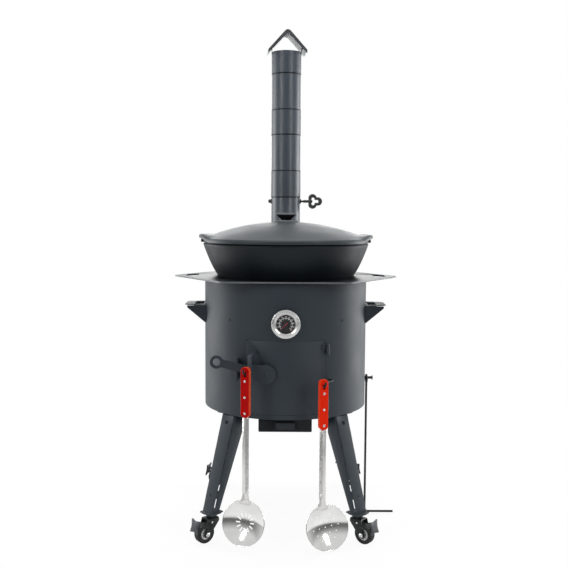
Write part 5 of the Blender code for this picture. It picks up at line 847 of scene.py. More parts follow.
for corner in CORNERS:
    out = outward(corner_bearing(corner))
    centre = caster_centre(corner)
    turn = radians(TRAIL_BEARINGS[corner])
    trail = Vector((cos(turn), sin(turn), 0))
    axle = trail.cross(UP)
    hub = centre + trail * CASTER_TRAIL + UP * WHEEL_RADIUS

    half = CASTER_PLATE_SIZE / 2
    square = rounded(oblong(-half, half, -half, half), 0.003, 4)
    plate_piece = soften(slab("plate", square, CASTER_PLATE_THICKNESS, CASTER_BLACK), 0.0004)
    lay(plate_piece, centre + UP * (CASTER_TOP - CASTER_PLATE_THICKNESS / 2), out, UP.cross(out))
    race_low = CASTER_TOP - CASTER_PLATE_THICKNESS - RACE_HEIGHT
    ball_race = race("race")
    ball_race.location = STOVE_AXIS + centre + UP * race_low
    mount = together("caster_race_" + corner, [plate_piece, ball_race])
    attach(mount, "stove")
    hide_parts("caster_plate_" + corner)

    top = race_low - CLEARANCE
    pieces = [pressed_fork(centre, trail, axle, top)]
    for way in (-1, 1):
        outside = axle * way * FORK_HALF_WIDTH
        cap = outside + axle * way * 0.0028
        pieces.append(domed_pin("axle_end", hub + cap, axle * way, 0.0054, 0.0024, BRIGHT_ZINC))
        pin_spot = centre + trail * 0.0075 + outside + UP * (top - 0.0095)
        pieces.append(domed_pin("pin", pin_spot, axle * way, 0.0024, 0.0016, BRIGHT_ZINC))
    shank = turned("shank", [(0, 0.0175), (0.0039, 0.0175), (0.0039, -0.0175), (0, -0.0175)], 20, BRIGHT_ZINC)
    pieces.append(lay(shank, hub, trail, axle.cross(trail)))
    fork = together("pressed_fork_" + corner, pieces)
    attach(fork, "caster_fork_" + corner)
    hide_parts("caster_fork_" + corner)

    r, w, shoulder = WHEEL_RADIUS, TYRE_HALF_WIDTH, 0.0034
    tread = arc((r - shoulder, -w + shoulder), shoulder, -pi / 2, 0, 6)
    tread += arc((r - shoulder, w - shoulder), shoulder, 0, pi / 2, 6)
    tread = [(HUB_RADIUS, -w + 0.0008)] + tread + [(HUB_RADIUS, w - 0.0008)]
    tyre = turned("tyre", tread, 64, TYRE_RUBBER, ring=True)
    h = HUB_HALF_WIDTH
    face = [(0.0044, h), (0.0066, h), (0.0070, h - 0.0004), (0.0070, h - 0.0034), (0.0098, h - 0.0034)]
    face += [(0.0098, h - 0.0004), (0.0102, h), (HUB_RADIUS, h), (HUB_RADIUS + 0.0003, h - 0.0004)]
    hub_piece = turned("hub", face + [(x, -z) for x, z in reversed(face)], 64, PALE_HUB, ring=True)
    wheel_pieces = [tyre, hub_piece]
    for piece in wheel_pieces:
        lay(piece, hub, trail, axle.cross(trail))
    for i in range(6):
        spoke_turn = pi * i / 3
        spoke = trail * cos(spoke_turn) + UP * sin(spoke_turn)
        for way in (-1, 1):
            rib = slab("rib", capsule(0.0022, 0.0007, 2), 0.003, PALE_HUB)
            spot = hub + spoke * 0.0084 + axle * way * (h - 0.0025)
            wheel_pieces.append(lay(rib, spot, spoke, axle.cross(spoke)))
    wheel = together("caster_roller_" + corner, wheel_pieces)
    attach(wheel, "caster_wheel_" + corner)
    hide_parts("caster_wheel_" + corner)

    s, n = PEDAL_HALF_SIZE, PEDAL_NOTCH
    star = [(-s, -s), (0, n - s), (s, -s), (s - n, 0), (s, s), (0, s - n), (-s, s), (n - s, 0)]
    star_piece = slab("star", rounded(star, [0.0022, 0.014] * 4, 6), PEDAL_THICKNESS, PEDAL_PLASTIC)
    lean = UP * cos(PEDAL_TILT) - trail * sin(PEDAL_TILT)
    spot = hub + trail * PEDAL_REACH + UP * PEDAL_RISE
    lay(soften(star_piece, 0.0007, 3), spot, axle, lean)
    pieces = [star_piece]
    lip = slab("lip", capsule(s * 0.62, 0.0009, 3), 0.0012, PEDAL_PLASTIC)
    lip_spot = spot - lean * (s * 0.30) + axle.cross(lean) * (PEDAL_THICKNESS / 2 + 0.0004)
    pieces.append(lay(lip, lip_spot, axle, lean))
    bend = [(0.0035, 0), (0.0020, 0.0125), (0.0060, 0.0180), (PEDAL_REACH, 0.0150),
            (PEDAL_REACH - 0.001, 0.0235)]
    bend += [(0.0030, 0.0255), (-0.0045, 0.0170), (-0.0040, 0)]
    arm_line = rounded(bend[:4], [0, 0.008, 0.006, 0], 4) + rounded(bend[4:], [0, 0.012, 0.008, 0], 4)
    eye = arc((0, 0), PEDAL_EYE_RADIUS - 0.0008, radians(145), radians(395), 16)
    for way in (-1, 1):
        arm = slab("arm", arm_line + eye, FORK_SHEET, CASTER_BLACK)
        bore = slab("bore", circle(0.0044, 20), 0.01, CASTER_BLACK)
        carved(arm, [bore])
        lay(soften(arm, 0.0004), hub + axle * way * (FORK_HALF_WIDTH + 0.0004 + FORK_SHEET / 2), trail, UP)
        pieces.append(arm)
    pedal = together("star_pedal_" + corner, pieces)
    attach(pedal, "brake_pedal_" + corner)
    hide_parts("brake_pedal_" + corner)

# Fire door: the piece cut out of the drum's own sheet, so it curves and shades with the drum and its
# seam hardly shows. Two lift-off hinges with pins carry it at its right edge.
HINGE_X = 0.105
HINGE_Y = -0.1981
HINGE_LEVELS = (door_low.z + 0.022, door_high.z - 0.022)
BARREL_RADIUS = 0.0045
BARREL_LENGTH = 0.013
HINGE_LEAF_LENGTH = 0.013
HINGE_LEAF_THICKNESS = 0.0028
HINGE_PIN_RADIUS = 0.002

door_sheet = rolled("curved_door", [door_outline(DOOR_OVERSIZE, DOOR_CORNER)], BODY_RADIUS,
                    -girth(DOOR_HALF_WIDTH + 0.001) / BODY_RADIUS, BODY_COAT, SOOTED_STEEL)
thicken(door_sheet, SHELL_WALL, -1.0, 0.0004, 1)


def barrel(name, low, coat):
    edge = 0.0006
    r, h = BARREL_RADIUS, BARREL_LENGTH
    piece = turned(name, [(0, 0), (r - edge, 0), (r, edge), (r, h - edge), (r - edge, h), (0, h)], 28, coat)
    piece.location = STOVE_AXIS + Vector((HINGE_X, HINGE_Y, low))
    return piece


def hinge_leaf(name, middle, level):
    """A small flat, rolled to the drum, that its barrel is welded to."""
    radius = BODY_RADIUS + HINGE_LEAF_THICKNESS
    x, half, tall = middle * radius, HINGE_LEAF_LENGTH / 2, BARREL_LENGTH / 2
    flat = rounded(oblong(x - half, x + half, level - tall, level + tall), 0.002, 4)
    leaf = rolled(name, [flat], radius, middle - half / radius, BODY_COAT)
    return thicken(leaf, HINGE_LEAF_THICKNESS - 0.0003, -1.0, 0.0004)


pin_bearing = atan2(HINGE_X, -HINGE_Y)
door_edge = asin(DOOR_HALF_WIDTH / BODY_RADIUS)
door_pieces = [door_sheet]
for label, z in zip(("lower", "upper"), HINGE_LEVELS):
    high = z + 0.00015
    low = z - 0.00015 - BARREL_LENGTH
    inward = (pin_bearing + door_edge) / 2 - HINGE_LEAF_LENGTH / 3 / BODY_RADIUS
    door_pieces.append(hinge_leaf("leaf", inward, high + BARREL_LENGTH / 2))
    door_pieces.append(barrel("barrel", high, BODY_COAT))
    fixed = [hinge_leaf("leaf", pin_bearing + HINGE_LEAF_LENGTH / 2 / BODY_RADIUS, low + BARREL_LENGTH / 2)]
    fixed.append(barrel("barrel", low, BODY_COAT))
    pin_top = 2 * BARREL_LENGTH + 0.0006
    pin_line = [(0, pin_top), (HINGE_PIN_RADIUS * 0.7, pin_top), (HINGE_PIN_RADIUS, pin_top - 0.0006)]
    pin = turned("pin", pin_line + [(HINGE_PIN_RADIUS, 0.001), (0, 0.001)], 20, BRIGHT_ZINC)
    pin.location = STOVE_AXIS + Vector((HINGE_X, HINGE_Y, low))
    bracket = together("shell_hinge_" + label, fixed + [pin])
    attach(bracket, "stove")
    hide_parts(label + "_hinge_bracket")
door_sheet = together("curved_door", door_pieces)
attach(door_sheet, "door")
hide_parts("door")

# Latch: a flat bar with a round head, on a collar and rivet through the door; its ring end is the
# finger pull. It drops into the slot of a fin that is welded on the shell.
LATCH_PIVOT = Vector((-0.048, -0.221, BODY_BOTTOM + 0.1157))
LATCH_RISE = radians(14)
LATCH_THICKNESS = 0.004
LATCH_HEAD_RADIUS = 0.024
LATCH_HALF_WIDTH = 0.010
LATCH_TAPER = 0.052
LATCH_LENGTH = 0.1258
LATCH_RING_RADIUS = 0.0165
LATCH_RING_HOLE = 0.009
CATCH_X = -0.120
CATCH_THICKNESS = 0.003

slope = atan2(LATCH_HEAD_RADIUS - LATCH_HALF_WIDTH, LATCH_TAPER)
head_end = pi / 2 - slope
neck = asin(LATCH_HALF_WIDTH / LATCH_RING_RADIUS)
latch_shape = arc((0, 0), LATCH_HEAD_RADIUS, head_end, 2 * pi - head_end, 40)
latch_shape += [(LATCH_TAPER, -LATCH_HALF_WIDTH)]
latch_shape += arc((LATCH_LENGTH, 0), LATCH_RING_RADIUS, pi + neck, 3 * pi - neck, 36)
latch_shape += [(LATCH_TAPER, LATCH_HALF_WIDTH)]
latch_loops = [latch_shape, circle(LATCH_RING_HOLE, 36, (LATCH_LENGTH, 0)), circle(0.0045, 28)]
latch = cut_sheet("latch_plate", latch_loops, BODY_COAT)
thicken(latch, LATCH_THICKNESS, 0.0, 0.0006)
along = Vector((-cos(LATCH_RISE), 0, sin(LATCH_RISE)))
upward = Vector((sin(LATCH_RISE), 0, cos(LATCH_RISE)))
lay(latch, LATCH_PIVOT + Vector((0, -LATCH_THICKNESS / 2, 0)), along, upward)
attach(latch, "latch_bar")
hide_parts("latch_bar")

front = -(LATCH_THICKNESS + 0.0004)
rivet_line = [(0, front - 0.0018), (0.0030, front - 0.0017), (0.0050, front - 0.0011),
              (0.0058, front - 0.0003)]
rivet_line += [(0.0058, front), (0.0040, front), (0.0040, -0.0002), (0.0088, -0.0002), (0.0090, 0.0001)]
rivet_line += [(0.0090, 0.0105), (0, 0.0105)]
rivet = turned("latch_post", [(r, -z) for r, z in rivet_line], 40, BODY_COAT)
lay(rivet, LATCH_PIVOT + Vector((0, 0.0004, 0)))
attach(rivet, "door")
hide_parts("latch_rivet")

bar_back = LATCH_PIVOT.y + 0.0012
bar_front = LATCH_PIVOT.y - LATCH_THICKNESS - 0.0012
catch_floor = LATCH_PIVOT.z - LATCH_HALF_WIDTH - 0.0006
lip_rise = (-CATCH_X - CATCH_THICKNESS / 2 + LATCH_PIVOT.x) * tan(LATCH_RISE)
lip_top = LATCH_PIVOT.z + lip_rise - LATCH_HALF_WIDTH / cos(LATCH_RISE) - 0.0006
catch_back = LATCH_PIVOT.z + 0.034
catch_foot = catch_floor - 0.008
weld_line = -sqrt(BODY_RADIUS ** 2 - (abs(CATCH_X) - CATCH_THICKNESS / 2) ** 2) - 0.0002
fin_shape = [(weld_line, catch_back), (bar_back, catch_back), (bar_back, catch_floor),
             (bar_front, catch_floor)]
fin_shape += [(bar_front, lip_top), (bar_front - 0.006, lip_top), (bar_front - 0.006, catch_foot)]
fin_shape += [(weld_line, catch_foot)]
fin = slab("catch_fin", rounded(fin_shape, [0, 0.004, 0.0008, 0.0008, 0.0012, 0.002, 0.004, 0], 4),
           CATCH_THICKNESS, BODY_COAT)
lay(soften(fin, 0.0005), (CATCH_X, 0, 0), (0, 1, 0))
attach(fin, "stove")
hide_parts("latch_catch")

# Ash drawer: a tray folded from thin sheet, whose side flanges hang on two rails, with a lap over its
# front and a bent strip fixed there for a pull.
DRAWER_HALF_WIDTH = 0.067
DRAWER_HEIGHT = 0.033
DRAWER_LENGTH = 0.330
DRAWER_WALL = 0.0015
DRAWER_FLANGE = 0.005
DRAWER_TOP = BODY_BOTTOM - 0.0015
DRAWER_FRONT = -0.200
PULL_HALF_WIDTH = 0.0235

DRAWER_COAT = powder_coat("drawer_powder_coat", (0.006, 0.009, 0.011, 1), 0.58, 0.46, drift=0.2, shine=0.2)
PULL_COAT = powder_coat("pull_powder_coat", (0.020, 0.025, 0.028, 1), 0.58, 0.46, drift=0.2, shine=0.2)
half, fold = DRAWER_HALF_WIDTH, 0.003
low = DRAWER_TOP - DRAWER_HEIGHT
section = [(-half - DRAWER_FLANGE, DRAWER_TOP), (-half, DRAWER_TOP)]
section += arc((-half + fold, low + fold), fold, pi, 1.5 * pi, 5)
section += [(-x, z) for x, z in reversed(section)]


def folded_tray():
    work = bmesh.new()
    ends = [[work.verts.new((x, DRAWER_FRONT + y, z)) for x, z in section] for y in (0, DRAWER_LENGTH)]
    count = len(section)
    for i in range(count - 1):
        work.faces.new((ends[0][i], ends[0][i + 1], ends[1][i + 1], ends[1][i]))
    for end in ends:
        work.faces.new(end[1:-1])
    bmesh.ops.recalc_face_normals(work, faces=work.faces)
    floor_face = min(work.faces, key=lambda face: face.calc_center_median().z)
    if floor_face.normal.z > 0:
        bmesh.ops.reverse_faces(work, faces=work.faces)
    return stand("tray", as_mesh(work, "tray"), DRAWER_COAT, SOOTED_STEEL)


tray = thicken(folded_tray(), DRAWER_WALL, -1.0, 0.0004, 1)
lap_line = oblong(-half + 0.001, half - 0.001, low + 0.002, DRAWER_TOP - 0.001)
lap = slab("lap", rounded(lap_line, 0.002), 0.0006, DRAWER_COAT)
lay(soften(lap, 0.0002), (0, DRAWER_FRONT - 0.0001, 0))
drawer = together("folded_drawer", [tray, lap])
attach(drawer, "ash_drawer")
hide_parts("ash_drawer")

pull_top = DRAWER_TOP - 0.0075
front = DRAWER_FRONT - 0.0013
bend = 0.0022
path = [(front, pull_top + 0.004), (front, pull_top + bend)]
path += arc((front - bend, pull_top + bend), bend, 0, -pi / 2, 4)[1:]
path += arc((front - 0.0117 + bend, pull_top - bend), bend, pi / 2, pi, 4)
path += [(front - 0.0117, pull_top - 0.016)]


def ribbon(name, path, width, thickness, coat, edge=0.0004):
    """A strip of sheet bent along a path in its own y and z, as wide as asked in x."""
    work = bmesh.new()
    rows = [[work.verts.new((x, y, z)) for x in (-width / 2, width / 2)] for y, z in path]
    for a, b in zip(rows, rows[1:]):
        work.faces.new((a[0], a[1], b[1], b[0]))
    bmesh.ops.recalc_face_normals(work, faces=work.faces)
    return thicken(stand(name, as_mesh(work, name), coat), thickness, 0.0, edge)


pull_strip = ribbon("pull_strip", path, 2 * PULL_HALF_WIDTH, 0.002, PULL_COAT)
pull = together("drawer_pull_strip", [pull_strip])
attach(pull, "ash_drawer")
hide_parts("drawer_pull")

# Thermometer: a stainless case spun from sheet with a wide bezel and two small screws, a black dial
# printed in white, a red needle and a glass. Its stem goes through the drum to a nut inside.
case_low, case_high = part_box("thermometer_case")
DIAL_CENTRE = Vector((0, -(BODY_RADIUS + CLEARANCE), (case_low.z + case_high.z) / 2))
CASE_RADIUS = (case_high.x - case_low.x) / 2 - 0.0022
BACK_RADIUS = 0.033
FACE_RADIUS = 0.0228
BEZEL_CREST_RADIUS = 0.0286
CASE_DEPTH = 0.014
FACE_DEPTH = 0.0030
GLASS_DEPTH = 0.0016
STEM_RADIUS = 0.004
STEM_LENGTH = 0.055
SCALE_RADIUS = 0.0160
SCALE_START = 225
SCALE_SWEEP = 270
DIAL_WHITE = (0.72, 0.73, 0.72, 1)

SPUN_STEEL = bare_metal("spun_stainless", (0.62, 0.625, 0.62, 1), 0.22, 0.34, (1.0, 0.15, 1.0), 0.00003)
DIAL_BLACK = moulded("dial_black", (0.002, 0.002, 0.002, 1), 0.5, 0.00002, shine=0.08)
DIAL_PRINT = moulded("dial_white_print", DIAL_WHITE, 0.5, 0.00002)
DIAL_RED = moulded("dial_red_print", (0.55, 0.05, 0.07, 1), 0.5, 0.00002)
NEEDLE_RED = moulded("needle_red_paint", (0.42, 0.022, 0.075, 1), 0.35, 0.00002)


def on_dial(obj, forward, turn=0.0):
    """Stands a piece that is drawn in x and y at the dial, its z towards the front."""
    across = Vector((cos(turn), 0, -sin(turn)))
    up = Vector((sin(turn), 0, cos(turn)))
    return lay(obj, DIAL_CENTRE - Vector((0, forward, 0)), across, up)


r, d = CASE_RADIUS, CASE_DEPTH
face_back = d - FACE_DEPTH - 0.0008
spun = [(0, face_back), (FACE_RADIUS + 0.0004, face_back), (FACE_RADIUS + 0.0004, d - FACE_DEPTH)]
spun += [(FACE_RADIUS + 0.0009, d - FACE_DEPTH + 0.0007)]
spun += [(BEZEL_CREST_RADIUS - 0.0006, d - 0.0003), (BEZEL_CREST_RADIUS, d),
         (BEZEL_CREST_RADIUS + 0.0007, d - 0.0001)]
spun += [(r - 0.0022, d - 0.0022)] + arc((r - 0.0022, d - 0.0044), 0.0022, radians(72), 0, 7)
spun += [(r, d - 0.0075), (r - 0.0004, d - 0.0082), (BACK_RADIUS + 0.001, 0.0006), (BACK_RADIUS, 0)]
spun += [(STEM_RADIUS, 0), (STEM_RADIUS, -STEM_LENGTH + 0.001), (STEM_RADIUS - 0.001, -STEM_LENGTH)]
case = on_dial(turned("case", spun + [(0, -STEM_LENGTH)], 96, SPUN_STEEL, sharp=28), 0)
screws = []
screw_line = [(0, 0.0006), (0.0007, 0.0006), (0.0011, 0.0003), (0.0012, 0), (0, 0)]
for spot in (1, -1):
    screw = turned("screw", screw_line, 20, BRIGHT_ZINC)
    screws.append(lay(screw, DIAL_CENTRE + Vector((0, -d + 0.0014, spot * 0.0318))))
case = together("thermometer_spun_case", [case] + screws)
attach(case, "stove")
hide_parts("thermometer_case")


def dial_mark(loop, coat, forward, turn=0.0):
    return on_dial(slab("mark", loop, 0.00006, coat), forward, turn)


def dial_band(inner, outer, start, sweep, coat, forward):
    """A printed arc, its turns given clockwise from the top."""
    steps = max(4, int(abs(sweep) / 3))
    first, last = radians(90 - start), radians(90 - start - sweep)
    loop = arc((0, 0), outer, first, last, steps) + arc((0, 0), inner, last, first, steps)
    return dial_mark(loop[::-1], coat, forward)


def dial_number(words, turn, radius, size, forward):
    """A plain number, upright on the dial, at a turn clockwise from the top."""
    curve = bpy.data.curves.new("number", "FONT")
    curve.body = words
    curve.size = size
    curve.align_x = "CENTER"
    curve.align_y = "CENTER"
    curve.extrude = 0.00003
    curve.offset = 0.00013
    number = stand("number", curve, DIAL_PRINT)
    return lay(number, DIAL_CENTRE + Vector((radius * sin(turn), -forward, radius * cos(turn))))


print_front = d - FACE_DEPTH + 0.00025
disc_low, disc_high = face_back + 0.0003, print_front - 0.0001
disc_line = [(0, disc_high), (FACE_RADIUS, disc_high), (FACE_RADIUS, disc_low), (0, disc_low)]
ring_in, ring_out = SCALE_RADIUS - 0.0005, SCALE_RADIUS + 0.0006
marks = [on_dial(turned("disc", disc_line, 96, DIAL_BLACK), 0)]
marks.append(dial_band(ring_in, ring_out, SCALE_START, SCALE_SWEEP, DIAL_PRINT, print_front))
marks.append(dial_band(0.0203, 0.0210, 112, 30, DIAL_RED, print_front))
for i in range(41):
    turn = radians(SCALE_START + SCALE_SWEEP * i / 40)
    long_tick = i % 4 == 0
    reach = 0.0040 if long_tick else 0.0016
    half = 0.00065 if long_tick else 0.0002
    tick = oblong(-half, half, SCALE_RADIUS - reach, SCALE_RADIUS)
    marks.append(dial_mark(tick, DIAL_PRINT, print_front, turn))
    if long_tick and 0 < i:
        marks.append(dial_number(str(i // 4 * 50), turn, 0.0190, 0.0033, print_front))
dial_plate = together("thermometer_dial_plate", marks)
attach(dial_plate, "stove")
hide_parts("thermometer_dial")

NEEDLE_START = radians(225)
pointer = [(-0.0011, -0.005), (-0.0006, -0.0056), (0.0006, -0.0056), (0.0011, -0.005), (0.0010, 0)]
pointer += [(0.00035, 0.0172), (0, 0.0175), (-0.00035, 0.0172), (-0.0010, 0)]
blade = slab("blade", pointer, 0.0005, NEEDLE_RED)
on_dial(blade, print_front + 0.00065, NEEDLE_START)
boss = turned("boss", [(0, 0.0012), (0.0011, 0.0011), (0.0017, 0.0007), (0.0018, 0), (0, 0)], 28, NEEDLE_RED)
needle = together("thermometer_pointer", [blade, on_dial(boss, print_front + 0.0003)])
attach(needle, "thermometer_needle")
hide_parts("thermometer_needle")


def clear_glass():
    """Thin flat glass; a little dust stands on it, and its edge catches light."""
    made, tree, shader = finish("dial_glass", Base_Color=(1, 1, 1, 1), Transmission_Weight=1.0, IOR=1.45)
    dust = noise(tree, own_place(tree), 900.0, 2.0)
    feed(tree, shader, Roughness=spread(tree, dust, 0.5, 0.8, 0.0, 0.02))
    return made


g = d - GLASS_DEPTH
glass_line = [(0, g), (FACE_RADIUS - 0.0002, g), (FACE_RADIUS + 0.0003, g - 0.0003)]
glass_line += [(FACE_RADIUS + 0.0003, g - 0.0007), (0, g - 0.0007)]
glass = turned("thermometer_window", glass_line, 64, clear_glass(), sharp=30)
on_dial(glass, 0)
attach(glass, "stove")
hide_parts("thermometer_glass")
dress("thermometer_nut", BRIGHT_ZINC, 0.0005)

# Side handles: a flat ring of sheet with a slot for the fingers, set level on two upright gussets,
# all welded to the drum at both sides.
HANDLE_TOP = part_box("left_handle")[1].z
HANDLE_SHEET = 0.0025
HANDLE_REACH = 0.052
HANDLE_HALF_LENGTH = 0.0575
HANDLE_TIP_HALF_LENGTH = 0.040
HANDLE_CORNER = 0.014
HANDLE_SLOT_REACH = 0.027
HANDLE_SLOT_HALF_LENGTH = 0.037
HANDLE_SLOT_ROUNDING = 0.007
GUSSET_REACH = 0.044
GUSSET_TIP_DROP = 0.008
GUSSET_ROOT_DROP = 0.050
HANDLE_WEAR = powder_coat("handled_powder_coat", (0.085, 0.092, 0.098, 1), 0.60, 0.50, drift=0.3,
                          worn=(0.20, 0.21, 0.22, 1))


def drum_edge(y, gap=0.0004):
    return sqrt((BODY_RADIUS + gap) ** 2 - y ** 2)


for label, side in (("left", -1), ("right", 1)):
    tip = BODY_RADIUS + HANDLE_REACH
    inner_run = [(drum_edge(y), y) for y in (HANDLE_HALF_LENGTH * (1 - i / 12) for i in range(25))]
    rim = rounded([(drum_edge(HANDLE_HALF_LENGTH), -HANDLE_HALF_LENGTH), (tip, -HANDLE_TIP_HALF_LENGTH),
                   (tip, HANDLE_TIP_HALF_LENGTH), inner_run[0]], [0, HANDLE_CORNER, HANDLE_CORNER, 0], 10)
    shape = rim[:-1] + inner_run[:-1]
    slot_tip = BODY_RADIUS + HANDLE_SLOT_REACH
    slot_half = HANDLE_SLOT_HALF_LENGTH
    near = [(drum_edge(y) + 0.0035, y) for y in (slot_half * (1 - i / 8) for i in range(17))]
    turn = HANDLE_SLOT_ROUNDING
    slot = [(slot_tip - 0.006, -slot_half)] + arc((slot_tip - turn, turn - slot_half), turn, -pi / 2, 0, 5)
    slot += arc((slot_tip - turn, slot_half - turn), turn, 0, pi / 2, 5) + near
    loops = [[(side * x, y) for x, y in loop] for loop in (shape, slot)]
    ring = cut_sheet("ring", loops, HANDLE_WEAR)
    ring.location = STOVE_AXIS + UP * (HANDLE_TOP - HANDLE_SHEET / 2)
    pieces = [thicken(ring, HANDLE_SHEET, 0.0, 0.0007)]
    gusset_y = HANDLE_HALF_LENGTH - 2 * HANDLE_SHEET
    root, high = drum_edge(gusset_y + HANDLE_SHEET / 2), HANDLE_TOP - HANDLE_SHEET
    for end in (-1, 1):
        end_x = BODY_RADIUS + GUSSET_REACH
        shape = [(root, high), (end_x, high), (end_x, HANDLE_TOP - GUSSET_TIP_DROP)]
        shape += [(root, HANDLE_TOP - GUSSET_ROOT_DROP)]
        shape = rounded(shape, [0, 0.001, 0.004, 0.002], 4)
        gusset = slab("gusset", [(side * x, z) for x, z in shape][::side], HANDLE_SHEET, BODY_COAT)
        pieces.append(lay(soften(gusset, 0.0005), (0, end * gusset_y, 0)))
    handle = together("folded_handle_" + label, pieces)
    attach(handle, "stove")
    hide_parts(label + "_handle")

# Cauldron: a bowl cast in iron that flares a little to a narrow neck under its banded rim, with two
# plain lug ears, oiled and cured. It stands on the plate's opening by its own curve and lifts out.
CAULDRON_RADIUS = 0.2220
CAULDRON_WALL = 0.005
CAULDRON_CENTRE = PLATE_TOP + 0.1257
CAULDRON_RIM = PLATE_TOP + 0.0947
RIM_BAND_HEIGHT = 0.0040
NECK_TALL = 0.0040
NECK_RADIUS = 0.2200
RIM_BAND_WIDTH = 0.0068
RIM_FLARE = 0.0045
EAR_REACH = 0.0008
EAR_HALF_LENGTH = 0.052
EAR_TIP_HALF_LENGTH = 0.036
EAR_HEIGHT = 0.0085

CURED_IRON = cast_iron("cured_cast_iron", (0.008, 0.012, 0.015, 1), (0.013, 0.016, 0.019, 1),
                       0.48, 0.62, 0.0005, 0.22)
LID_IRON = cast_iron("cured_lid_iron", (0.025, 0.034, 0.040, 1), (0.034, 0.041, 0.047, 1), 0.38, 0.50, 0.0005)
PALE_IRON = cast_iron("rubbed_lid_iron", (0.15, 0.165, 0.175, 1), (0.19, 0.20, 0.21, 1), 0.34, 0.46, 0.0004)
# The knob's flared stem is near black and dull: painted shade, as its faces turn down, away from the light.
KNOB_SHADE_IRON = cast_iron("knob_iron_painted_shade", (0.002, 0.002, 0.003, 1), (0.003, 0.003, 0.003, 1),
                      0.60, 0.75, 0.0004, 0.05)


def sphere_line(radius, centre, start, end, steps):
    """Part of a bowl's section, its two angles measured from straight down."""
    turns = [start + (end - start) * i / steps for i in range(steps + 1)]
    return [(radius * sin(a), centre - radius * cos(a)) for a in turns]


band_low = CAULDRON_RIM - RIM_BAND_HEIGHT
neck_low = band_low - NECK_TALL
outer_start = acos((CAULDRON_CENTRE - neck_low) / CAULDRON_RADIUS)
inner_radius = CAULDRON_RADIUS - CAULDRON_WALL
inner_start = acos((CAULDRON_CENTRE - CAULDRON_RIM + 0.0012) / inner_radius)
band = sqrt(CAULDRON_RADIUS ** 2 - (CAULDRON_CENTRE - band_low) ** 2) + RIM_BAND_WIDTH
lip = inner_radius * sin(inner_start)
bowl_line = sphere_line(inner_radius, CAULDRON_CENTRE, 0, inner_start, 40)
bowl_line += arc((lip + 0.0013, CAULDRON_RIM - 0.0012), 0.0012, radians(170), radians(95), 3)
bowl_line += arc((band - 0.0014, CAULDRON_RIM - 0.0014), 0.0014, pi / 2, 0, 4)
bowl_line += arc((band - 0.0012, band_low + 0.0012), 0.0012, 0, -pi / 2, 4)
bowl_line += [(NECK_RADIUS + 0.0006, band_low), (NECK_RADIUS, band_low - 0.0006),
              (NECK_RADIUS, neck_low + 0.0004)]
flare_low = PLATE_TOP + 0.03
bowl_line += [(r + RIM_FLARE * max(0.0, (z - flare_low) / (neck_low - flare_low)) ** 2, z)
              for r, z in sphere_line(CAULDRON_RADIUS, CAULDRON_CENTRE, outer_start, 0, 44)]
bowl = turned("bowl", bowl_line, 160, CURED_IRON, sharp=40)
ears = []
for side in (-1, 1):
    tip, root = band + EAR_REACH, band - 0.003
    shape = rounded([(root, -EAR_HALF_LENGTH), (tip, -EAR_TIP_HALF_LENGTH), (tip, EAR_TIP_HALF_LENGTH),
                     (root, EAR_HALF_LENGTH)], [0, 0.010, 0.010, 0], 8)
    shape += [(root - 0.001 * (1 - (y / EAR_HALF_LENGTH) ** 2), y)
              for y in (EAR_HALF_LENGTH * (1 - i / 10) for i in range(1, 20))]
    ear = cut_sheet("ear", [[(side * x, y) for x, y in shape]], CURED_IRON)
    ear.location = STOVE_AXIS + UP * (band_low + EAR_HEIGHT / 2)
    thicken(ear, EAR_HEIGHT, 0.0, 0.0018)
    ears.append(ear)
kettle = together("cast_cauldron", [bowl] + ears)
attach(kettle, "cauldron")
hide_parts("cauldron")

# Lid: a shallow dome cast in iron, its edge turned down over the bowl's rim and raised to a lobe at
# each side, with a skirt that centres it. Its handle is a flared block under a bar, on an oval pad.
LID_DOME_RADIUS = 0.5771
LID_WALL = 0.0045
LID_EDGE_ABOVE_RIM = 0.0031
LID_EDGE_BELOW_RIM = 0.0050
LOBE_RISE = 0.0130
LOBE_UNDERSIDE_RISE = 0.0122
LOBE_REACH = 0.0045
LID_PAD_HALF_WIDTH = 0.034
LID_PAD_HALF_DEPTH = 0.020
LID_PAD_HEIGHT = 0.004
LOBE_SWING_START = 31
LOBE_SWING_FULL = 14
LOBE_START_RADIUS = 0.196
KNOB_STEM_HALF_WIDTH = 0.0125
KNOB_STEM_HEIGHT = 0.0055
KNOB_FLARE_HALF_WIDTH = 0.0262
KNOB_FLARE_HEIGHT = 0.0125
KNOB_DEPTH = 0.023
KNOB_BAR_HALF_WIDTH = 0.0285
KNOB_BAR_HALF_DEPTH = 0.012
KNOB_BAR_THICKNESS = 0.0055
lid_seat = CAULDRON_RIM + CLEARANCE
lid_edge = band + 0.0035
edge_top, edge_low = CAULDRON_RIM + LID_EDGE_ABOVE_RIM, CAULDRON_RIM - LID_EDGE_BELOW_RIM
dome_centre = edge_top - sqrt(LID_DOME_RADIUS ** 2 - lid_edge ** 2)
lid_apex = dome_centre + LID_DOME_RADIUS
mouth = sqrt(inner_radius ** 2 - (CAULDRON_CENTRE - CAULDRON_RIM) ** 2)
skirt_out = mouth - 0.0025
skirt_in = skirt_out - 0.004
reach = asin((lid_edge - 0.0016) / LID_DOME_RADIUS)
inner_dome = LID_DOME_RADIUS - LID_WALL


def dome_line(radius, reach, steps):
    """The dome's section from its top out to a reach, in radius and height."""
    turns = [reach * i / steps for i in range(steps + 1)]
    return [(radius * sin(a), dome_centre + radius * cos(a)) for a in turns]


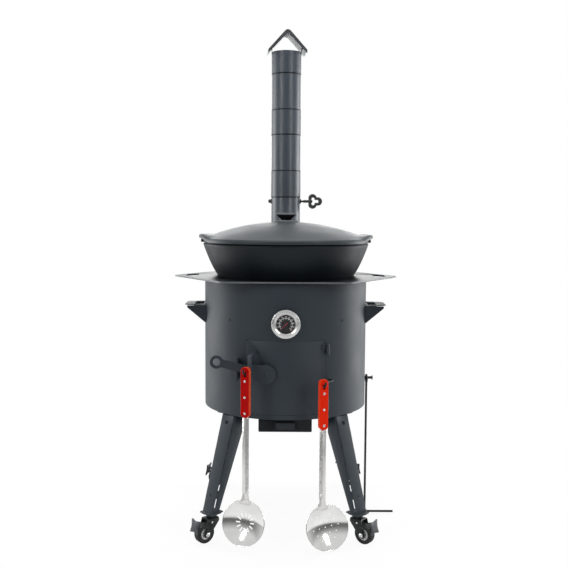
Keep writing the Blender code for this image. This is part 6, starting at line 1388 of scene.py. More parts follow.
dome = dome_line(LID_DOME_RADIUS, reach, 36)
dome += arc((lid_edge - 0.0026, edge_top - 0.0020), 0.0026, radians(70), 0, 5)
dome += arc((lid_edge - 0.0016, edge_low + 0.0016), 0.0016, 0, -pi / 2, 4)
dome += [(band + 0.0016, edge_low), (band + 0.0008, edge_low + 0.0008)]
dome += [(band + 0.0008, lid_seat), (skirt_out, lid_seat)]
dome += [(skirt_out, lid_seat - 0.005), (skirt_out - 0.001, lid_seat - 0.006)]
dome += [(skirt_in + 0.001, lid_seat - 0.006), (skirt_in, lid_seat - 0.005)]
inner_reach = asin(skirt_in / inner_dome)
dome += dome_line(inner_dome, inner_reach, 30)[::-1]
lid_dome = turned("dome", dome, 160, LID_IRON, sharp=40)


def eased_share(value, start, end):
    """From nothing to one between two values, slow at both ends."""
    share = min(1.0, max(0.0, (value - start) / (end - start)))
    return share * share * (3 - 2 * share)


for corner in lid_dome.data.vertices:
    out = max(corner.co.to_2d().length, 0.0001)
    swing = degrees(acos(min(1.0, abs(corner.co.x) / out)))
    share = eased_share(swing, LOBE_SWING_START, LOBE_SWING_FULL)
    share *= eased_share(out, LOBE_START_RADIUS, lid_edge)
    corner.co.z += share * (LOBE_RISE if corner.co.z > CAULDRON_RIM + 0.001 else LOBE_UNDERSIDE_RISE)
    corner.co.xy *= 1 + share * LOBE_REACH / out
pad_loop = [(x * LID_PAD_HALF_WIDTH / LID_PAD_HALF_DEPTH, y) for x, y in circle(LID_PAD_HALF_DEPTH, 64)]
pad_tall = LID_PAD_HEIGHT + 0.002
pad = soften(slab("pad", pad_loop, pad_tall, PALE_IRON), 0.0016, 4)
pad.location = STOVE_AXIS + UP * (lid_apex - 0.002 + pad_tall / 2)
stem_top = lid_apex + KNOB_STEM_HEIGHT
flare_top = stem_top + KNOB_FLARE_HEIGHT
side = [(KNOB_STEM_HALF_WIDTH, lid_apex), (KNOB_STEM_HALF_WIDTH, stem_top)]
side += [(KNOB_FLARE_HALF_WIDTH, flare_top + 0.001)]
stem_line = rounded(side + [(-x, z) for x, z in reversed(side)], [0, 0.005, 0.001, 0.001, 0.005, 0], 5)
stem = slab("stem", stem_line, KNOB_DEPTH, KNOB_SHADE_IRON)
lay(soften(stem, 0.0022, 4), (0, 0, 0))
wide, deep = KNOB_BAR_HALF_WIDTH, KNOB_BAR_HALF_DEPTH
bar_loop = rounded(oblong(-wide, wide, -deep, deep), 0.003, 5)
bar = soften(slab("bar", bar_loop, KNOB_BAR_THICKNESS, PALE_IRON), 0.0018, 4)
bar.location = STOVE_AXIS + UP * (flare_top + 0.0027)
lid = together("domed_lid", [lid_dome, pad, stem, bar])
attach(lid, "lid")
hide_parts("lid")

# Chimney: a closed tee that stands on its branch through the shell, the damper's pipe, two plain pipes
# and two sleeves, rolled from thin coated sheet with a folded seam at the back. A black ring at each
# joint is painted shadow of the gap where a pipe leaves its sleeve, and small rivets hold it.
tee_low, tee_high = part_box("flue_tee")
CHIMNEY_Y = 0.2846
PIPE_RADIUS = 0.0440
PIPE_WALL = 0.0010
SLEEVE_RADIUS = 0.0451
SLEEVE_WALL = 0.0008
BRANCH_RADIUS = 0.0400
SOCKET_DEPTH = 0.025
GAP_SHADOW_WIDTH = 0.0044
GAP_SHADOW_RISE = 0.0011
SEAM_HALF_WIDTH = 0.0032
RIVET_INSET = 0.006
JOINT_RIVET_BEARINGS = (-120, 120, 180)
UPPER_SLEEVE_SHORTER = 0.005
PIPE_SIDES = 96

CHIMNEY_SLATE = (0.046, 0.060, 0.076, 1)
CHIMNEY_COAT = powder_coat("chimney_powder_coat", CHIMNEY_SLATE, 0.42, 0.32, drift=0.12, shine=0.55)
# Black rings at the pipe joints: painted shadow of the gaps at the sleeves' ends.
GAP_SHADOW_BLACK = moulded("black_gap_painted_shadow", (0.003, 0.004, 0.005, 1), 0.40, 0.0002, shine=0.2)


def on_chimney(obj):
    obj.location = STOVE_AXIS + Vector((0, CHIMNEY_Y, 0))
    return obj


def pipe_ring(name, low, high, radius=PIPE_RADIUS, wall=PIPE_WALL):
    """An open pipe with its cut ends broken; inside, the smoke has blackened it."""
    bore, edge = radius - wall, 0.0003
    line = [(bore, low + edge), (bore + edge, low), (radius - edge, low), (radius, low + edge)]
    line += [(radius, high - edge), (radius - edge, high), (bore + edge, high), (bore, high - edge)]
    ring = turned(name, line, PIPE_SIDES, CHIMNEY_COAT, SOOTED_STEEL, ring=True)
    for face in ring.data.polygons:
        face.material_index = int(face.center.to_2d().length < radius - wall * 0.8)
    return on_chimney(ring)


def back_seam(low, high, radius=PIPE_RADIUS):
    """The folded lock seam down the back of a pipe."""
    line = rounded(oblong(-SEAM_HALF_WIDTH, SEAM_HALF_WIDTH, low, high), 0.0006, 2)
    seam = soften(slab("seam", line, 0.0014, CHIMNEY_COAT), 0.0005, 2)
    return lay(seam, (0, CHIMNEY_Y + radius + 0.0002, 0), (-1, 0, 0))


def joint_rivets(z):
    """The rivets through a sleeve; none stands at its front."""
    pins = []
    for turn in JOINT_RIVET_BEARINGS:
        out = outward(radians(turn))
        spot = Vector((0, CHIMNEY_Y, z)) + out * (SLEEVE_RADIUS - 0.0002)
        pins.append(domed_pin("rivet", spot, out, 0.0021, 0.0011, BRIGHT_ZINC, 16))
    return pins


def gap_shadow_ring(z):
    """A black ring where a pipe leaves its sleeve: painted shadow of the gap there."""
    r, w = PIPE_RADIUS, GAP_SHADOW_WIDTH / 2
    line = [(r - 0.0004, z - w), (r + 0.0004, z - w), (r + 0.0009, z - w * 0.4), (r + 0.0009, z + w * 0.4)]
    line += [(r + 0.0004, z + w), (r - 0.0004, z + w)]
    return on_chimney(turned("gap_shadow", line, PIPE_SIDES, GAP_SHADOW_BLACK, ring=True))


def solid_rod(name, centre, axis, radius, length, coat, sides=PIPE_SIDES):
    """A plain round bar along an axis, about its centre."""
    half = length / 2
    rod = turned(name, [(0, -half), (radius, -half), (radius, half), (0, half)], sides, coat)
    return facing_along(rod, centre, axis)


def chimney_piece(name, node_name, pieces, body="stove"):
    """One piece of the chimney in the place of its node."""
    piece = together(name, pieces)
    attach(piece, body)
    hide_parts(node_name)
    return piece


flue_low, tee_top = tee_low.z, tee_high.z
branch_z = BODY_TOP - BRANCH_DROP
branch_start = BODY_RADIUS - 2 * SHELL_WALL
branch_length = CHIMNEY_Y - branch_start
branch_middle = (branch_start + CHIMNEY_Y) / 2
tee_middle = Vector((0, CHIMNEY_Y, (flue_low + tee_top) / 2))
tee_tall = tee_top - flue_low
tee = solid_rod("tee", tee_middle, UP, PIPE_RADIUS, tee_tall, CHIMNEY_COAT)
spot, back = Vector((0, branch_middle, branch_z)), Vector((0, 1, 0))
carved(tee, [solid_rod("branch", spot, back, BRANCH_RADIUS, branch_length, CHIMNEY_COAT, 72)], "UNION")
tee_bore, branch_bore = PIPE_RADIUS - PIPE_WALL, BRANCH_RADIUS - PIPE_WALL
bore_length = branch_length + 0.002
bores = [solid_rod("bore", tee_middle + UP * PIPE_WALL, UP, tee_bore, tee_tall, SOOTED_STEEL)]
bores.append(solid_rod("bore", spot - back * 0.001, back, branch_bore, bore_length, SOOTED_STEEL, 72))
carved(tee, [together("bores", bores)])
seat_line = [(0, 0.0002), (0.0012, 0.0006), (0.0016, 0.0016), (0.0012, 0.0026), (0, 0.003)]
seat_line = [(PIPE_RADIUS + out, flue_low + z) for out, z in seat_line]
tee_seat = turned("tee_floor_bead", seat_line, PIPE_SIDES, CHIMNEY_COAT, ring=True)


def branch_weld(name, radius, wall_centre, way, wall_radius, bead, coat):
    """The rippled bead round the branch where it meets a round wall, on both their curves."""
    line = [Vector((x, wall_centre + way * sqrt(wall_radius ** 2 - x ** 2), branch_z + z))
            for x, z in circle(radius, 96)]
    return tube(name, line, bead, coat, closed=True, swell=[1, 1.15] * 48)


tee_wall, shell_wall = PIPE_RADIUS + 0.0002, BODY_RADIUS + 0.0004
tee_weld = branch_weld("branch_weld", BRANCH_RADIUS, CHIMNEY_Y, -1, tee_wall, 0.0013, CHIMNEY_COAT)
shell_weld = branch_weld("shell_weld", BRANCH_RADIUS + 0.0006, 0, 1, shell_wall, 0.0014, BODY_COAT)
chimney_piece("flue_tee_pipe", "flue_tee", [tee, on_chimney(tee_seat), tee_weld, shell_weld])

sleeve_low, sleeve_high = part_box("lower_coupling")
damper_top = (sleeve_low.z + sleeve_high.z) / 2
upper_low, upper_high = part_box("upper_coupling")
lower_top = (upper_low.z + upper_high.z) / 2
cap_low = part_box("rain_cap")[0]
upper_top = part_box("chimney_pipe_upper")[1].z
upper_sleeve_top = upper_high.z - UPPER_SLEEVE_SHORTER
ledge = tee_top + CLEARANCE
low = tee_top - SOCKET_DEPTH
slip = PIPE_RADIUS + CLEARANCE
socket_line = [(PIPE_RADIUS, damper_top - 0.0003), (PIPE_RADIUS, ledge + 0.003)]
socket_line += [(SLEEVE_RADIUS, ledge + 0.0013), (SLEEVE_RADIUS, low + 0.0003)]
socket_line += [(SLEEVE_RADIUS - 0.0003, low), (slip, low), (slip, ledge)]
socket_line += [(tee_bore, ledge), (tee_bore, damper_top)]
damper_pipe = on_chimney(turned("damper_pipe_wall", socket_line, PIPE_SIDES, CHIMNEY_COAT, ring=True))
disc_box_low, disc_box_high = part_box("damper_disc")
damper_z = (disc_box_low.z + disc_box_high.z) / 2
bush_line = [(0.0034, 0.0004), (0.0034, 0.0036), (0.0052, 0.0036), (0.0074, 0.0022)]
bush_line += [(0.0076, 0.0016), (0.0076, -0.0006)]
bushes = []
for way in (-1, 1):
    bush = turned("rod_bush", bush_line, 36, CASTER_BLACK, ring=True)
    bushes.append(lay(bush, (way * (PIPE_RADIUS - 0.0004), CHIMNEY_Y, damper_z), (0, way, 0)))
pieces = [damper_pipe, back_seam(ledge + 0.004, damper_top - 0.040), gap_shadow_ring(sleeve_low.z - GAP_SHADOW_RISE)]
chimney_piece("damper_pipe_wall", "damper_pipe", pieces + bushes)
pieces = [pipe_ring("pipe", damper_top + CLEARANCE, lower_top)]
pieces.append(back_seam(sleeve_high.z + 0.003, upper_low.z - 0.003))
pieces += [gap_shadow_ring(sleeve_high.z + GAP_SHADOW_RISE), gap_shadow_ring(upper_low.z - GAP_SHADOW_RISE)]
chimney_piece("lower_chimney_pipe", "chimney_pipe_lower", pieces)
pieces = [pipe_ring("pipe", lower_top + CLEARANCE, upper_top)]
pieces.append(back_seam(upper_sleeve_top + 0.003, cap_low.z + 0.015))
pieces.append(gap_shadow_ring(upper_sleeve_top + GAP_SHADOW_RISE))
chimney_piece("upper_chimney_pipe", "chimney_pipe_upper", pieces)
for label, low, high in (("lower", sleeve_low.z, sleeve_high.z), ("upper", upper_low.z, upper_sleeve_top)):
    pieces = [pipe_ring("sleeve", low, high, SLEEVE_RADIUS, SLEEVE_WALL)]
    pieces += joint_rivets(low + RIVET_INSET) + joint_rivets(high - RIVET_INSET)
    pieces.append(back_seam(low + 0.002, high - 0.002, SLEEVE_RADIUS))
    chimney_piece(label + "_chimney_sleeve", label + "_coupling", pieces)

# Rain cap: a roof folded from one sheet over a round crest, with a flange turned down at its front,
# tacked at both sides to a collar that slips over the top pipe. It stands turned a little.
CAP_HALF_WIDTH = 0.0578
CAP_RISE = 0.0492
CAP_HALF_DEPTH = 0.051
CAP_SHEET = 0.0012
CAP_CREST_ROUNDING = 0.0112
CAP_TURN = radians(4)
CAP_GABLE = 0.0092
CAP_SEAT_RISE = 0.0336
COLLAR_TALL = 0.0639
COLLAR_DROP = 0.0435
TAB_WIDTH = 0.016
collar_low = upper_top - COLLAR_DROP
rim = upper_top + CAP_SEAT_RISE
seat = SLEEVE_RADIUS - SLEEVE_WALL / 2
cap_slope = atan2(CAP_RISE, seat)
eaves = rim - (CAP_HALF_WIDTH - seat) * tan(cap_slope)
sheet_rise = CAP_SHEET / cos(cap_slope)
roof_under = [(-CAP_HALF_WIDTH, eaves), (0, rim + CAP_RISE), (CAP_HALF_WIDTH, eaves)]
roof_top = [(-x, z + sheet_rise) for x, z in roof_under]
cap_across = Vector((cos(CAP_TURN), sin(CAP_TURN), 0))
roof_line = rounded(roof_top, [0, CAP_CREST_ROUNDING, 0], 14)
roof_line += rounded(roof_under, [0, CAP_CREST_ROUNDING - CAP_SHEET, 0], 14)
CAP_COAT = moulded("cap_powder_coat", (0.036, 0.042, 0.050, 1), 0.48)
# The roof's underside takes a pale copy of the cap's coat: painted light where it faces down.
CAP_UNDERSIDE_PAINTED_LIGHT = moulded("cap_underside_painted_light", (0.19, 0.20, 0.21, 1), 0.42)
roof = slab("roof", roof_line, 2 * CAP_HALF_DEPTH, CAP_COAT, CAP_UNDERSIDE_PAINTED_LIGHT)
# Faces turned down take the pale, painted-light copy.
for face in roof.data.polygons:
    face.material_index = int(face.normal.y < -0.2 and abs(face.normal.z) < 0.5)
lay(soften(roof, 0.0003, 1), (0, CHIMNEY_Y, 0), cap_across)
flange_low, flange_peak = eaves - CAP_GABLE, rim + CAP_RISE - CAP_GABLE / cos(cap_slope)
flange_under = [(-CAP_HALF_WIDTH, flange_low), (0, flange_peak), (CAP_HALF_WIDTH, flange_low)]
flange_line = rounded([(x, z - 0.0002) for x, z in roof_top], [0, CAP_CREST_ROUNDING, 0], 14)
flange_line += rounded(flange_under, [0, CAP_CREST_ROUNDING - CAP_GABLE, 0], 14)
flange = soften(slab("gable", flange_line, CAP_SHEET, CAP_COAT), 0.0003, 1)
cap_front = outward(CAP_TURN) * (CAP_HALF_DEPTH + CAP_SHEET / 2 + 0.00005)
lay(flange, Vector((0, CHIMNEY_Y, 0)) + cap_front, cap_across)
collar = pipe_ring("collar", collar_low, collar_low + COLLAR_TALL, SLEEVE_RADIUS, SLEEVE_WALL)
tacks = []
for way in (-1, 1):
    half = TAB_WIDTH / 2
    tab_line = oblong(-half, half, collar_low + COLLAR_TALL - 0.010, rim + 0.0004)
    tab_line = rounded(tab_line, [0.003, 0.003, 0.0006, 0.0006], 4)
    tab = soften(slab("tab", tab_line, 0.0016, CAP_COAT), 0.0004)
    tacks.append(lay(tab, (way * (SLEEVE_RADIUS - 0.0009), CHIMNEY_Y, 0), (0, way, 0)))
cap_pieces = [roof, collar, gap_shadow_ring(collar_low - GAP_SHADOW_RISE), flange] + tacks
chimney_piece("folded_rain_cap", "rain_cap", cap_pieces + joint_rivets(collar_low + RIVET_INSET))

# Damper: a disc cut from sheet and welded to a round rod across the pipe, with a hexagon stop at one
# end. The cast key, three lobes about an opening, is pushed on the other end.
KEY_LOBE_RADIUS = 0.0128
KEY_LOBE_RING = 0.011
KEY_HOLE_LOBE_RADIUS = 0.0047
KEY_HOLE_RING = 0.0080
KEY_HOLE_RADIUS = 0.0056
KEY_THICKNESS = 0.006
KEY_REACH = 0.0434
ROD_RADIUS = 0.003
ROD_REACH = 0.018
STOP_REACH = 0.004
KEY_IRON = cast_iron("key_cast_iron", (0.045, 0.050, 0.048, 1), (0.075, 0.080, 0.075, 1), 0.48, 0.62, 0.0004)


def trefoil(ring, lobe, core, steps=120):
    """Three round lobes about a round middle, one pointing across."""
    loop = []
    for i in range(steps):
        turn = 2 * pi * i / steps
        reach = core
        for k in range(3):
            off = turn - 2 * pi * k / 3
            miss = ring * sin(off)
            if abs(miss) < lobe and (ring < lobe or cos(off) > 0):
                reach = max(reach, ring * cos(off) + sqrt(lobe ** 2 - miss ** 2))
        loop.append((reach * cos(turn), reach * sin(turn)))
    return loop


at_damper = Vector((0, CHIMNEY_Y, damper_z))
disc_radius = PIPE_RADIUS - PIPE_WALL - 0.0018
flat = disc_radius - 0.0004
disc_line = [(0, 0.001), (flat, 0.001), (disc_radius, 0.0006)]
disc_line += [(x, -z) for x, z in reversed(disc_line)]
disc = lay(turned("disc", disc_line, 72, SOOTED_STEEL), at_damper)
left, right = -(PIPE_RADIUS + STOP_REACH), PIPE_RADIUS + ROD_REACH
rod_middle = at_damper + Vector(((left + right) / 2, 0, 0))
rod = solid_rod("rod", rod_middle, (1, 0, 0), ROD_RADIUS, right - left, CASTER_BLACK, 28)
stop = hex_bolt("stop", at_damper + Vector((left + 0.001, 0, 0)), (-1, 0, 0), 0.0095, 0.006, CASTER_BLACK)
chimney_piece("damper_disc_and_rod", "damper_disc", [disc, rod, stop], "damper")
key_loops = [trefoil(KEY_LOBE_RING, KEY_LOBE_RADIUS, 0.004)]
key_loops.append(trefoil(KEY_HOLE_RING, KEY_HOLE_LOBE_RADIUS, KEY_HOLE_RADIUS))
key_plate = cut_sheet("key_plate", key_loops, KEY_IRON)
thicken(key_plate, KEY_THICKNESS, 0.0, 0.0015)
key_plate.modifiers["broken_edges"].segments = 3
lay(key_plate, at_damper + Vector((PIPE_RADIUS + KEY_REACH, 0, 0)))
boss_start = PIPE_RADIUS + 0.0100
boss_long = KEY_REACH - 0.0100 - KEY_LOBE_RING
boss_bore, boss_floor = ROD_RADIUS + CLEARANCE, boss_long - 0.010
boss_line = [(boss_bore, 0), (0.0040, 0), (0.0044, 0.0004), (0.0041, boss_long * 0.5), (0.0050, boss_long)]
boss_line += [(0, boss_long), (0, boss_floor), (boss_bore, boss_floor)]
boss = turned("boss", boss_line, 32, KEY_IRON)
lay(boss, at_damper + Vector((boss_start, 0, 0)), (0, 1, 0))
key = together("trefoil_key", [key_plate, boss])
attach(key, "damper")
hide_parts("damper_key")

# Hooks: a strap of flat steel bent down from the door, and a wire on the shell beyond the hinges, each
# ending in a round peg that is turned up so that a skimmer can't slide off.
HANG_RADIUS = 0.282
PEG_RADIUS = 0.0022
HOOK_STRAP_THICKNESS = 0.0025
STRAP_REACH = 0.039
STRAP_RISE = 0.044
STRAP_SLOPE = 0.005
GRIP_THICKNESS = 0.013
SLOTTED_BEARING = radians(-19.9)
HOLED_BEARING = radians(18.9)
WIRE_HOOK_BEARING = radians(29.6)
SLOTTED_HANG = BODY_BOTTOM + 0.1235
HOLED_HANG = BODY_BOTTOM + 0.0950
HANG_HOLE_HALF_HEIGHT = 0.006
HANG_HOLE_HALF_WIDTH = 0.003
PEG_TIP = HANG_RADIUS + GRIP_THICKNESS / 2 + 0.010
STRAP_COAT = powder_coat("strap_powder_coat", (0.045, 0.055, 0.068, 1), 0.48, 0.36, drift=0.2)


def eased(points, radius, steps=6):
    """A line through the points with each bend rounded, as wire takes it."""
    line = [Vector(points[0])]
    for before, here, after in zip(points, points[1:], points[2:]):
        here = Vector(here)
        first = (Vector(before) - here).normalized()
        last = (Vector(after) - here).normalized()
        reach = min(radius / tan(first.angle(last) / 2), (Vector(before) - here).length * 0.49,
                    (Vector(after) - here).length * 0.49)
        start, end = here + first * reach, here + last * reach
        for k in range(steps + 1):
            t = k / steps
            line.append(start * (1 - t) ** 2 + here * 2 * t * (1 - t) + end * t ** 2)
    return line + [Vector(points[-1])]


out = outward(SLOTTED_BEARING)
peg_z = SLOTTED_HANG + HANG_HOLE_HALF_HEIGHT - PEG_RADIUS - 0.0003
strap_front = BODY_RADIUS + STRAP_REACH
strap_top = peg_z + STRAP_RISE
strap_points = [Vector((-BODY_RADIUS - 0.0004, strap_top, 0)),
                Vector((-strap_front, strap_top - STRAP_SLOPE, 0)),
                Vector((-strap_front, peg_z - PEG_RADIUS, 0))]
strap_path = [(p.x, p.y) for p in eased(strap_points, 0.006)]
strap = ribbon("strap", strap_path, 0.010, HOOK_STRAP_THICKNESS, STRAP_COAT, 0.0005)
strap.matrix_world = Matrix.Translation(STOVE_AXIS) @ Matrix.Rotation(SLOTTED_BEARING, 4, "Z")
low = UP * peg_z
door_peg = tube("peg", eased([out * strap_front + low, out * (PEG_TIP - PEG_RADIUS) + low + UP * 0.0001,
                              out * PEG_TIP + low + UP * 0.011], 0.003), PEG_RADIUS, CURED_IRON)
strap_hook = together("door_strap_hook", [strap, door_peg])
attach(strap_hook, "door")
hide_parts("door_hook")

peg_z = HOLED_HANG + HANG_HOLE_HALF_HEIGHT - PEG_RADIUS - 0.0003
low = UP * peg_z
out = outward(HOLED_BEARING)
root_out = outward(WIRE_HOOK_BEARING)
wire_points = [root_out * (BODY_RADIUS + 0.0006) + low, root_out * (BODY_RADIUS + 0.0213) + low,
               out * (HANG_RADIUS - GRIP_THICKNESS) + sideways(HOLED_BEARING) * 0.00055 + low,
               out * (PEG_TIP - PEG_RADIUS) + low, out * PEG_TIP + low + UP * 0.011]
wire_bent = tube("bent_wire_hook", eased(wire_points, 0.0035), PEG_RADIUS, CURED_IRON)
foot_line = [(0, 0.0018), (0.0042, 0.0016), (0.0052, 0.0008), (0.0054, 0.0001), (0, 0.0001)]
wire_foot = turned("wire_foot", foot_line, 32, BODY_COAT)
lay(wire_foot, root_out * (BODY_RADIUS + 0.0003) + low, sideways(WIRE_HOOK_BEARING), UP)
wire_hook = together("bent_wire_hook", [wire_bent, wire_foot])
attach(wire_hook, "stove")
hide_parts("wire_hook")

# Skimmers: a bowl spun from stainless sheet and polished, welded to a flat bar with a hammered narrow
# side. Each grip is red laminated wood over the bar's tang, held by three polished rivets.
BOWL_RIM_RADIUS = 0.0555
BOWL_DEPTH = 0.014
BOWL_SHEET = 0.0014
RIM_WIDTH = 0.002
BOWL_TILT = radians(15)
SHAFT_WIDTH = 0.0155
SHAFT_THICKNESS = 0.005
NECK_WIDTH = 0.030
NECK_LENGTH = 0.028
SHAFT_BEVEL = 0.0042
GRIP_WIDTH = 0.0222
GRIP_LENGTH = 0.1236
GRIP_ROUNDING = 0.0028
GRIP_END_ROUNDING = 0.0095
HOLE_BELOW_TOP = 0.0186
RIVET_DROP = 0.0155
RIVET_PITCH = 0.0394

POLISHED = bare_metal("polished_stainless", (0.80, 0.80, 0.79, 1), 0.07, 0.13, (1.0, 1.0, 1.0), 0.00001)
BRUSHED = bare_metal("brushed_stainless_bar", (0.72, 0.715, 0.70, 1), 0.26, 0.40, (1.0, 1.0, 0.05), 0.00003)


def hammered_steel_painted_reflection():
    """The bar's narrow side: shallow peened dents, a few millimetres apart; its tone, darker on the ridges
    between the dents, is painted reflection.
    """
    made, tree, shader = finish("hammered_stainless_edge_painted_reflection", Metallic=1.0)
    links = {"Vector": own_place(tree), "Scale": 190.0}
    dents = node(tree, "TexVoronoi", links, feature="SMOOTH_F1").outputs["Distance"]
    # Darker towards the ridges between the dents: painted reflection.
    tone = mixed(tree, dents, (0.62, 0.62, 0.61, 1), (0.34, 0.34, 0.335, 1))
    feed(tree, shader, Base_Color=tone, Roughness=spread(tree, dents, 0.0, 0.8, 0.22, 0.45))
    bumped(tree, shader, dents, 0.0016, 0.7)
    return made


HAMMERED_PAINTED_REFLECTION = hammered_steel_painted_reflection()


def dyed_wood(name, colour, vein, gloss):
    """Pressed wood dyed through: close straight layers along the grip under a clear hard coat."""
    made, tree, shader = finish(name, Specular_IOR_Level=0.08)
    links = {0: own_place(tree), 1: (160.0, 160.0, 9.0)}
    layers = node(tree, "VectorMath", links, operation="MULTIPLY").outputs[0]
    grain = noise(tree, layers, 1.6, 4.0)
    tone = mixed(tree, spread(tree, grain, 0.35, 0.7, 0.0, 1.0), colour, vein)
    feed(tree, shader, Base_Color=tone, Roughness=spread(tree, grain, 0.3, 0.7, gloss, gloss + 0.12))
    bumped(tree, shader, grain, 0.0002, 0.15)
    return made


DEEP_RED = dyed_wood("deep_red_grip_wood", (0.46, 0.001, 0.001, 1), (0.38, 0.001, 0.001, 1), 0.34)
# The grips' narrow sides take a lighter, more orange copy of their wood: painted sheen along the rounded
# edges.
DEEP_RED_SIDE_SHEEN = dyed_wood("deep_red_grip_side_painted_sheen", (0.72, 0.085, 0.026, 1), (0.60, 0.05, 0.018, 1), 0.32)
BRIGHT_RED = dyed_wood("bright_red_grip_wood", (0.80, 0.020, 0.001, 1), (0.70, 0.015, 0.001, 1), 0.34)
BRIGHT_RED_SIDE_SHEEN = dyed_wood("bright_red_grip_side_painted_sheen", (0.76, 0.055, 0.014, 1), (0.66, 0.04, 0.010, 1), 0.32)

inner_rim = BOWL_RIM_RADIUS - RIM_WIDTH
bowl_curve = (inner_rim ** 2 + BOWL_DEPTH ** 2) / (2 * BOWL_DEPTH)
bowl_reach = asin(inner_rim / bowl_curve)
ball_centre = Vector((0, 0, bowl_curve - BOWL_DEPTH))


def spun_bowl(openings):
    """The shallow dish with its rolled rim; after the holes are punched its two faces shade as spun."""
    curve = [(bowl_curve * sin(bowl_reach * i / 22), ball_centre.z - bowl_curve * cos(bowl_reach * i / 22))
             for i in range(23)]
    lip = arc((BOWL_RIM_RADIUS - 0.0010, -0.0006), 0.0010, radians(110), radians(-80), 8)
    under = [(r, z - BOWL_SHEET) for r, z in reversed(curve[:-1])]
    bowl = turned("bowl", curve + lip + [(inner_rim, -BOWL_SHEET - 0.0001)] + under, 120, POLISHED, sharp=60)
    carved(bowl, [together("punches", openings)])
    mesh = bowl.data
    normals = [corner.vector.copy() for corner in mesh.corner_normals]
    for face in mesh.polygons:
        for k in face.loop_indices:
            spot = mesh.vertices[mesh.loops[k].vertex_index].co
            way = (spot - ball_centre).normalized()
            if abs(face.normal.dot(way)) > 0.93 and spot.to_2d().length < inner_rim + 0.0003:
                normals[k] = way if face.normal.dot(way) > 0 else -way
    mesh.normals_split_custom_set(normals)
    return bowl


def petal_slots():
    cutters = []
    for i in range(12):
        turn = 2 * pi * i / 12
        way = Vector((cos(turn), sin(turn), 0))
        slot = slab("slot", capsule(0.0058, 0.0017, 5), 0.04, POLISHED)
        cutters.append(lay(slot, way * 0.0185, way, (-way.y, way.x, 0)))
    return cutters


def round_holes():
    cutters = []
    for row in range(-4, 5):
        for column in range(-6, 7):
            x = (column + row / 2) * 0.0165
            y = row * 0.0165 * sqrt(3 / 4)
            if hypot(x, y) <= 0.036:
                hole = slab("hole", circle(0.0016, 14), 0.04, POLISHED)
                cutters.append(lay(hole, (x, y, 0), (1, 0, 0), (0, 1, 0)))
    return cutters


def bar_along(name, shape, thickness, spot, across, up, faces, sides, edge=0.0006):
    """A flat bar whose narrow sides have their own finish."""
    bar = slab(name, shape, thickness, faces, sides)
    for face in bar.data.polygons:
        face.material_index = int(abs(face.normal.z) < 0.5)
    return lay(soften(bar, edge), spot, across, up)


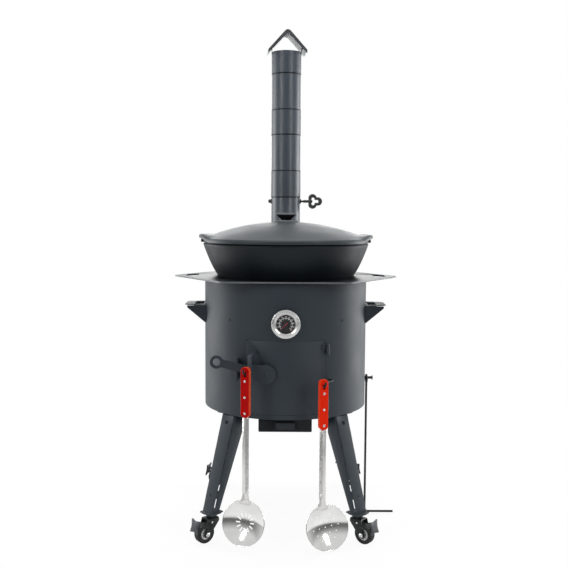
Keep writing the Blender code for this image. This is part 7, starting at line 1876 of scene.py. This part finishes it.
def hanging_skimmer(label, bearing, hang_z, clearance, openings, grip_face, grip_side_sheen, lean=0.0):
    out, across = outward(bearing), sideways(bearing)
    hook = out * HANG_RADIUS + UP * hang_z
    tilt_up = UP * cos(BOWL_TILT) - out * sin(BOWL_TILT)
    bowl_top = clearance + 2 * BOWL_RIM_RADIUS * cos(BOWL_TILT)
    at_top = Vector((hook.x, hook.y, bowl_top))
    lean_up = tilt_up * cos(lean) - across * sin(lean)
    lean_across = across * cos(lean) + tilt_up * sin(lean)
    bowl = lay(spun_bowl(openings), at_top - lean_up * BOWL_RIM_RADIUS, lean_across, lean_up)
    foot = Vector((hook.x, hook.y, 0))
    grip_low = HOLE_BELOW_TOP - GRIP_LENGTH
    shaft_top = hook.z + grip_low - CLEARANCE
    half, neck_top = SHAFT_WIDTH / 2, bowl_top + NECK_LENGTH
    inner = copysign(1, -bearing)
    back = SHAFT_THICKNESS / 2
    section = [(-half, back), (-half, -back), (0.0008, -back), (half, SHAFT_BEVEL - back), (half, back)]
    section = [(x * inner, y) for x, y in section][::int(inner)]
    shaft = slab("shaft", section, shaft_top - neck_top + 0.012, BRUSHED, HAMMERED_PAINTED_REFLECTION)
    for face in shaft.data.polygons:
        face.material_index = int(face.normal.x * inner > 0.2)
    lay(soften(shaft, 0.0005), foot + UP * (shaft_top + neck_top - 0.012) / 2, across, -out)
    flare, under = NECK_WIDTH / 2, bowl_top - 0.011
    side = [(half, neck_top), (half - 0.0002, bowl_top + NECK_LENGTH * 0.5),
            (half + 0.0012, bowl_top + 0.006),
            (flare, under)]
    neck_shape = side + [(0, under - 0.004)] + [(-x, z) for x, z in reversed(side)]
    neck_shape = rounded(neck_shape, [0, 0.03, 0.012, 0.003, 0.02, 0.003, 0.012, 0.03, 0], 4)[::-1]
    neck = bar_along("neck", neck_shape, 0.0026, foot, across, UP, BRUSHED, POLISHED, 0.0005)
    tang_shape = oblong(-0.007, 0.007, shaft_top - 0.002, hook.z + 0.0131)
    tang = bar_along("tang", tang_shape, 0.002, foot, across, UP, BRUSHED, BRUSHED, 0.0003)
    slot = slab("hang_slot", capsule(HANG_HOLE_HALF_HEIGHT + 0.0003, HANG_HOLE_HALF_WIDTH + 0.0003, 8), 0.03,
                BRUSHED)
    carved(settled(tang), [lay(slot, hook, UP, -across)])
    pieces = [bowl, shaft, neck, tang]
    for k in range(3):
        z = hook.z - RIVET_DROP - k * RIVET_PITCH
        for way in (-1, 1):
            head = foot + UP * z + out * way * (GRIP_THICKNESS / 2 + 0.0002)
            pieces.append(domed_pin("rivet", head, out * way, 0.0029, 0.0010, SPUN_STEEL, 28))
    skimmer = together(label + "_skimmer_steel", pieces)
    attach(skimmer, label + "_skimmer")
    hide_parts(label + "_skimmer")

    wide, end = GRIP_WIDTH / 2, GRIP_END_ROUNDING
    shape = rounded(oblong(-wide, wide, grip_low, HOLE_BELOW_TOP), end, 10)
    grip = lay(slab("grip", shape, GRIP_THICKNESS, grip_face, grip_side_sheen), hook, across, UP)
    slot = slab("hang_slot", capsule(HANG_HOLE_HALF_HEIGHT, HANG_HOLE_HALF_WIDTH, 8), 0.03, grip_side_sheen)
    carved(grip, [lay(slot, hook, UP, -across)])
    # The narrow sides take the painted-sheen copy of the wood.
    for face in grip.data.polygons:
        in_slot = face.center.to_2d().length < HANG_HOLE_HALF_HEIGHT + 0.002
        face.material_index = int(abs(face.normal.z) < 0.5 and not in_slot)
    soften(grip, GRIP_ROUNDING, 4)
    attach(grip, label + "_skimmer")
    grip.name = label + "_skimmer_red_grip"
    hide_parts(label + "_skimmer_grip")


hanging_skimmer("slotted", SLOTTED_BEARING, SLOTTED_HANG, 0.0195, petal_slots(), DEEP_RED, DEEP_RED_SIDE_SHEEN)
hanging_skimmer("holed", HOLED_BEARING, HOLED_HANG, 0.0077, round_holes(), BRIGHT_RED, BRIGHT_RED_SIDE_SHEEN,
                radians(9))

# Poker: a thin round bar with an eye bent at its top and a foot bent at its bottom, blackened by the
# forge. It hangs on a headed peg at the drum's right side.
POKER_X = BODY_RADIUS + 0.004
POKER_Y = -0.015
POKER_RADIUS = 0.003
POKER_EYE_RADIUS = 0.010
POKER_FOOT_Z = 0.006
POKER_FOOT_LENGTH = 0.078
POKER_BEND = 0.009
POKER_EYE_Z = BODY_BOTTOM + 0.065
FORGED_BLACK = cast_iron("forged_black_bar", (0.020, 0.021, 0.022, 1), (0.040, 0.036, 0.032, 1),
                         0.40, 0.60, 0.0003)

eye_ring = [Vector((POKER_X, POKER_Y + px, POKER_EYE_Z + pz)) for px, pz in circle(POKER_EYE_RADIUS, 40)]
eye_bar = tube("eye", eye_ring, POKER_RADIUS, FORGED_BLACK, closed=True)
bend = arc((POKER_X + POKER_BEND, POKER_FOOT_Z + POKER_BEND), POKER_BEND, pi, 1.5 * pi, 12)
rod_line = [Vector((POKER_X, POKER_Y, POKER_EYE_Z - POKER_EYE_RADIUS))]
rod_line += [Vector((x, POKER_Y, z)) for x, z in bend]
rod_line.append(Vector((POKER_X + POKER_FOOT_LENGTH, POKER_Y, POKER_FOOT_Z)))
poker = together("forged_poker", [eye_bar, tube("rod", rod_line, POKER_RADIUS, FORGED_BLACK)])
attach(poker, "poker")
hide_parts("poker")

peg_z = POKER_EYE_Z + 0.0032
peg_start = sqrt((BODY_RADIUS + 0.0003) ** 2 - POKER_Y ** 2)
peg_line = [(0, 0), (0.0035, 0), (0.0035, 0.0185), (0.0062, 0.0190), (0.0065, 0.0194), (0.0064, 0.0204)]
peg = turned("headed_poker_peg", peg_line + [(0.0050, 0.0210), (0, 0.0212)], 32, BODY_COAT)
lay(peg, (peg_start, POKER_Y, peg_z), (0, 1, 0))
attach(peg, "stove")
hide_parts("poker_peg")

# Studio floor: a wide pale sheet that runs out to white behind the stove and keeps its soft shadow.
FLOOR_HALF_SIZE = 7.0
FLOOR_PALE = (0.86, 0.86, 0.86, 1)


def floor_finish():
    """Pale and matt; away from the stove the camera sees it fade to plain white."""
    made, tree, shader = finish("pale_studio_floor", Roughness=0.7, Specular_IOR_Level=0.2)
    shader.inputs["Base Color"].default_value = FLOOR_PALE
    place = node(tree, "NewGeometry").outputs["Position"]
    away = node(tree, "VectorMath", {0: place}, operation="LENGTH").outputs["Value"]
    fade = spread(tree, away, 0.22, 0.8, 0.90, 1.0)
    share = reckoned(tree, "MULTIPLY", fade, node(tree, "LightPath").outputs["Is Camera Ray"])
    glow = node(tree, "Emission", {"Color": (1, 1, 1, 1), "Strength": 1.0}).outputs[0]
    both = node(tree, "MixShader", {0: share, 1: shader.outputs[0], 2: glow}).outputs[0]
    feed(tree, tree.nodes["Material Output"], Surface=both)
    return made


side = FLOOR_HALF_SIZE
floor = cut_sheet("studio_floor", [oblong(-side, side, -side, side)], floor_finish())

# Studio light: tall soft boxes at both sides, two narrow ones that draw the light lines on the round
# sheets, one behind and one overhead; the front stays dark, as the drum shows it.
OVERHEAD_SIZE = 1.9
OVERHEAD_POWER = 34.0
LAMPS = (
    # Bearing in degrees, height, distance, the box's width and height, power.
    (-112, 0.75, 2.1, 1.1, 1.7, 28.0),
    (115, 0.75, 2.1, 1.1, 1.7, 35.0),
    (-42, 1.6, 2.5, 0.3, 1.3, 16.0),
    (42, 1.6, 2.5, 0.3, 1.3, 16.0),
    (180, 1.6, 2.6, 2.6, 1.2, 26.0),
)
AIM = STOVE_AXIS + UP * 0.7


def soft_box(name, place, aim, wide, tall, power):
    light = bpy.data.lights.new(name, "AREA")
    light.shape = "RECTANGLE"
    light.size, light.size_y = wide, tall
    light.energy = power
    lamp = stand(name, light)
    lamp.location = place
    lamp.rotation_euler = (aim - place).to_track_quat("-Z", "Y").to_euler()


for i, (turn, height, away, wide, tall, power) in enumerate(LAMPS):
    place = STOVE_AXIS + outward(radians(turn)) * away + UP * height
    soft_box(f"soft_box_{i}", place, Vector((*STOVE_AXIS.xy, height)), wide, tall, power)
soft_box("overhead_box", STOVE_AXIS + UP * 2.7 - outward(0) * 0.2, AIM, OVERHEAD_SIZE, OVERHEAD_SIZE,
         OVERHEAD_POWER)


def studio_world():
    """White to the eye and through glass; to gloss, pale round the sides and dark in front."""
    world = bpy.data.worlds.new("studio")
    world.use_nodes = True
    tree = world.node_tree
    way = node(tree, "TexCoord").outputs["Generated"]
    parts = node(tree, "SeparateXYZ", {0: way}).outputs
    behind = spread(tree, parts[1], -0.5, 0.25, 0.16, 0.85)
    above = spread(tree, parts[2], 0.04, 0.45, 0.0, 0.75)
    sky = spread(tree, parts[2], -0.1, 1.0, 0.06, 0.50)
    path = node(tree, "LightPath").outputs
    gloss = mixed(tree, path["Is Glossy Ray"], sky, reckoned(tree, "MAXIMUM", behind, above))
    clear = reckoned(tree, "MAXIMUM", path["Is Camera Ray"], path["Is Transmission Ray"])
    feed(tree, tree.nodes["Background"], Color=mixed(tree, clear, gloss, (1, 1, 1, 1)))
    bpy.context.scene.world = world


studio_world()

# Camera: where the photograph was taken from, a little above the plate and looking slightly down.
EYE_DISTANCE = 2.148
EYE_HEIGHT = 0.8090
EYE_OFFSET = -0.0100
EYE_YAW = radians(-0.149)
EYE_PITCH = radians(4.66)
EYE_ROLL = radians(0.35)
EYE_LENS = 50.16
EYE_SENSOR = 36.0
eye = bpy.data.cameras.new("photo_eye")
eye.lens = EYE_LENS
eye.sensor_width = EYE_SENSOR
camera = stand("photo_eye", eye)
tilt = Matrix.Rotation(EYE_YAW, 4, "Z") @ Matrix.Rotation(pi / 2 - EYE_PITCH, 4, "X")
tilt = tilt @ Matrix.Rotation(EYE_ROLL, 4, "Z")
camera.matrix_world = Matrix.Translation(STOVE_AXIS + Vector((EYE_OFFSET, -EYE_DISTANCE, EYE_HEIGHT))) @ tilt
bpy.context.scene.camera = camera
bpy.context.scene.view_settings.view_transform = "Standard"
